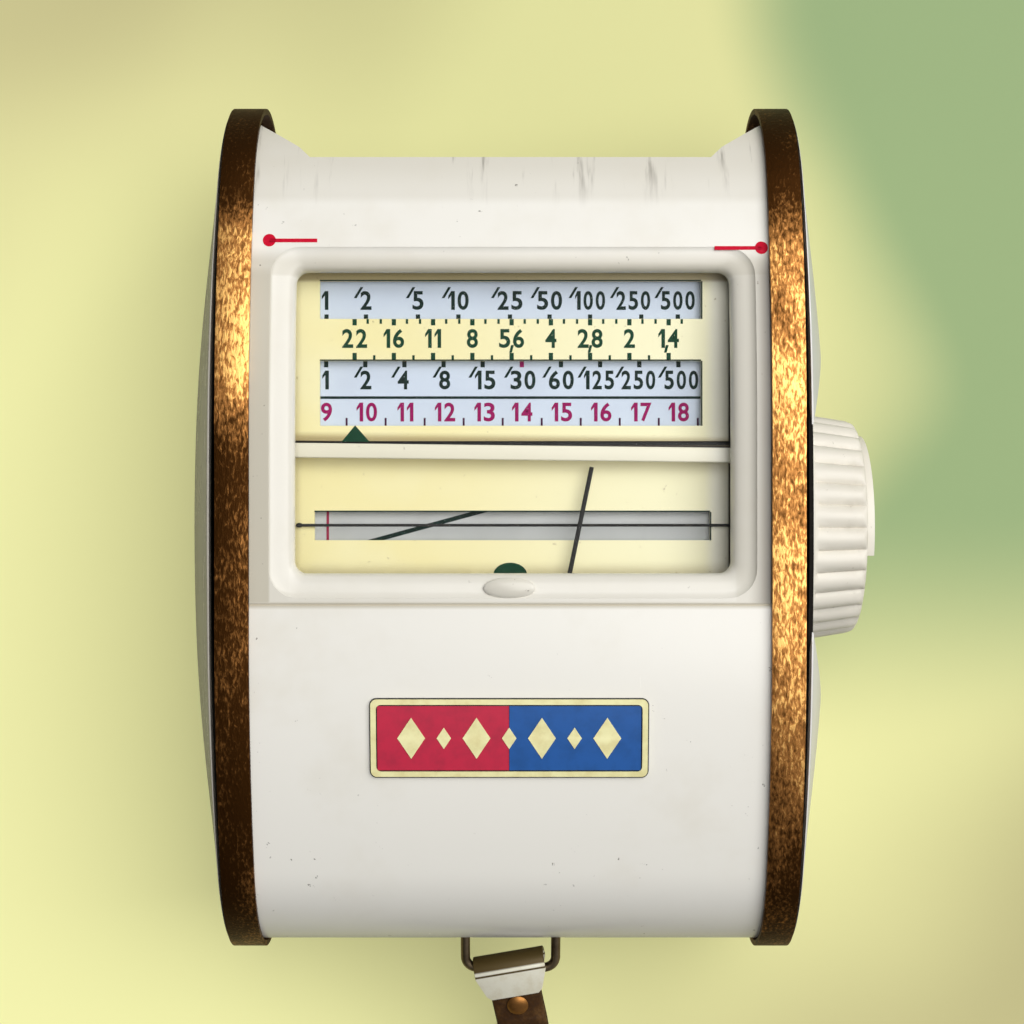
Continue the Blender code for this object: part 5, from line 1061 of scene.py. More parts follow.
def turned_on_knob(profile: Sequence[Point2], steps: int) -> Mesh:
    """A turned shape about the knob's axis, whose profile is radius and X."""
    mesh = lathe(profile, steps)
    mesh.transform(Matrix.Translation((0, 0, MIDDLE)) @ Axis.X.turn)
    return mesh


def welded(source: Mesh) -> Mesh:
    """The mesh with its doubled points merged and its faces turned outwards."""
    bm = bmesh.new()
    bm.from_mesh(source)
    bmesh.ops.remove_doubles(bm, verts=bm.verts, dist=1e-7)
    name = source.name
    bpy.data.meshes.remove(source)
    return mesh_of(bm, name)


def curve_mesh(curve: bpy.types.Curve) -> Mesh:
    """The welded mesh of a curve or a line of text."""
    shown = placed("outline", curve)
    graph = bpy.context.evaluated_depsgraph_get()
    mesh = bpy.data.meshes.new_from_object(shown.evaluated_get(graph))
    bpy.data.objects.remove(shown, do_unlink=True)
    mesh.materials.clear()
    return welded(mesh)


def prism(
    loops: Iterable[Sequence[Point2]], low: float, high: float, along: Axis
) -> Mesh:
    """A flat outline, with further loops as holes, drawn out from low to high along an axis."""
    curve = bpy.data.curves.new("prism", "CURVE")
    curve.dimensions = "2D"
    curve.fill_mode = "BOTH"
    curve.extrude = (high - low) / 2
    for loop in loops:
        spline = curve.splines.new("POLY")
        spline.points.add(len(loop) - 1)
        for each, (x, y) in zip(spline.points, loop):
            each.co = (x, y, 0, 1)
        spline.use_cyclic_u = True
    mesh = curve_mesh(curve)
    mesh.transform(along.turn @ Matrix.Translation((0, 0, (high + low) / 2)))
    return mesh


def tube_along(
    points: Sequence[Sequence[float]], radius: float, sides: int = 16, closed: bool = False
) -> Mesh:
    """A round wire through the points."""
    curve = bpy.data.curves.new("wire", "CURVE")
    curve.dimensions = "3D"
    curve.bevel_depth = radius
    curve.bevel_resolution = sides // 4
    curve.use_fill_caps = not closed
    spline = curve.splines.new("POLY")
    spline.points.add(len(points) - 1)
    for each, point in zip(spline.points, points):
        each.co = (*point, 1)
    spline.use_cyclic_u = closed
    return curve_mesh(curve)


def ribbon(
    route: Sequence[Vector], faces: Sequence[Vector], width: float, thickness: float
) -> Mesh:
    """A flat strip with rounded edges along a route.

    Args:
        route: The middle of the strip.
        faces: The direction that its face looks in at each point.
        width: Its width.
        thickness: Its thickness.

    Returns:
        The closed mesh.
    """
    soft = thickness * 0.35
    section = round_rectangle(width, thickness, soft, corner_steps=3, side_steps=4)
    loops = []
    for i, point in enumerate(route):
        ahead = route[min(i + 1, len(route) - 1)] - route[max(i - 1, 0)]
        ahead.normalize()
        normal = (faces[i] - faces[i].dot(ahead) * ahead).normalized()
        across = ahead.cross(normal)
        loops.append([point + across * a + normal * b for a, b in section])
    return loft(loops)


def joined(meshes: Sequence[Mesh]) -> Mesh:
    """One mesh that holds several."""
    bm = bmesh.new()
    for mesh in meshes:
        bm.from_mesh(mesh)
        bpy.data.meshes.remove(mesh)
    return mesh_of(bm, "joined")


class SubAssembly:
    """A group of pieces that is built together and reported piece by piece."""

    ROUNDED_FROM = radians(40)

    def add(
        self,
        name: str,
        mesh: Mesh,
        finish: Finish,
        body: Body,
        slot: str,
        replaces: Sequence[str] = (),
        place: Matrix | None = None,
        sharp: float = 35.0,
    ) -> bpy.types.Object:
        """Makes a piece, sets its finish and lets it ride on its body.

        Args:
            name: The piece's name.
            mesh: Its mesh, in the case's axes.
            finish: Its finish.
            body: The CAD body that it rides on.
            slot: A material slot's name, which is not used.
            replaces: CAD nodes that it stands for.
            place: Where the mesh lies in the case, if not as drawn.
            sharp: Edges steeper than this many degrees stay sharp.

        Returns:
            The piece.
        """
        piece = self.shape(name, mesh, place)
        self.settle(piece, sharp)
        piece.data.materials.clear()
        piece.data.materials.append(finish.material())
        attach(piece, body.value)
        if replaces:
            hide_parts(*replaces)
        LOG.info("%s: %d faces on %s", name, len(piece.data.polygons), body.value)
        return piece

    @staticmethod
    def shape(name: str, mesh: Mesh, place: Matrix | None = None) -> bpy.types.Object:
        """An object in the scene at the case's place."""
        piece = placed(name, mesh)
        piece.matrix_world = Matrix.Translation(CASE_PLACE) @ (place or Matrix.Identity(4))
        return piece

    @staticmethod
    def settle(piece: bpy.types.Object, sharp: float) -> None:
        """Applies a piece's modifiers and smooths its shading."""
        if piece.modifiers:
            graph = bpy.context.evaluated_depsgraph_get()
            mesh = bpy.data.meshes.new_from_object(piece.evaluated_get(graph))
            piece.modifiers.clear()
            piece.data = mesh
        piece.data.shade_smooth()
        piece.data.set_sharp_from_angle(angle=radians(sharp))

    def carved(
        self,
        mesh: Mesh,
        cuts: Sequence[Mesh] = (),
        unions: Sequence[Mesh] = (),
        keeps: Sequence[Mesh] = (),
        bevel: float = 0.0,
        segments: int = 2,
    ) -> Mesh:
        """A mesh with others cut from it, joined to it or kept in common with it.

        Args:
            mesh: The mesh to work on.
            cuts: Shapes to cut away.
            unions: Shapes to join.
            keeps: Shapes to keep only what is shared with.
            bevel: Width of a rounding on its edges afterwards.
            segments: Facets across the rounding.

        Returns:
            The finished mesh.
        """
        work = placed("work", mesh)
        tools = []
        plan = (("DIFFERENCE", cuts), ("UNION", unions), ("INTERSECT", keeps))
        for operation, others in plan:
            for other in others:
                tool = placed("tool", other)
                step = work.modifiers.new("step", "BOOLEAN")
                step.operation = operation
                step.object = tool
                tools.append(tool)
        if bevel:
            weld = work.modifiers.new("weld", "WELD")
            weld.merge_threshold = 1e-6
            edge = work.modifiers.new("edge", "BEVEL")
            edge.width = bevel
            edge.segments = segments
            edge.limit_method = "ANGLE"
            edge.angle_limit = self.ROUNDED_FROM
        graph = bpy.context.evaluated_depsgraph_get()
        done = bpy.data.meshes.new_from_object(work.evaluated_get(graph))
        for each in (work, *tools):
            bpy.data.objects.remove(each, do_unlink=True)
        return done

    @staticmethod
    def dress(finish: Finish, *nodes: str) -> None:
        """Gives CAD nodes that stay as they are a better material."""
        for name in nodes:
            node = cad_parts[name]
            material = finish.material()
            if not node.material_slots:
                node.data.materials.append(material)
            for each in node.material_slots:
                each.material = material
            LOG.info("%s: CAD solid, %s", name, finish.name)


def box_mesh(low: Sequence[float], high: Sequence[float]) -> Mesh:
    """A box between two corners."""
    first, last = Vector(low), Vector(high)
    bm = bmesh.new()
    place = Matrix.Translation((first + last) / 2) @ Matrix.Diagonal((*(last - first), 1))
    bmesh.ops.create_cube(bm, size=1, matrix=place)
    return mesh_of(bm, "box")


def ball(centre: Sequence[float], size: Sequence[float], steps: int) -> Mesh:
    """A ball, stretched to three half widths."""
    bm = bmesh.new()
    place = Matrix.Translation(centre) @ Matrix.Diagonal((*size, 1))
    bmesh.ops.create_uvsphere(bm, u_segments=steps, v_segments=steps // 2, radius=1, matrix=place)
    return mesh_of(bm, "ball")


def rod_mesh(
    radius: float, low: float, high: float, centre: Sequence[float], along: Axis, steps: int = 48
) -> Mesh:
    """A plain round bar from low to high along an axis, about a centre."""
    mesh = lathe([(0, high), (radius, high), (radius, low), (0, low)], steps)
    mesh.transform(Matrix.Translation(Vector(centre)) @ along.turn)
    return mesh


@dataclass
class Studio:
    """The camera, the pale floor and the soft lamps."""

    CLOUD_REACH = 90.0
    GREEN_ACROSS = Fade(16.0, 30.0)
    GREEN_UP = Fade(-20.0, 4.0)
    BROWN = Fade(56.0, 98.0)
    # Painted shade towards the upper right, and a painted glow on the left that lightens the
    # object's shadow
    DIM = Fade(-30.0, 45.0, 0.2)
    LEFT_GLOW = Fade(-12.0, -34.0, 0.10)

    camera_x: float = 0.13 * MM
    camera_y: float = 1.34 * MM
    camera_height: float = 200.0 * MM
    focal_pixels: float = 2073.0
    image_pixels: float = 1024.0
    sensor: float = 36.0
    floor_size: float = 3.0
    floor_pale: Colour = (0.93, 0.92, 0.44)
    floor_green: Colour = (0.41, 0.55, 0.27)
    floor_brown: Colour = (0.60, 0.56, 0.28)
    floor_bounce: Colour = (0.42, 0.42, 0.36)
    # The painted glow that the camera sees all over the floor
    floor_glow: float = 0.27
    floor_gloss: float = 0.1
    softbox_place: Point3 = (0.26, 0.16, 0.55)
    softbox_size: Point2 = (0.58, 0.66)
    softbox_roll: float = radians(-15)
    softbox_power: float = 4.3
    room_dark: float = 0.06
    room_bright: float = 0.42

    def camera(self) -> None:
        """Sets the camera straight above the meter, as in the photograph."""
        data = bpy.data.cameras.new("camera")
        data.sensor_width = self.sensor
        data.lens = self.sensor * self.focal_pixels / self.image_pixels
        data.clip_start, data.clip_end = 0.01, 10.0
        camera = placed("camera", data)
        place = Vector((self.camera_x, self.camera_y, self.camera_height))
        camera.location = place + CASE_PLACE
        bpy.context.scene.camera = camera

    def floor(self) -> None:
        """Lays a wide pale floor under the meter."""
        half = self.floor_size / 2
        bm = bmesh.new()
        corners = [(-half, -half, 0), (half, -half, 0), (half, half, 0), (-half, half, 0)]
        bm.faces.new([bm.verts.new(corner) for corner in corners])
        floor = placed("floor", mesh_of(bm, "floor"))
        floor.data.materials.append(self.paper())

    def paper(self) -> Material:
        """Draws the floor: soft yellow and green clouds, which throw a duller light back, and
        painted light: a glow that only the camera sees, stronger on the left, which lightens the
        object's shadow, over painted shade towards the upper right.
        """
        graph = Graph("floor_paper")
        x, y = graph.axis(0), graph.axis(1)
        cloud = graph.sums("SUBTRACT", graph.noise(0.011, 2, 0.5), 0.5)
        across = graph.scaled(cloud, self.CLOUD_REACH, x)
        green = graph.times(graph.step(across, self.GREEN_ACROSS), graph.step(y, self.GREEN_UP))
        colour = graph.mix(green, self.floor_pale, self.floor_green)
        brown = graph.step(graph.off(y, across), self.BROWN)
        colour = graph.mix(brown, colour, self.floor_brown)
        shown = colour
        # Painted shade towards the upper right, and a dimming by the glow's share
        dim = graph.plus(graph.step(graph.plus(x, y), self.DIM), self.floor_glow)
        colour = graph.mix(dim, colour, (0.0, 0.0, 0.0))
        rays = graph.node("LightPath", {}).outputs
        kinds = ("Camera", "Glossy", "Transmission")
        seen = graph.plus(*(rays[f"Is {kind} Ray"] for kind in kinds))
        colour = graph.mix(seen, self.floor_bounce, colour)
        # Painted light: a glow that only the camera sees, stronger on the left, lightens the
        # object's shadow
        glow = graph.plus(graph.step(x, self.LEFT_GLOW), self.floor_glow)
        glow = graph.times(glow, rays["Is Camera Ray"])
        return graph.surface(
            base_color=colour,
            roughness=0.9,
            specular_ior_level=self.floor_gloss,
            emission_color=shown,
            emission_strength=glow,
        )

    def lamps(self) -> None:
        """Hangs one wide soft lamp overhead in a softly lit room."""
        lamp = bpy.data.lights.new("softbox", "AREA")
        lamp.shape = "RECTANGLE"
        lamp.size, lamp.size_y = self.softbox_size
        lamp.energy = self.softbox_power
        lamp.color = (1.0, 0.985, 0.96)
        softbox = placed("softbox", lamp)
        softbox.location = self.softbox_place
        aim = Vector((0, 0, MIDDLE)) - Vector(self.softbox_place)
        turn = aim.to_track_quat("-Z", "Y") @ Quaternion((0, 0, 1), self.softbox_roll)
        softbox.rotation_euler = turn.to_euler()
        bpy.context.scene.world = self.room()
        bpy.context.scene.view_settings.view_transform = "Standard"

    def room(self) -> bpy.types.World:
        """Draws the room's own light, which is weaker from the left and from below the meter."""
        world = bpy.data.worlds.new("room")
        world.use_nodes = True
        tree = world.node_tree
        place = tree.nodes.new("ShaderNodeTexCoord").outputs["Generated"]
        across = tree.nodes.new("ShaderNodeVectorMath")
        across.operation = "DOT_PRODUCT"
        tree.links.new(place, across.inputs[0])
        across.inputs[1].default_value = (0.75, 0.45, 0.0)
        level = tree.nodes.new("ShaderNodeMapRange")
        tree.links.new(across.outputs["Value"], level.inputs["Value"])
        level.inputs["From Min"].default_value = -0.7
        level.inputs["From Max"].default_value = 0.35
        level.inputs["To Min"].default_value = self.room_dark
        level.inputs["To Max"].default_value = self.room_bright
        background = tree.nodes["Background"]
        background.inputs["Color"].default_value = (0.96, 0.98, 1.0, 1.0)
        tree.links.new(level.outputs["Result"], background.inputs["Strength"])
        return world


@dataclass
class CarryStrap(SubAssembly):
    """The wire ring, the folded clip with its rivet, and the leather wrist strap."""

    ring_axis: Point2 = (-33.5 * MM, 15.0 * MM)
    ring_reach: float = 6.7 * MM
    ring_half_width: float = 4.06 * MM
    ring_end: float = 1.2 * MM
    ring_corner: float = 1.1 * MM
    wire_radius: float = 0.42 * MM
    droop: float = radians(20)
    tilt: float = radians(11)
    clip_sheet: float = 0.35 * MM
    clip_half_gap: float = 0.95 * MM
    clip_fold_width: float = 6.4 * MM
    clip_tab_width: float = 5.1 * MM
    clip_back_width: float = 3.8 * MM
    clip_tab: float = 2.3 * MM
    clip_back_tab: float = 4.6 * MM
    rivet_drop: float = 3.4 * MM
    rivet_radius: float = 0.45 * MM
    rivet_head: float = 0.95 * MM
    strap_width: float = 4.5 * MM
    strap_thickness: float = 0.75 * MM
    strap_layer_gap: float = 0.12 * MM
    strap_start: float = 1.3 * MM
    strap_points: int = 220
    rest_gap: float = 0.2 * MM
    run: tuple[tuple[float, float, float, float], ...] = (
        (0.00112, -0.04520, 0.01072, 0.0),
        (0.00190, -0.04880, 0.00850, 0.35),
        (0.00270, -0.05260, 0.00500, 0.75),
        (0.00340, -0.05720, 0.00300, 1.0),
    )
    loop: tuple[Point2, ...] = (
        (0.00720, -0.06400),
        (0.01260, -0.07400),
        (0.01700, -0.08600),
        (0.01700, -0.09800),
        (0.01150, -0.10850),
        (0.00250, -0.11250),
        (-0.00650, -0.10800),
        (-0.01200, -0.09700),
        (-0.01150, -0.08500),
        (-0.00650, -0.07350),
        (-0.00080, -0.06400),
    )

    def swing(self) -> Matrix:
        """Carries the ring's flat drawing to where it droops at rest."""
        y, z = self.ring_axis
        return Matrix.Translation((0, y, z)) @ Matrix.Rotation(self.droop, 4, "X")

    def clip_place(self) -> Matrix:
        """Carries the clip's drawing to the ring's bar."""
        reach = Matrix.Translation((0, -self.ring_reach, 0))
        return self.swing() @ reach @ Matrix.Rotation(self.tilt, 4, "Z")

    def ring(self) -> None:
        """Bends the ring's wire: ends in the lug, two legs and a bar."""
        side, corner = self.ring_half_width, self.ring_corner
        upper = arc((side - corner, -corner), corner, pi / 2, 0, 8)
        low = -self.ring_reach + corner
        lower = arc((side - corner, low), corner, 0, -pi / 2, 8)
        half = [(self.ring_end, 0.0), *upper, *lower]
        outline = half + [(-x, y) for x, y in reversed(half)]
        mesh = tube_along([(x, y, 0) for x, y in outline], self.wire_radius, 24)
        self.add(
            "carry_ring_wire",
            mesh,
            BRONZE,
            Body.RING,
            "bronze_wire",
            ["strap_ring"],
            place=self.swing(),
        )

    def clip(self) -> None:
        """Folds the brass clip round the bar, and heads its rivet."""
        mid = self.clip_half_gap + self.clip_sheet / 2
        outer, inner = mid + self.clip_sheet / 2, mid - self.clip_sheet / 2
        fold = (self.clip_sheet / 2, 0.0)
        front, back = -self.clip_tab, -self.clip_back_tab
        over = arc(fold, outer, pi / 2, -pi / 2, 20)
        under = arc(fold, inner, -pi / 2, pi / 2, 20)
        side = [(front, outer), *over, (back, -outer), (back, -inner), *under, (front, inner)]
        half = self.clip_fold_width / 2
        sheet = prism([side], -half - MM, half + MM, Axis.X)
        tab, end, corner = self.clip_tab_width / 2, self.clip_tab + 0.1 * MM, 0.5 * MM
        narrow = self.clip_back_width / 2
        plan = [(half, 2 * MM), (half, 0), (tab, corner - end), (tab - corner, -end)]
        plan += [(narrow, -end), (narrow, -self.clip_back_tab - MM)]
        plan += [(-x, y) for x, y in reversed(plan)]
        keep = prism([plan], -3 * MM, 3 * MM, Axis.Z)
        centre = (0, -self.rivet_drop, 0)
        hole = rod_mesh(self.rivet_radius + 0.15 * MM, -3 * MM, 3 * MM, centre, Axis.Z, 32)
        mesh = self.carved(sheet, cuts=[hole], keeps=[keep], bevel=0.07 * MM)
        self.add(
            "folded_clip",
            mesh,
            CLIP_BRASS,
            Body.RING,
            "brass",
            ["strap_clip"],
            place=self.clip_place(),
        )
        self.rivet()

    def rivet(self) -> None:
        """Turns the rivet with its two low heads."""
        head = self.strap_layer_gap / 2 + self.strap_thickness + 0.2 * MM
        foot = self.clip_half_gap + self.clip_sheet + 0.2 * MM
        rise, wide, shank = 0.3 * MM, self.rivet_head, self.rivet_radius
        profile = [(0, head + rise), (wide * 0.45, head + rise * 0.92)]
        profile += [(wide * 0.8, head + rise * 0.6), (wide, head + rise * 0.1), (wide, head)]
        profile += [(shank, head), (shank, -foot), (wide, -foot), (wide, -foot - rise * 0.4)]
        profile += [(wide * 0.7, -foot - rise), (0, -foot - rise)]
        mesh = lathe(profile, 40)
        place = self.clip_place() @ Matrix.Translation((0, -self.rivet_drop, 0))
        self.add(
            "clip_rivet_head", mesh, RIVET_BRASS, Body.RING, "brass", ["clip_rivet"], place=place
        )

    def strap_route(self) -> tuple[list[Vector], list[Vector]]:
        """The strap's middle line and the directions that its face looks in."""
        place = self.clip_place()
        turn = place.to_3x3()
        along, face = turn @ Vector((0, -1, 0)), turn @ Vector((0, 0, 1))
        bar = place.translation
        floor = self.strap_width / 2 + self.rest_gap
        layer = (self.strap_thickness + self.strap_layer_gap) / 2
        clipped = (self.strap_start, self.clip_back_tab)
        middles = [(bar + along * reach, face) for reach in clipped]
        for x, y, z, share in self.run:
            normal = face.lerp(Vector((1, 0, 0)), share).normalized()
            middles.append((Vector((x, y, max(z, floor))), normal))
        out = [(point + layer * normal, normal) for point, normal in middles]
        back = [(point - layer * normal, -normal) for point, normal in reversed(middles)]
        loop = [Vector((x, y, floor)) for x, y in self.loop]
        faces = [normal for _, normal in out]
        for i, _ in enumerate(loop):
            before = loop[i - 1] if i else out[-1][0]
            after = loop[i + 1] if i + 1 < len(loop) else back[0][0]
            heading = (after - before).normalized()
            faces.append(Vector((-heading.y, heading.x, 0)))
        faces += [normal for _, normal in back]
        points = [point for point, _ in out] + loop + [point for point, _ in back]
        return smooth_route(points, self.strap_points), smooth_route(faces, self.strap_points)

    def strap(self) -> None:
        """Lays the wrist strap: doubled in the clip, twisted, and looped on the table."""
        route, faces = self.strap_route()
        mesh = ribbon(route, faces, self.strap_width, self.strap_thickness)
        piece = self.shape("wrist_strap", mesh)
        self.settle(piece, 50.0)
        piece.data.materials.append(LEATHER.material())
        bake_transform(piece)
        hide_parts("strap")

    def build(self) -> None:
        """Builds the ring, the clip and the strap."""
        self.ring()
        self.clip()
        self.strap()
        self.dress(STAMPED_BRASS, "ring_lug")


def on_front(loops: Sequence[Sequence[Point2]], low: float, high: float) -> Mesh:
    """A flat plate bent to the case's front.

    Args:
        loops: Its outline and holes.
        low: Where its underside lies above the white mouldings.
        high: Where its top lies above them.

    Returns:
        The bent plate.
    """
    bm = bmesh.new()
    bm.from_mesh(prism(loops, 0, 1, Axis.Z))
    heights = [vertex.co.y for vertex in bm.verts]
    bottom, span = min(heights), max(heights) - min(heights)
    for i in range(1, 8):
        place = (0, bottom + span * i / 8, 0)
        geometry = bm.verts[:] + bm.edges[:] + bm.faces[:]
        bmesh.ops.bisect_plane(bm, geom=geometry, plane_co=place, plane_no=(0, 1, 0))
    for vertex in bm.verts:
        height = low if vertex.co.z < 0.5 else high
        vertex.co.z = SHAPE.front(vertex.co.y, BAND_STAND) + height
    return mesh_of(bm, "bent")


@dataclass
class Housing(SubAssembly):
    """The two white mouldings with the window's rolled surround."""

    half_width: float = 24.3 * MM
    wall: float = 1.8 * MM
    seam_y: float = -6.3 * MM
    seam: float = 0.2 * MM
    window_width: float = 36.2 * MM
    window_height: float = 25.15 * MM
    window_centre: Point2 = (0.2 * MM, 8.825 * MM)
    window_corner: float = 1.0 * MM
    dish: tuple[Point2, ...] = (
        (0.00, 1.50),
        (0.02, 1.22),
        (0.09, 0.98),
        (0.20, 0.78),
        (0.36, 0.62),
        (0.58, 0.50),
        (0.85, 0.41),
        (1.15, 0.34),
        (1.45, 0.28),
        (1.68, 0.22),
        (1.84, 0.14),
        (1.96, 0.07),
        (2.06, -0.03),
    )
    opening_half: float = 17.0 * MM
    lip_angles: Point2 = (radians(-42), radians(56))
    plug_place: Point2 = (-0.1 * MM, -4.95 * MM)
    plug_size: Point2 = (4.3 * MM, 1.75 * MM)
    plug_rise: float = 0.42 * MM
    plug_sink: float = 0.18 * MM
    ring_slot_x: float = 4.06 * MM
    ring_slot_end: float = -33.5 * MM
    ring_slot_half: Point2 = (0.72 * MM, 2.8 * MM)
    zero_place: Point3 = (0.8 * MM, -24.0 * MM, 0.0)
    zero_radius: float = 2.2 * MM
    dot_radius: float = 0.54 * MM
    dash_height: float = 0.32 * MM
    print_span: Point2 = (-0.25 * MM, 0.02 * MM)

    def tube(self) -> Mesh:
        """The full tube that both mouldings are cut from."""
        loops = [
            SHAPE.outline(BAND_STAND),
            SHAPE.outline(BAND_STAND + self.wall),
        ]
        return prism(loops, -self.half_width, self.half_width, Axis.X)

    def window_tool(self) -> Mesh:
        """The window's opening, in the round floor of a shallow dish."""
        loops = []
        for spread, sink in ((0.0, None), *self.dish):
            grow = 2 * spread * MM
            size = (self.window_width + grow, self.window_height + grow)
            corner = self.window_corner + 0.7 * spread * MM
            ring = round_rectangle(*size, corner, self.window_centre, 8, 24)
            if sink is None:
                loops.append([(x, y, MIDDLE) for x, y in ring])
                continue
            depth = BAND_STAND + sink * MM
            loops.append([(x, y, SHAPE.front(y, depth)) for x, y in ring])
        loops.append([(x, y, SHAPE.depth + MM) for x, y, _ in loops[-1]])
        return loft(loops)

    def cell_tool(self) -> Mesh:
        """The flared opening at the top end, in front of the light cell."""
        radius = SHAPE.end_radius - BAND_STAND
        low, high = (MIDDLE + radius * sin(turn) for turn in self.lip_angles)
        lip = SHAPE.end_y + radius * cos(self.lip_angles[1])
        half = self.opening_half
        side = [(half, SHAPE.end_y), (half, lip)]
        side += [(half + 1.0 * MM, lip + 1.0 * MM), (half + 5.6 * MM, lip + 4.0 * MM)]
        side += [(half + 5.6 * MM, SHAPE.length)]
        return prism([side + [(-x, y) for x, y in reversed(side)]], low, high, Axis.Z)

    def plug(self) -> Mesh:
        """The soft oval boss below the window."""
        x, y = self.plug_place
        height = SHAPE.front(y, BAND_STAND)
        wide, tall = self.plug_size
        size = (wide / 2, tall / 2, self.plug_rise)
        return ball((x, y, height - self.plug_sink), size, 48)

    def window_frame(self) -> None:
        """Cuts the front moulding."""
        far, wide = SHAPE.length, self.half_width + MM
        half = self.seam / 2
        below = box_mesh((-wide, -far, -MM), (wide, far, MIDDLE + half))
        lower = box_mesh((-wide, -far, 0), (wide, self.seam_y + half, 2 * MIDDLE + MM))
        cuts = [below, lower, self.cell_tool(), self.window_tool()]
        mesh = self.carved(self.tube(), cuts=cuts, unions=[self.plug()])
        self.add(
            "window_surround", mesh, WHITE, Body.CASE, "white_plastic", ["window_frame"], sharp=28
        )

    def rear_housing(self) -> None:
        """Cuts the rear moulding, which wraps round the bottom end."""
        far, wide = SHAPE.length, self.half_width + MM
        half = self.seam / 2
        top = (wide, far, 2 * MIDDLE + MM)
        upper = box_mesh((-wide, self.seam_y - half, MIDDLE - half), top)
        cuts = [upper, self.cell_tool(), *self.ring_slots(), self.zero_hole()]
        mesh = self.carved(self.tube(), cuts=cuts)
        self.add(
            "rear_moulding", mesh, WHITE, Body.CASE, "white_plastic", ["rear_housing"], sharp=28
        )

    def seam_filling(self) -> None:
        """Lays the soiled edge of the inner frame that shows in the front seam."""
        half, top = self.seam * 0.6, 2 * MIDDLE + MM
        wide = self.half_width - 0.4 * MM
        keep = box_mesh((-wide, self.seam_y - half, MIDDLE), (wide, self.seam_y + half, top))
        loops = [SHAPE.outline(BAND_STAND + inset) for inset in (0.1 * MM, 1.2 * MM)]
        mesh = self.carved(prism(loops, -wide, wide, Axis.X), keeps=[keep])
        self.add("seam_filling", mesh, SEAM_GREY, Body.CASE, "white_plastic")

    def ring_slots(self) -> list[Mesh]:
        """The slots that the ring's legs swing in."""
        tools = []
        half, tall = self.ring_slot_half
        for side in Side:
            x = side.value * self.ring_slot_x
            low = (x - half, -SHAPE.length, MIDDLE - tall)
            tools.append(box_mesh(low, (x + half, self.ring_slot_end, MIDDLE + tall)))
        return tools

    def zero_hole(self) -> Mesh:
        """The hole in the back for the zero screw."""
        return rod_mesh(self.zero_radius, -MM, 6 * MM, self.zero_place, Axis.Z)

    def marks(self) -> None:
        """Prints the two red index marks beside the window."""
        shapes = []
        for dot, tip, y in ((-20.1, -16.1, 24.0), (20.9, 17.0, 23.35)):
            ends = sorted((dot * MM, tip * MM))
            middle = (sum(ends) / 2, (y - 0.02) * MM)
            line = rectangle(ends[1] - ends[0], self.dash_height, middle)
            for loop in (circle(self.dot_radius, (dot * MM, y * MM), 32), line):
                shapes.append(on_front([loop], *self.print_span))
        self.add("index_marks", joined(shapes), RED_INK, Body.CASE, "red_blue_enamel")

    def build(self) -> None:
        """Builds both mouldings and the marks printed on them."""
        self.window_frame()
        self.rear_housing()
        self.seam_filling()
        self.marks()


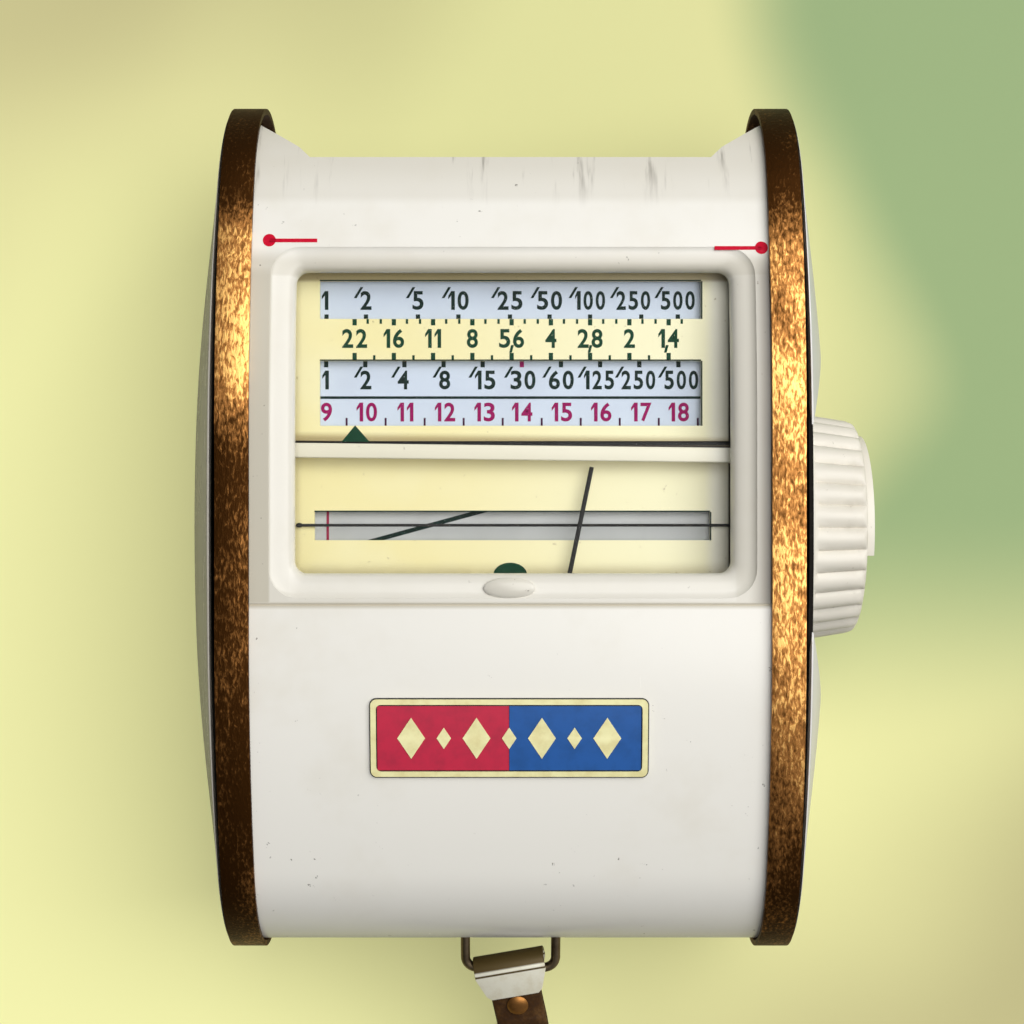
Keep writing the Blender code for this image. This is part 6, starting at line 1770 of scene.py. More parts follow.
@dataclass
class SideTrim(SubAssembly):
    """The brass band, black liner and domed cover of each side."""

    half_width: float = 24.3 * MM
    band_width: float = 2.8 * MM
    band_wall: float = 0.5 * MM
    liner_low: float = 23.9 * MM
    liner_rise: float = 1.2 * MM
    liner_thickness: float = 0.35 * MM
    liner_inset: float = 1.5 * MM
    cover_low: float = 24.4 * MM
    cover_foot: float = 0.4 * MM
    cover_edge: float = 0.6 * MM
    cover_rise: float = 2.9 * MM
    cover_inset: float = 0.3 * MM
    cover_wall: float = 1.0 * MM
    cover_skin: float = 0.6 * MM
    crown_draw: float = 0.9
    lens_span: float = 36.06 * MM
    lens_rings: int = 16
    cut_radius: float = 17.0 * MM

    def ends(self, side: Side, low: float, high: float) -> Point2:
        """A stretch of X on one side, in rising order."""
        return tuple(sorted((side.value * low, side.value * high)))

    def band(self, side: Side) -> None:
        """Bends one brass band round the case."""
        loops = [SHAPE.outline(0), SHAPE.outline(self.band_wall)]
        low, high = self.ends(side, self.half_width - self.band_width, self.half_width)
        mesh = self.carved(prism(loops, low, high, Axis.X), bevel=0.13 * MM, segments=3)
        name = f"trim_band_{side.word}"
        self.add(f"brass_{name}", mesh, BAND_BRASS[side], Body.CASE, "aged_brass", [name])

    def liner(self, side: Side) -> None:
        """Moulds one black liner, bowed like the cover, with its spigot."""
        low, rise = self.liner_low, self.liner_rise
        inner = self.dome(side, self.liner_inset, low - self.liner_thickness, rise, rise)
        outer = self.dome(side, self.liner_inset, low, rise, rise)
        plate = bridged([*reversed(inner), *outer])
        loops = [SHAPE.outline(2.7 * MM), SHAPE.outline(3.9 * MM)]
        spigot = prism(loops, *self.ends(side, 23.3 * MM, low), Axis.X)
        cuts = []
        if side is Side.RIGHT:
            cuts.append(rod_mesh(2.8 * MM, 20 * MM, 30 * MM, (0, 0, MIDDLE), Axis.X, 64))
        mesh = self.carved(plate, cuts=cuts, unions=[spigot])
        name = f"side_liner_{side.word}"
        self.add(f"black_{name}", mesh, LINER_BLACK, Body.CASE, "black_plastic", [name], sharp=30)

    def ring(self, side: Side, inset: float, low: float, rise: float, up: float) -> list[Point3]:
        """One loop of the lens-like dome.

        Args:
            side: The side of the case.
            inset: How far it is drawn in from the case's outline.
            low: Where the dome's foot lies from the case's middle.
            rise: The dome's full rise.
            up: The loop's share of the rise.

        Returns:
            Its points, lower towards both ends of the case.
        """
        outline = SHAPE.outline(inset)
        points = []
        for i, (y, z) in enumerate(outline):
            points.append((y, z))
            after = outline[(i + 1) % len(outline)]
            if after[1] == z:
                points += between((y, z), after, 8)
        arch = [max(0.0, 1 - (y / self.lens_span) ** 2) for y, _ in points]
        return [(side.value * (low + rise * up * a), y, z) for a, (y, z) in zip(arch, points)]

    def dome(
        self, side: Side, inset: float, low: float, foot: float, rise: float
    ) -> list[list[Point3]]:
        """Loops of the dome from its rim to its crown.

        Args:
            side: The side of the case.
            inset: How far its rim is drawn in from the case's outline.
            low: Where its ends lie from the case's middle.
            foot: How far its rim rises above the ends, halfway along the case.
            rise: How far its crown does.
        """
        loops = []
        for i in range(self.lens_rings + 1):
            draw = self.crown_draw * (i / self.lens_rings) ** 1.4
            drawn = inset + draw * (SHAPE.end_radius - inset)
            up = 1 - (1 - draw / self.crown_draw) ** 2
            loops.append(self.ring(side, drawn, low, foot + (rise - foot) * up, 1))
        return loops

    def knob_cuts(self, direction: int) -> list[Mesh]:
        """Cuts the knob's clearance, and the half of a cover that another piece takes."""
        near, far = 20 * MM, 32 * MM
        low, high = sorted((0.0, -direction * 50 * MM))
        half = box_mesh((near, low, -2 * MM), (far, high, 32 * MM))
        return [rod_mesh(self.cut_radius, near, far, (0, 0, MIDDLE), Axis.X, 128), half]

    def cover(self, side: Side, name: str, cuts: Sequence[Mesh] = ()) -> None:
        """Moulds one domed cover, hollow behind, whose lip reaches down round the liner.

        Args:
            side: The side of the case.
            name: The CAD node that it replaces.
            cuts: Shapes that are cut from it.
        """
        low, foot, edge, soft = self.cover_low, self.cover_foot, self.cover_edge, 0.15 * MM
        rim = [self.ring(side, self.cover_inset, low, foot, 1)]
        for i in range(5):
            turn = pi / 2 * i / 5
            inset = self.cover_inset + soft * (1 - cos(turn))
            rim.append(self.ring(side, inset, low, edge - soft * (1 - sin(turn)), 1))
        dome = self.dome(side, self.cover_inset + soft, low, edge, self.cover_rise)
        inset, thin = self.cover_inset + self.cover_wall, self.cover_skin
        inside = self.dome(side, inset, low - thin, edge, self.cover_rise - 0.3 * MM)
        start = [(x - side.value * 2 * MM, y, z) for x, y, z in inside[0]]
        mesh = self.carved(bridged([*rim, *dome]), cuts=[bridged([start, *inside]), *cuts])
        # The left cover takes the darker copy, which is painted shade
        finish = COVER_SHADE if side is Side.LEFT else COVER_WHITE
        self.add(f"domed_{name}", mesh, finish, Body.CASE, "grey_plastic", [name], sharp=30)

    def build(self) -> None:
        """Builds both sides; the knob's cut-out leaves the right cover in two pieces."""
        for side in Side:
            self.band(side)
            self.liner(side)
        self.cover(Side.LEFT, "side_cover_left")
        for part, direction in (("upper", 1), ("lower", -1)):
            self.cover(Side.RIGHT, f"side_cover_right_{part}", self.knob_cuts(direction))


@dataclass
class Badge(SubAssembly):
    """The small curved plate below the window: plain enamel fields in a gilt border."""

    centre: Point2 = (-0.1 * MM, -17.35 * MM)
    width: float = 23.1 * MM
    height: float = 6.7 * MM
    corner: float = 0.6 * MM
    outline: float = 0.1 * MM
    border: float = 0.45 * MM
    stand: float = 0.22 * MM

    def build(self) -> None:
        """Builds the border, the two enamel fields and a row of gilt lozenges."""
        line = self.outline
        base = round_rectangle(self.width, self.height, self.corner, self.centre)
        wide, tall = self.width - 2 * line, self.height - 2 * line
        outer = round_rectangle(wide, tall, self.corner - line, self.centre)
        inner_width, inner_height = wide - 2 * self.border, tall - 2 * self.border
        inner = round_rectangle(inner_width, inner_height, 0.4 * MM, self.centre)
        slots = {"body": Body.CASE, "slot": "red_blue_enamel"}
        mesh = on_front([base], 0.01 * MM, 0.1 * MM)
        self.add("badge_base", mesh, BLACK_ENAMEL, replaces=["name_plate"], sharp=30, **slots)
        mesh = on_front([outer, inner], 0.05 * MM, self.stand + 0.12 * MM)
        self.add("badge_border", mesh, BADGE_CREAM, sharp=30, **slots)
        x, y = self.centre
        half, tall = inner_width / 2 - line, inner_height - 2 * line
        for name, finish, side in (
            ("badge_field_red", BADGE_RED, Side.LEFT),
            ("badge_field_blue", BADGE_BLUE, Side.RIGHT),
        ):
            gap = side.value * 0.02 * MM
            a, b = sorted((gap, side.value * half))
            mesh = on_front([rectangle(b - a, tall, (x + (a + b) / 2, y))], 0.05 * MM, self.stand)
            self.add(name, mesh, finish, sharp=30, **slots)
        shapes = []
        for i in range(7):
            size = (1.15 if i % 2 == 0 else 0.6) * MM
            cx = x + (i - 3) * 2.7 * MM
            lozenge = [(cx - size, y), (cx, y - 1.5 * size), (cx + size, y), (cx, y + 1.5 * size)]
            shapes.append(on_front([lozenge], self.stand - 0.05 * MM, self.stand + 0.05 * MM))
        self.add("badge_lozenges", joined(shapes), BADGE_CREAM, sharp=30, **slots)


@dataclass
class DialWindow(SubAssembly):
    """The pane, the dial plates with their printing, the crossbar and the sliding scale."""

    # Outlines in millimetres: the comma from the baseline, the stroke from the figures' top
    COMMA = ((-0.05, 0.24), (-0.20, -0.40), (0.02, -0.40), (0.19, 0.24))
    SLASH = ((-0.56, -0.60), (-0.32, -0.60), (0.24, 0.34), (0.0, 0.34))
    # Left, right, low and high of each slot in the plates, in millimetres
    SLOTS = (
        (-16.15, 16.15, 17.70, 20.90),
        (-16.15, 16.15, 8.65, 14.15),
        (-16.6, 16.9, -1.05, 1.35),
    )
    SLOT_LINE = 0.11
    POINTER = ((-14.31, 7.29), (-11.93, 7.29), (-13.16, 8.68))
    BLOB = (0.3 * MM, 0.2 * MM, 0.14 * MM)

    dial_top: float = 24.4 * MM
    strip_top: float = 23.5 * MM
    print_rise: float = 0.02 * MM
    bar_width: float = 1.24 * MM
    bar_y: float = 6.315 * MM
    bar_tilt: float = radians(-0.66)
    wire_height: float = 24.7 * MM
    wire_radius: float = 0.12 * MM
    wire_y: float = 0.22 * MM
    wire_span: Point2 = (-18.0 * MM, 18.5 * MM)
    blob_inset: float = 0.15 * MM
    figure_height: float = 1.6 * MM
    figure_pitch: float = 3.325 * MM
    digit_width: float = 0.94 * MM
    one_width: float = 0.56 * MM
    digit_gap: float = 0.24 * MM
    stem: float = 0.3 * MM
    flag_drop: float = 0.42 * MM
    flag_thickness: float = 0.28 * MM
    flag_root: float = 0.38 * MM
    narrowing: float = 0.85
    font_cap: float = 0.73
    font_swell: float = 0.05 * MM
    thick_tick: float = 0.36 * MM
    thin_tick: float = 0.2 * MM

    def pane(self) -> None:
        """Bends the clear pane to the front's curve, with softly rounded edges."""
        outer, thickness = 2.7 * MM, 0.7 * MM
        low_y, high_y = -4.85 * MM, 22.15 * MM
        ys = [low_y + (high_y - low_y) * i / 24 for i in range(25)]
        over = [(y, SHAPE.front(y, outer)) for y in ys]
        under = [(y, SHAPE.front(y, outer + thickness)) for y in reversed(ys)]
        mesh = prism([over + under], -19.0 * MM, 19.4 * MM, Axis.X)
        self.add(
            "window_pane",
            self.carved(mesh, bevel=0.12 * MM),
            CLEAR,
            Body.CASE,
            "clear_plastic",
            ["window_glass"],
        )

    def bar(self) -> None:
        """Moulds the crossbar between the plates, with rounded edges and two feet."""
        half, top, under = 19.2 * MM, 26.35 * MM, 25.8 * MM
        foot, inner = self.dial_top + 0.2 * MM, 18.4 * MM
        outline = [(foot, -half), (top, -half), (top, half), (foot, half)]
        outline += [(foot, inner), (under, inner), (under, -inner), (foot, -inner)]
        half_tall = self.bar_width / 2
        mesh = prism([outline], -half_tall, half_tall, Axis.Y)
        mesh = self.carved(mesh, bevel=0.13 * MM, segments=3)
        mesh.transform(Matrix.Rotation(self.bar_tilt, 4, "Z"))
        mesh.transform(Matrix.Translation((0, self.bar_y, 0)))
        self.add("cream_crossbar", mesh, BAR_CREAM, Body.CASE, "cream_enamel", ["window_crossbar"])

    def printed(self, loop: Sequence[Point2], height: float) -> Mesh:
        """A thin layer of ink at a height."""
        return prism([loop], height, height + self.print_rise, Axis.Z)

    def digit(self, mark: str, left: float, low: float, width: float) -> list[Point2]:
        """The outline of a figure 1 or of a comma, which aren't taken from the font.

        Args:
            mark: The figure or the comma.
            left: The figure's left side, which a comma stands just before.
            low: The baseline.
            width: The figure's width.

        Returns:
            Its points.
        """
        if mark == ",":
            return shifted(self.COMMA, left - self.digit_gap / 2, low)
        right, stem, high = left + width, left + width - self.stem, low + self.figure_height
        flag = high - self.flag_drop
        body = [(stem, low), (right, low), (right, high), (stem, high), (left, flag)]
        return body + [(left, flag - self.flag_thickness), (stem, high - self.flag_root)]

    def figures(
        self, words: Sequence[tuple[str, float, float]], height: float
    ) -> list[Mesh]:
        """Flat printed figures.

        Args:
            words: Each figure's text, its digits' middle X and its baseline Y, in
                millimetres. A leading slash is drawn as a short stroke before the digits.
            height: The height that the print lies at.

        Returns:
            A mesh for each digit, comma and stroke.
        """
        shapes = []
        gap = self.digit_gap
        for text, x, y in words:
            digits = text.lstrip("/")
            share = self.narrowing if len(digits.replace(",", "")) > 2 else 1.0
            widths = dict.fromkeys(digits, share * self.digit_width)
            widths["1"] = share * self.one_width
            total = sum(widths[mark] + gap for mark in digits if mark != ",") - gap
            left, low = x * MM - total / 2, y * MM
            if text.startswith("/"):
                stroke = shifted(self.SLASH, left, low + self.figure_height)
                shapes.append(self.printed(stroke, height))
            for mark in digits:
                if mark in "1,":
                    loop = self.digit(mark, left, low, widths[mark])
                    shapes.append(self.printed(loop, height))
                else:
                    shapes.append(self.font_digit(mark, (left, low, height), widths[mark]))
                left += 0.0 if mark == "," else widths[mark] + gap
        return shapes

    def font_digit(self, mark: str, corner: Sequence[float], width: float) -> Mesh:
        """A digit of the built-in font, fitted to a width and the figures' height."""
        curve = bpy.data.curves.new("figure", "FONT")
        curve.body = mark
        curve.size = self.figure_height / self.font_cap
        curve.extrude = self.print_rise / 2
        curve.offset = self.font_swell
        curve.resolution_u = 6
        mesh = curve_mesh(curve)
        spans = [[v.co[i] for v in mesh.vertices] for i in (0, 1)]
        low = [min(span) for span in spans]
        size = [max(span) - min(span) for span in spans]
        mesh.transform(Matrix.Translation((-low[0], -low[1], 0)))
        fit = (width / size[0], self.figure_height / size[1], 1, 1)
        mesh.transform(Matrix.Diagonal(fit))
        x, y, z = corner
        mesh.transform(Matrix.Translation((x, y, z + self.print_rise / 2)))
        return mesh

    def ticks(
        self, places: Iterable[float], low: float, high: float, width: float, height: float
    ) -> list[Mesh]:
        """Printed ticks.

        Args:
            places: Their X, in millimetres.
            low: Their foot in Y, in millimetres.
            high: Their head, likewise.
            width: Their width in metres.
            height: The height that the print lies at, in metres.

        Returns:
            A mesh for each tick.
        """
        shapes = []
        for x in places:
            loop = rectangle(width, (high - low) * MM, (x * MM, (high + low) / 2 * MM))
            shapes.append(self.printed(loop, height))
        return shapes

    def fixed_print(self) -> None:
        """Prints the aperture figures and ticks on the upper plate."""
        top = self.dial_top
        pitch = self.figure_pitch / MM
        first = -13.20
        names = ("22", "16", "11", "8", "5,6", "4", "2,8", "2", "1,4")
        words = [(text, first + i * pitch, 15.24) for i, text in enumerate(names)]
        majors = [first + i * pitch for i in range(len(names))]
        thirds = [x + pitch * share for x in majors for share in (1 / 3, 2 / 3)]
        halves = [x + pitch / 2 for x in majors[:-1]]
        shapes = self.figures(words, top)
        shapes += self.ticks(majors, 17.15, 17.68, self.thick_tick, top)
        shapes += self.ticks(thirds[:-1], 17.28, 17.68, self.thin_tick, top)
        shapes += self.ticks(majors, 14.16, 14.82, self.thick_tick, top)
        shapes += self.ticks(halves, 14.16, 14.62, self.thin_tick, top)
        slots = {"body": Body.CASE, "slot": "cream_enamel"}
        self.add("aperture_figures", joined(shapes), GREEN_INK, sharp=30, **slots)
        mesh = self.printed(shifted(self.POINTER, 0, 0), top)
        self.add("value_pointer", mesh, GREEN_INK, **slots)

    def half_disc(self) -> None:
        """Prints the green half disc at the foot of the lower plate."""
        mesh = self.printed(arc((0, 0), 1.43 * MM, 0, pi, 24), self.dial_top)
        mesh.transform(Matrix.Diagonal((1, 0.72, 1, 1)))
        mesh.transform(Matrix.Translation((-0.02 * MM, -3.98 * MM, 0)))
        self.add("half_disc_mark", mesh, GREEN_INK, Body.CASE, "cream_enamel")

    def strip_print(self) -> None:
        """Prints the two rows of times, the line and the exposure values on the strip."""
        top = self.strip_top
        first, pitch = -15.69, 3.332
        cine = ("1", "/2", "/5", "/10", "/25", "/50", "/100", "/250", "/500")
        places = (-15.78, -12.30, -7.87, -4.43, -0.04, 3.33, 6.78, 10.46, 14.25)
        words = [(text, x, 18.55) for text, x in zip(cine, places)]
        times = ("1", "/2", "/4", "/8", "/15", "/30", "/60", "/125", "/250", "/500")
        middles = (-15.74, -12.31, -9.13, -5.60, -2.15, 1.07, 4.33, 7.54, 10.89, 14.55)
        words += [(text, x, 11.78) for text, x in zip(times, middles)]
        majors = [first + i * pitch for i in range(len(times))]
        red = majors.pop(5)
        shapes = self.figures(words, top)
        lines = (-15.66, *places[1:7], 11.14, places[8])
        shapes += self.ticks(lines, 17.66, 18.16, self.thick_tick, top)
        shapes += self.ticks(majors, 13.66, 14.18, self.thick_tick, top)
        shapes.append(self.printed(rectangle(38.6 * MM, 0.22 * MM, (0, 11.08 * MM)), top))
        slots = {"body": Body.SCALE, "slot": "pale_print"}
        self.add("time_figures", joined(shapes), BLACK_GREEN, sharp=30, **slots)
        marks = (-15.66, -12.23, -8.94, -5.57, -2.20, 1.00, 4.38, 7.73, 11.14, 14.33)
        shapes = self.figures([(str(9 + i), x, 9.05) for i, x in enumerate(marks)], top)
        shapes += self.ticks([red], 13.66, 14.18, self.thick_tick, top)
        self.add("value_figures", joined(shapes), MAGENTA_INK, sharp=30, **slots)
        halves = [-13.95 + i * 3.322 for i in range(10)]
        shapes = self.ticks(halves, 8.68, 9.35, self.thin_tick * 0.85, top)
        self.add("value_ticks", joined(shapes), PURPLE_INK, sharp=30, **slots)

    def slot_edges(self) -> None:
        """Blackens the upper and right edge of each slot in the plates."""
        wide, shapes = self.SLOT_LINE, []
        for left, right, low, high in self.SLOTS:
            for size, middle in (
                ((right - left, wide), ((left + right) / 2, high + wide / 2)),
                ((wide, high - low), (right + wide / 2, (low + high) / 2)),
            ):
                loop = shifted(rectangle(*size, middle), 0, 0)
                shapes.append(self.printed(loop, self.dial_top))
        self.add("slot_edges", joined(shapes), BLACK_GREEN, Body.CASE, "cream_enamel", sharp=30)

    def wire(self) -> None:
        """Draws the black index wire over the lower slot, with the blob that holds it."""
        y, z = self.wire_y, self.wire_height
        low, high = self.wire_span
        blob = ball((low + self.blob_inset, y, z), self.BLOB, 24)
        mesh = tube_along([(low, y, z), (high, y, z)], self.wire_radius)
        mesh = self.carved(mesh, unions=[blob])
        self.add("index_wire_drawn", mesh, PRINT_BLACK, Body.CASE, "black_enamel", ["index_wire"])

    def build(self) -> None:
        """Builds the window's pieces and dresses the plates that stay as solids."""
        self.pane()
        self.bar()
        self.fixed_print()
        self.half_disc()
        self.strip_print()
        self.slot_edges()
        self.wire()
        self.dress(CREAM, "upper_dial_plate", "lower_dial_plate")
        self.dress(STRIP_BLUE, "scale_slide")
        self.dress(BLACK_ENAMEL, "slide_rail_upper", "slide_rail_lower")
        self.dress(STEEL, "slide_follower_pin")


@dataclass
class Drum(SubAssembly):
    """The printed drum under the lower slot, with its slanting lines."""

    radius: float = 8.6 * MM
    half: float = 17.5 * MM
    wall: float = 0.6 * MM
    hub: float = 1.4 * MM
    line_rise: float = 0.015 * MM

    def shell(self) -> None:
        """Turns the hollow drum."""
        hub, half, wall = self.hub, self.half, self.wall
        inner = self.radius - wall
        profile = [(hub, half), (self.radius, half), (self.radius, -half), (hub, -half)]
        profile += [(hub, wall - half), (inner, wall - half), (inner, half - wall)]
        profile += [(hub, half - wall)]
        mesh = turned_on_knob(profile, 160)
        self.add("printed_drum", mesh, DRUM_GREY, Body.FILM, "pale_print", ["spiral_drum"])

    def wrapped(self, points: Sequence[Point2], width: float) -> Mesh:
        """A printed line on the drum through points of X and turn from the top."""
        rows = []
        for i, (x, turn) in enumerate(points):
            after = points[min(i + 1, len(points) - 1)]
            before = points[max(i - 1, 0)]
            dx, dt = after[0] - before[0], (after[1] - before[1]) * self.radius
            size = hypot(dx, dt)
            nx, nt = -dt / size * width / 2, dx / size * width / 2
            row = []
            for side, rise in ((1, 1), (-1, 1), (-1, -1), (1, -1)):
                angle = turn + side * nt / self.radius
                reach = self.radius + rise * self.line_rise
                y, z = reach * sin(angle), reach * cos(angle)
                row.append((x + side * nx, y, MIDDLE + z))
            rows.append(row)
        return loft(rows)

    def lines(self) -> None:
        """Prints three black curves and the red edge line round the drum."""
        curves = []
        for start in range(3):
            shares = [i / 60 for i in range(61)]
            first = start * 2 * pi / 3 - 0.25
            points = [((-15.5 + 29.0 * s) * MM, first + 0.92 * s) for s in shares]
            curves.append(self.wrapped(points, 0.37 * MM))
        slots = {"body": Body.FILM, "slot": "pale_print"}
        self.add("drum_curves", joined(curves), BLACK_GREEN, sharp=60, **slots)
        edge = [(-15.55 * MM, 2 * pi * i / 120) for i in range(121)]
        mesh = self.wrapped(edge, 0.22 * MM)
        self.add("drum_red_line", mesh, PALE_RED_INK, sharp=60, **slots)

    def build(self) -> None:
        """Builds the drum and its print."""
        self.shell()
        self.lines()
        self.dress(STEEL, "drum_shaft")
        self.dress(BRASS, "drum_bush")


@dataclass
class KnobSet(SubAssembly):
    """The fluted knob and the film speed disc in its face."""

    low: float = 25.3 * MM
    length: float = 5.1 * MM
    collar: float = 0.45 * MM
    radius: float = 10.2 * MM
    draft: float = 0.8 * MM
    edge: float = 0.6 * MM
    rim: float = 0.3 * MM
    flutes: int = 30
    flute_points: int = 12
    flute_depth: float = 0.5 * MM
    bore: float = 2.7 * MM
    back_radii: Point2 = (4.2 * MM, 7.9 * MM)
    back_depth: float = 2.6 * MM
    disc_thickness: float = 0.7 * MM
    disc_sink: float = 0.3 * MM
    pad_rise: float = 1.0 * MM
    pad_edge: float = -2.4 * MM

    @property
    def face(self) -> float:
        """Where the knob's face lies along X."""
        return self.low + self.length

    def ring(self, x: float, radius: float, depth: float) -> list[Point3]:
        """A ring of broad round ridges about the knob's axis."""
        count = self.flutes * self.flute_points
        points = []
        for i in range(count):
            turn = 2 * pi * i / count
            ridge = abs(cos(self.flutes * turn / 2)) ** 0.8
            reach = radius - depth * (1 - ridge)
            points.append((x, reach * cos(turn), MIDDLE + reach * sin(turn)))
        return points

    def knob(self) -> None:
        """Moulds the knob: a plain collar, tapering flutes and a rounded face edge."""
        top = self.radius - self.draft
        shoulder = self.face - self.edge
        start = self.low + self.collar
        loops = [
            self.ring(self.low, self.radius - 0.1 * MM, 0),
            self.ring(self.low + 0.08 * MM, self.radius, 0),
            self.ring(start - 0.05 * MM, self.radius, 0),
            self.ring(start + 0.05 * MM, self.radius - 0.12 * MM, 0.02 * MM),
            self.ring(start + 0.35 * MM, self.radius - 0.15 * MM, self.flute_depth),
        ]
        for i in range(1, 5):
            share = i / 4
            x = start + 0.35 * MM + share * (shoulder - start - 0.35 * MM)
            reach = self.radius - 0.15 * MM - share * 0.6 * MM
            loops.append(self.ring(x, reach, self.flute_depth))
        for i in range(1, 6):
            turn = pi / 2 * i / 5
            x = shoulder + self.edge * sin(turn)
            reach = top - self.edge * (1 - cos(turn))
            loops.append(self.ring(x, reach, self.flute_depth * cos(turn) ** 2))
        recess = top - self.edge - self.rim
        floor_x = self.face - self.disc_sink - self.disc_thickness - 0.8 * MM
        profile = [(0, self.face + MM), (recess, self.face + MM), (recess, floor_x)]
        profile += [(self.bore, floor_x), (self.bore, self.low - MM), (0, self.low - MM)]
        cut = turned_on_knob(profile, 96)
        (inner, outer), below, above = self.back_radii, self.low - MM, self.low + self.back_depth
        profile = [(outer, below), (outer, above), (inner, above), (inner, below)]
        back = turned_on_knob(profile, 64)
        mesh = self.carved(loft(loops), cuts=[cut, back])
        self.add("fluted_knob", mesh, IVORY, Body.KNOB, "ivory_plastic", ["knob"], sharp=32)

    def disc(self) -> None:
        """Moulds the disc with its raised half-moon pad."""
        top = self.face - self.disc_sink
        low = top - self.disc_thickness
        radius = self.radius - self.draft - self.edge - self.rim - 0.3 * MM
        profile = [(0, top), (radius - 0.15 * MM, top), (radius, top - 0.15 * MM), (radius, low)]
        profile += [(1.4 * MM, low), (1.4 * MM, low + 0.55 * MM), (0, low + 0.55 * MM)]
        plate = turned_on_knob(profile, 96)
        reach = radius - 0.1 * MM
        start = asin(self.pad_edge / reach)
        rim = [(b, MIDDLE + a) for a, b in arc((0, 0), reach, start, pi - start, 64)]
        pad = prism([rim], low + 0.3 * MM, top + self.pad_rise, Axis.X)
        pad = self.carved(pad, bevel=0.18 * MM, segments=3)
        mesh = self.carved(plate, unions=[pad])
        self.add(
            "film_disc",
            mesh,
            DISC_IVORY,
            Body.FILM,
            "ivory_plastic",
            ["film_speed_disc"],
            sharp=32,
        )

    def mark(self) -> None:
        """Paints the small red mark at the foot of the disc."""
        top = self.face - self.disc_sink
        loop = [(y * MM, MIDDLE + z * MM) for y, z in ((-6.9, -0.35), (-5.0, 0), (-6.9, 0.35))]
        mesh = prism([loop], top - 0.05 * MM, top + 0.03 * MM, Axis.X)
        self.add("film_disc_mark", mesh, RED_INK, Body.FILM, "ivory_plastic")

    def build(self) -> None:
        """Builds the knob and the disc, and dresses the drive behind them."""
        self.knob()
        self.disc()
        self.mark()
        self.dress(BRASS, "knob_sleeve", "sleeve_bush", "drive_gear", "cam_gear", "scale_cam")
        self.dress(STEEL, "disc_spring_washer", "cam_shaft")


@dataclass
class Movement(SubAssembly):
    """The needle and the moving-coil works behind the plates."""

    pivot: Point2 = (0.8 * MM, -24.0 * MM)
    hub_height: float = 20.45 * MM
    needle_height: float = 25.3 * MM
    needle_length: float = 29.75 * MM
    turn: float = radians(-11.74)

    def needle(self) -> None:
        """Bends the flat needle up from its hub to above the dial."""
        hub, top = 0.0, self.needle_height - self.hub_height
        route = smooth_route(
            [
                (0, 0.75 * MM, hub),
                (0, 4.0 * MM, hub),
                (0, 6.0 * MM, 0.12 * top),
                (0, 11.0 * MM, 0.88 * top),
                (0, 13.0 * MM, top),
                (0, self.needle_length, top),
            ],
            60,
        )
        loops = []
        for i, point in enumerate(route):
            share = i / (len(route) - 1)
            wide, thick = (0.50 - 0.13 * share) * MM, 0.26 * MM
            section = round_rectangle(wide, thick, 0.08 * MM, corner_steps=2)
            ahead = route[min(i + 1, len(route) - 1)] - route[max(i - 1, 0)]
            up = Vector((1, 0, 0)).cross(ahead).normalized()
            loops.append([point + Vector((a, 0, 0)) + up * b for a, b in section])
        arm = loft(loops)
        half, outer, bore = 0.25 * MM, 1.0 * MM, 0.45 * MM
        collar = lathe([(outer, half), (outer, -half), (bore, -half), (bore, half)], 40)
        tail = tube_along([(0, -0.75 * MM, 0), (0, -4.2 * MM, 0)], 0.18 * MM)
        weight = rod_mesh(0.5 * MM, -4.2 * MM, -2.8 * MM, (0, 0, 0), Axis.Y, 24)
        mesh = self.carved(collar, unions=[arm, tail, weight])
        place = Matrix.Translation((*self.pivot, self.hub_height))
        place = place @ Matrix.Rotation(self.turn, 4, "Z")
        self.add(
            "flat_needle", mesh, PRINT_BLACK, Body.NEEDLE, "black_enamel", ["needle"], place=place
        )

    def build(self) -> None:
        """Builds the needle and dresses the works."""
        self.needle()
        self.dress(COPPER, "moving_coil", "hairspring_upper", "hairspring_lower")
        self.dress(SOFT_IRON, "return_ring")
        self.dress(MAGNET, "core_magnet")
        self.dress(STAMPED_BRASS, "movement_base", "core_support", "movement_bridge")
        self.dress(BRASS, "jewel_screw_upper", "jewel_screw_lower", "zero_adjust_screw")
        self.dress(STAMPED_BRASS, "chassis_left", "chassis_right")


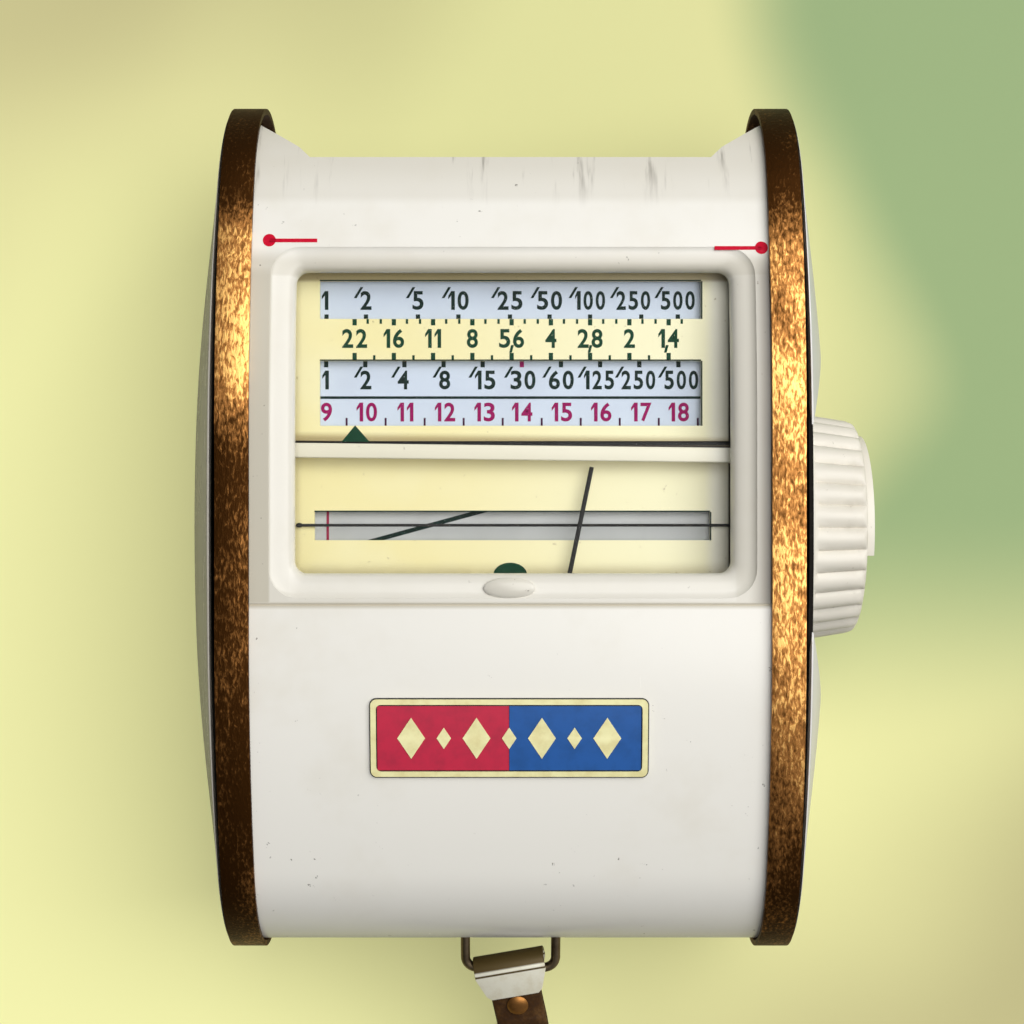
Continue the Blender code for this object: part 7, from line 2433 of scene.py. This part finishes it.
@dataclass
class CellEnd(SubAssembly):
    """The light cell behind its lenses, and the roller blind."""

    radius: float = 8.4 * MM
    wall: float = 0.8 * MM
    lead: float = -33.0
    tail: float = -143.0
    grip: float = -37.0
    slats: int = 20
    half: float = 17.9 * MM
    lens_width: float = 33.2 * MM
    lens_height: float = 12.4 * MM
    lens_base: float = 0.9 * MM
    lens_bulge: float = 0.6 * MM
    columns: int = 11
    rows: int = 4
    cell_steps: int = 12

    def polar(self, radius: float, degrees: float) -> Point2:
        """A point about the middle of the round top end, as Y and Z."""
        turn = radians(degrees)
        y = SHAPE.end_y + radius * cos(turn)
        return (y, MIDDLE + radius * sin(turn))

    def blind(self) -> None:
        """Moulds the slatted blind with its ribbed grip."""
        span = (self.lead - self.tail) / self.slats
        outline = []
        for i in range(self.slats):
            start = self.tail + i * span
            for share, sink in ((0.0, 0.3), (0.12, 0.08), (0.25, 0.0), (0.75, 0.0), (0.88, 0.08)):
                outline.append(self.polar(self.radius - sink * MM, start + share * span))
        outline.append(self.polar(self.radius - 0.3 * MM, self.lead))
        inner = self.radius - self.wall
        outline += [self.polar(inner, self.lead - i * span) for i in range(self.slats + 1)]
        blind = prism([outline], -self.half, self.half, Axis.X)
        side = ((8.0, 2.5), (9.7, 2.5), (10.0, 1.6))
        grip = [self.polar(radius * MM, self.grip - half) for radius, half in side]
        grip += [self.polar(radius * MM, self.grip + half) for radius, half in reversed(side)]
        rib = self.carved(prism([grip], -16.7 * MM, 16.7 * MM, Axis.X), bevel=0.1 * MM)
        mesh = self.carved(blind, unions=[rib])
        self.add(
            "slatted_blind",
            mesh,
            BLIND_WHITE,
            Body.BLIND,
            "white_plastic",
            ["roller_blind"],
            sharp=30,
        )

    def lenses(self) -> None:
        """Moulds the plate of small round lenses."""
        columns, rows = self.columns * self.cell_steps, self.rows * self.cell_steps
        bm = bmesh.new()
        bmesh.ops.create_grid(bm, x_segments=columns, y_segments=rows, size=0.5)
        back_y = SHAPE.end_y + 2.6 * MM
        for vertex in bm.verts:
            x, z = vertex.co.x * self.lens_width, vertex.co.y * self.lens_height
            u = (x / self.lens_width + 0.5) * self.columns % 1 - 0.5
            v = (z / self.lens_height + 0.5) * self.rows % 1 - 0.5
            swell = sqrt(max(0.0, 1 - 4.2 * (u * u + v * v)))
            vertex.co = (x, back_y + self.lens_base + self.lens_bulge * swell, MIDDLE + z)
        rim = [edge for edge in bm.edges if edge.is_boundary]
        made = bmesh.ops.extrude_edge_only(bm, edges=rim)["geom"]
        for vertex in (each for each in made if isinstance(each, bmesh.types.BMVert)):
            vertex.co.y = back_y
        bmesh.ops.edgeloop_fill(bm, edges=[edge for edge in bm.edges if edge.is_boundary])
        self.add(
            "lens_sheet",
            mesh_of(bm, "lenses"),
            LENSES,
            Body.CASE,
            "clear_plastic",
            ["lens_plate"],
            sharp=40,
        )

    def build(self) -> None:
        """Builds the blind and the lenses, and dresses the cell."""
        self.blind()
        self.lenses()
        self.dress(INNER_WHITE, "track_cheek_left", "track_cheek_right")
        self.dress(BLACK_PLASTIC, "cell_holder")
        self.dress(SELENIUM, "selenium_cell")
        self.dress(STAMPED_BRASS, "cell_contact")
        self.dress(RED_RUBBER, "cell_lead_positive")
        self.dress(BLACK_RUBBER, "cell_lead_negative")


def main() -> None:
    """Builds the camera and the strap first, then every sub-assembly, then the room."""
    logging.basicConfig(level=logging.INFO, format="%(name)s: %(message)s")
    random.seed(7)
    studio = Studio()
    studio.camera()
    sub_assemblies = (
        CarryStrap(),
        Housing(),
        SideTrim(),
        Badge(),
        DialWindow(),
        Drum(),
        KnobSet(),
        Movement(),
        CellEnd(),
    )
    for each in sub_assemblies:
        each.build()
        LOG.info("built %s", type(each).__name__)
    studio.floor()
    studio.lamps()


if __name__ == "__main__":
    main()
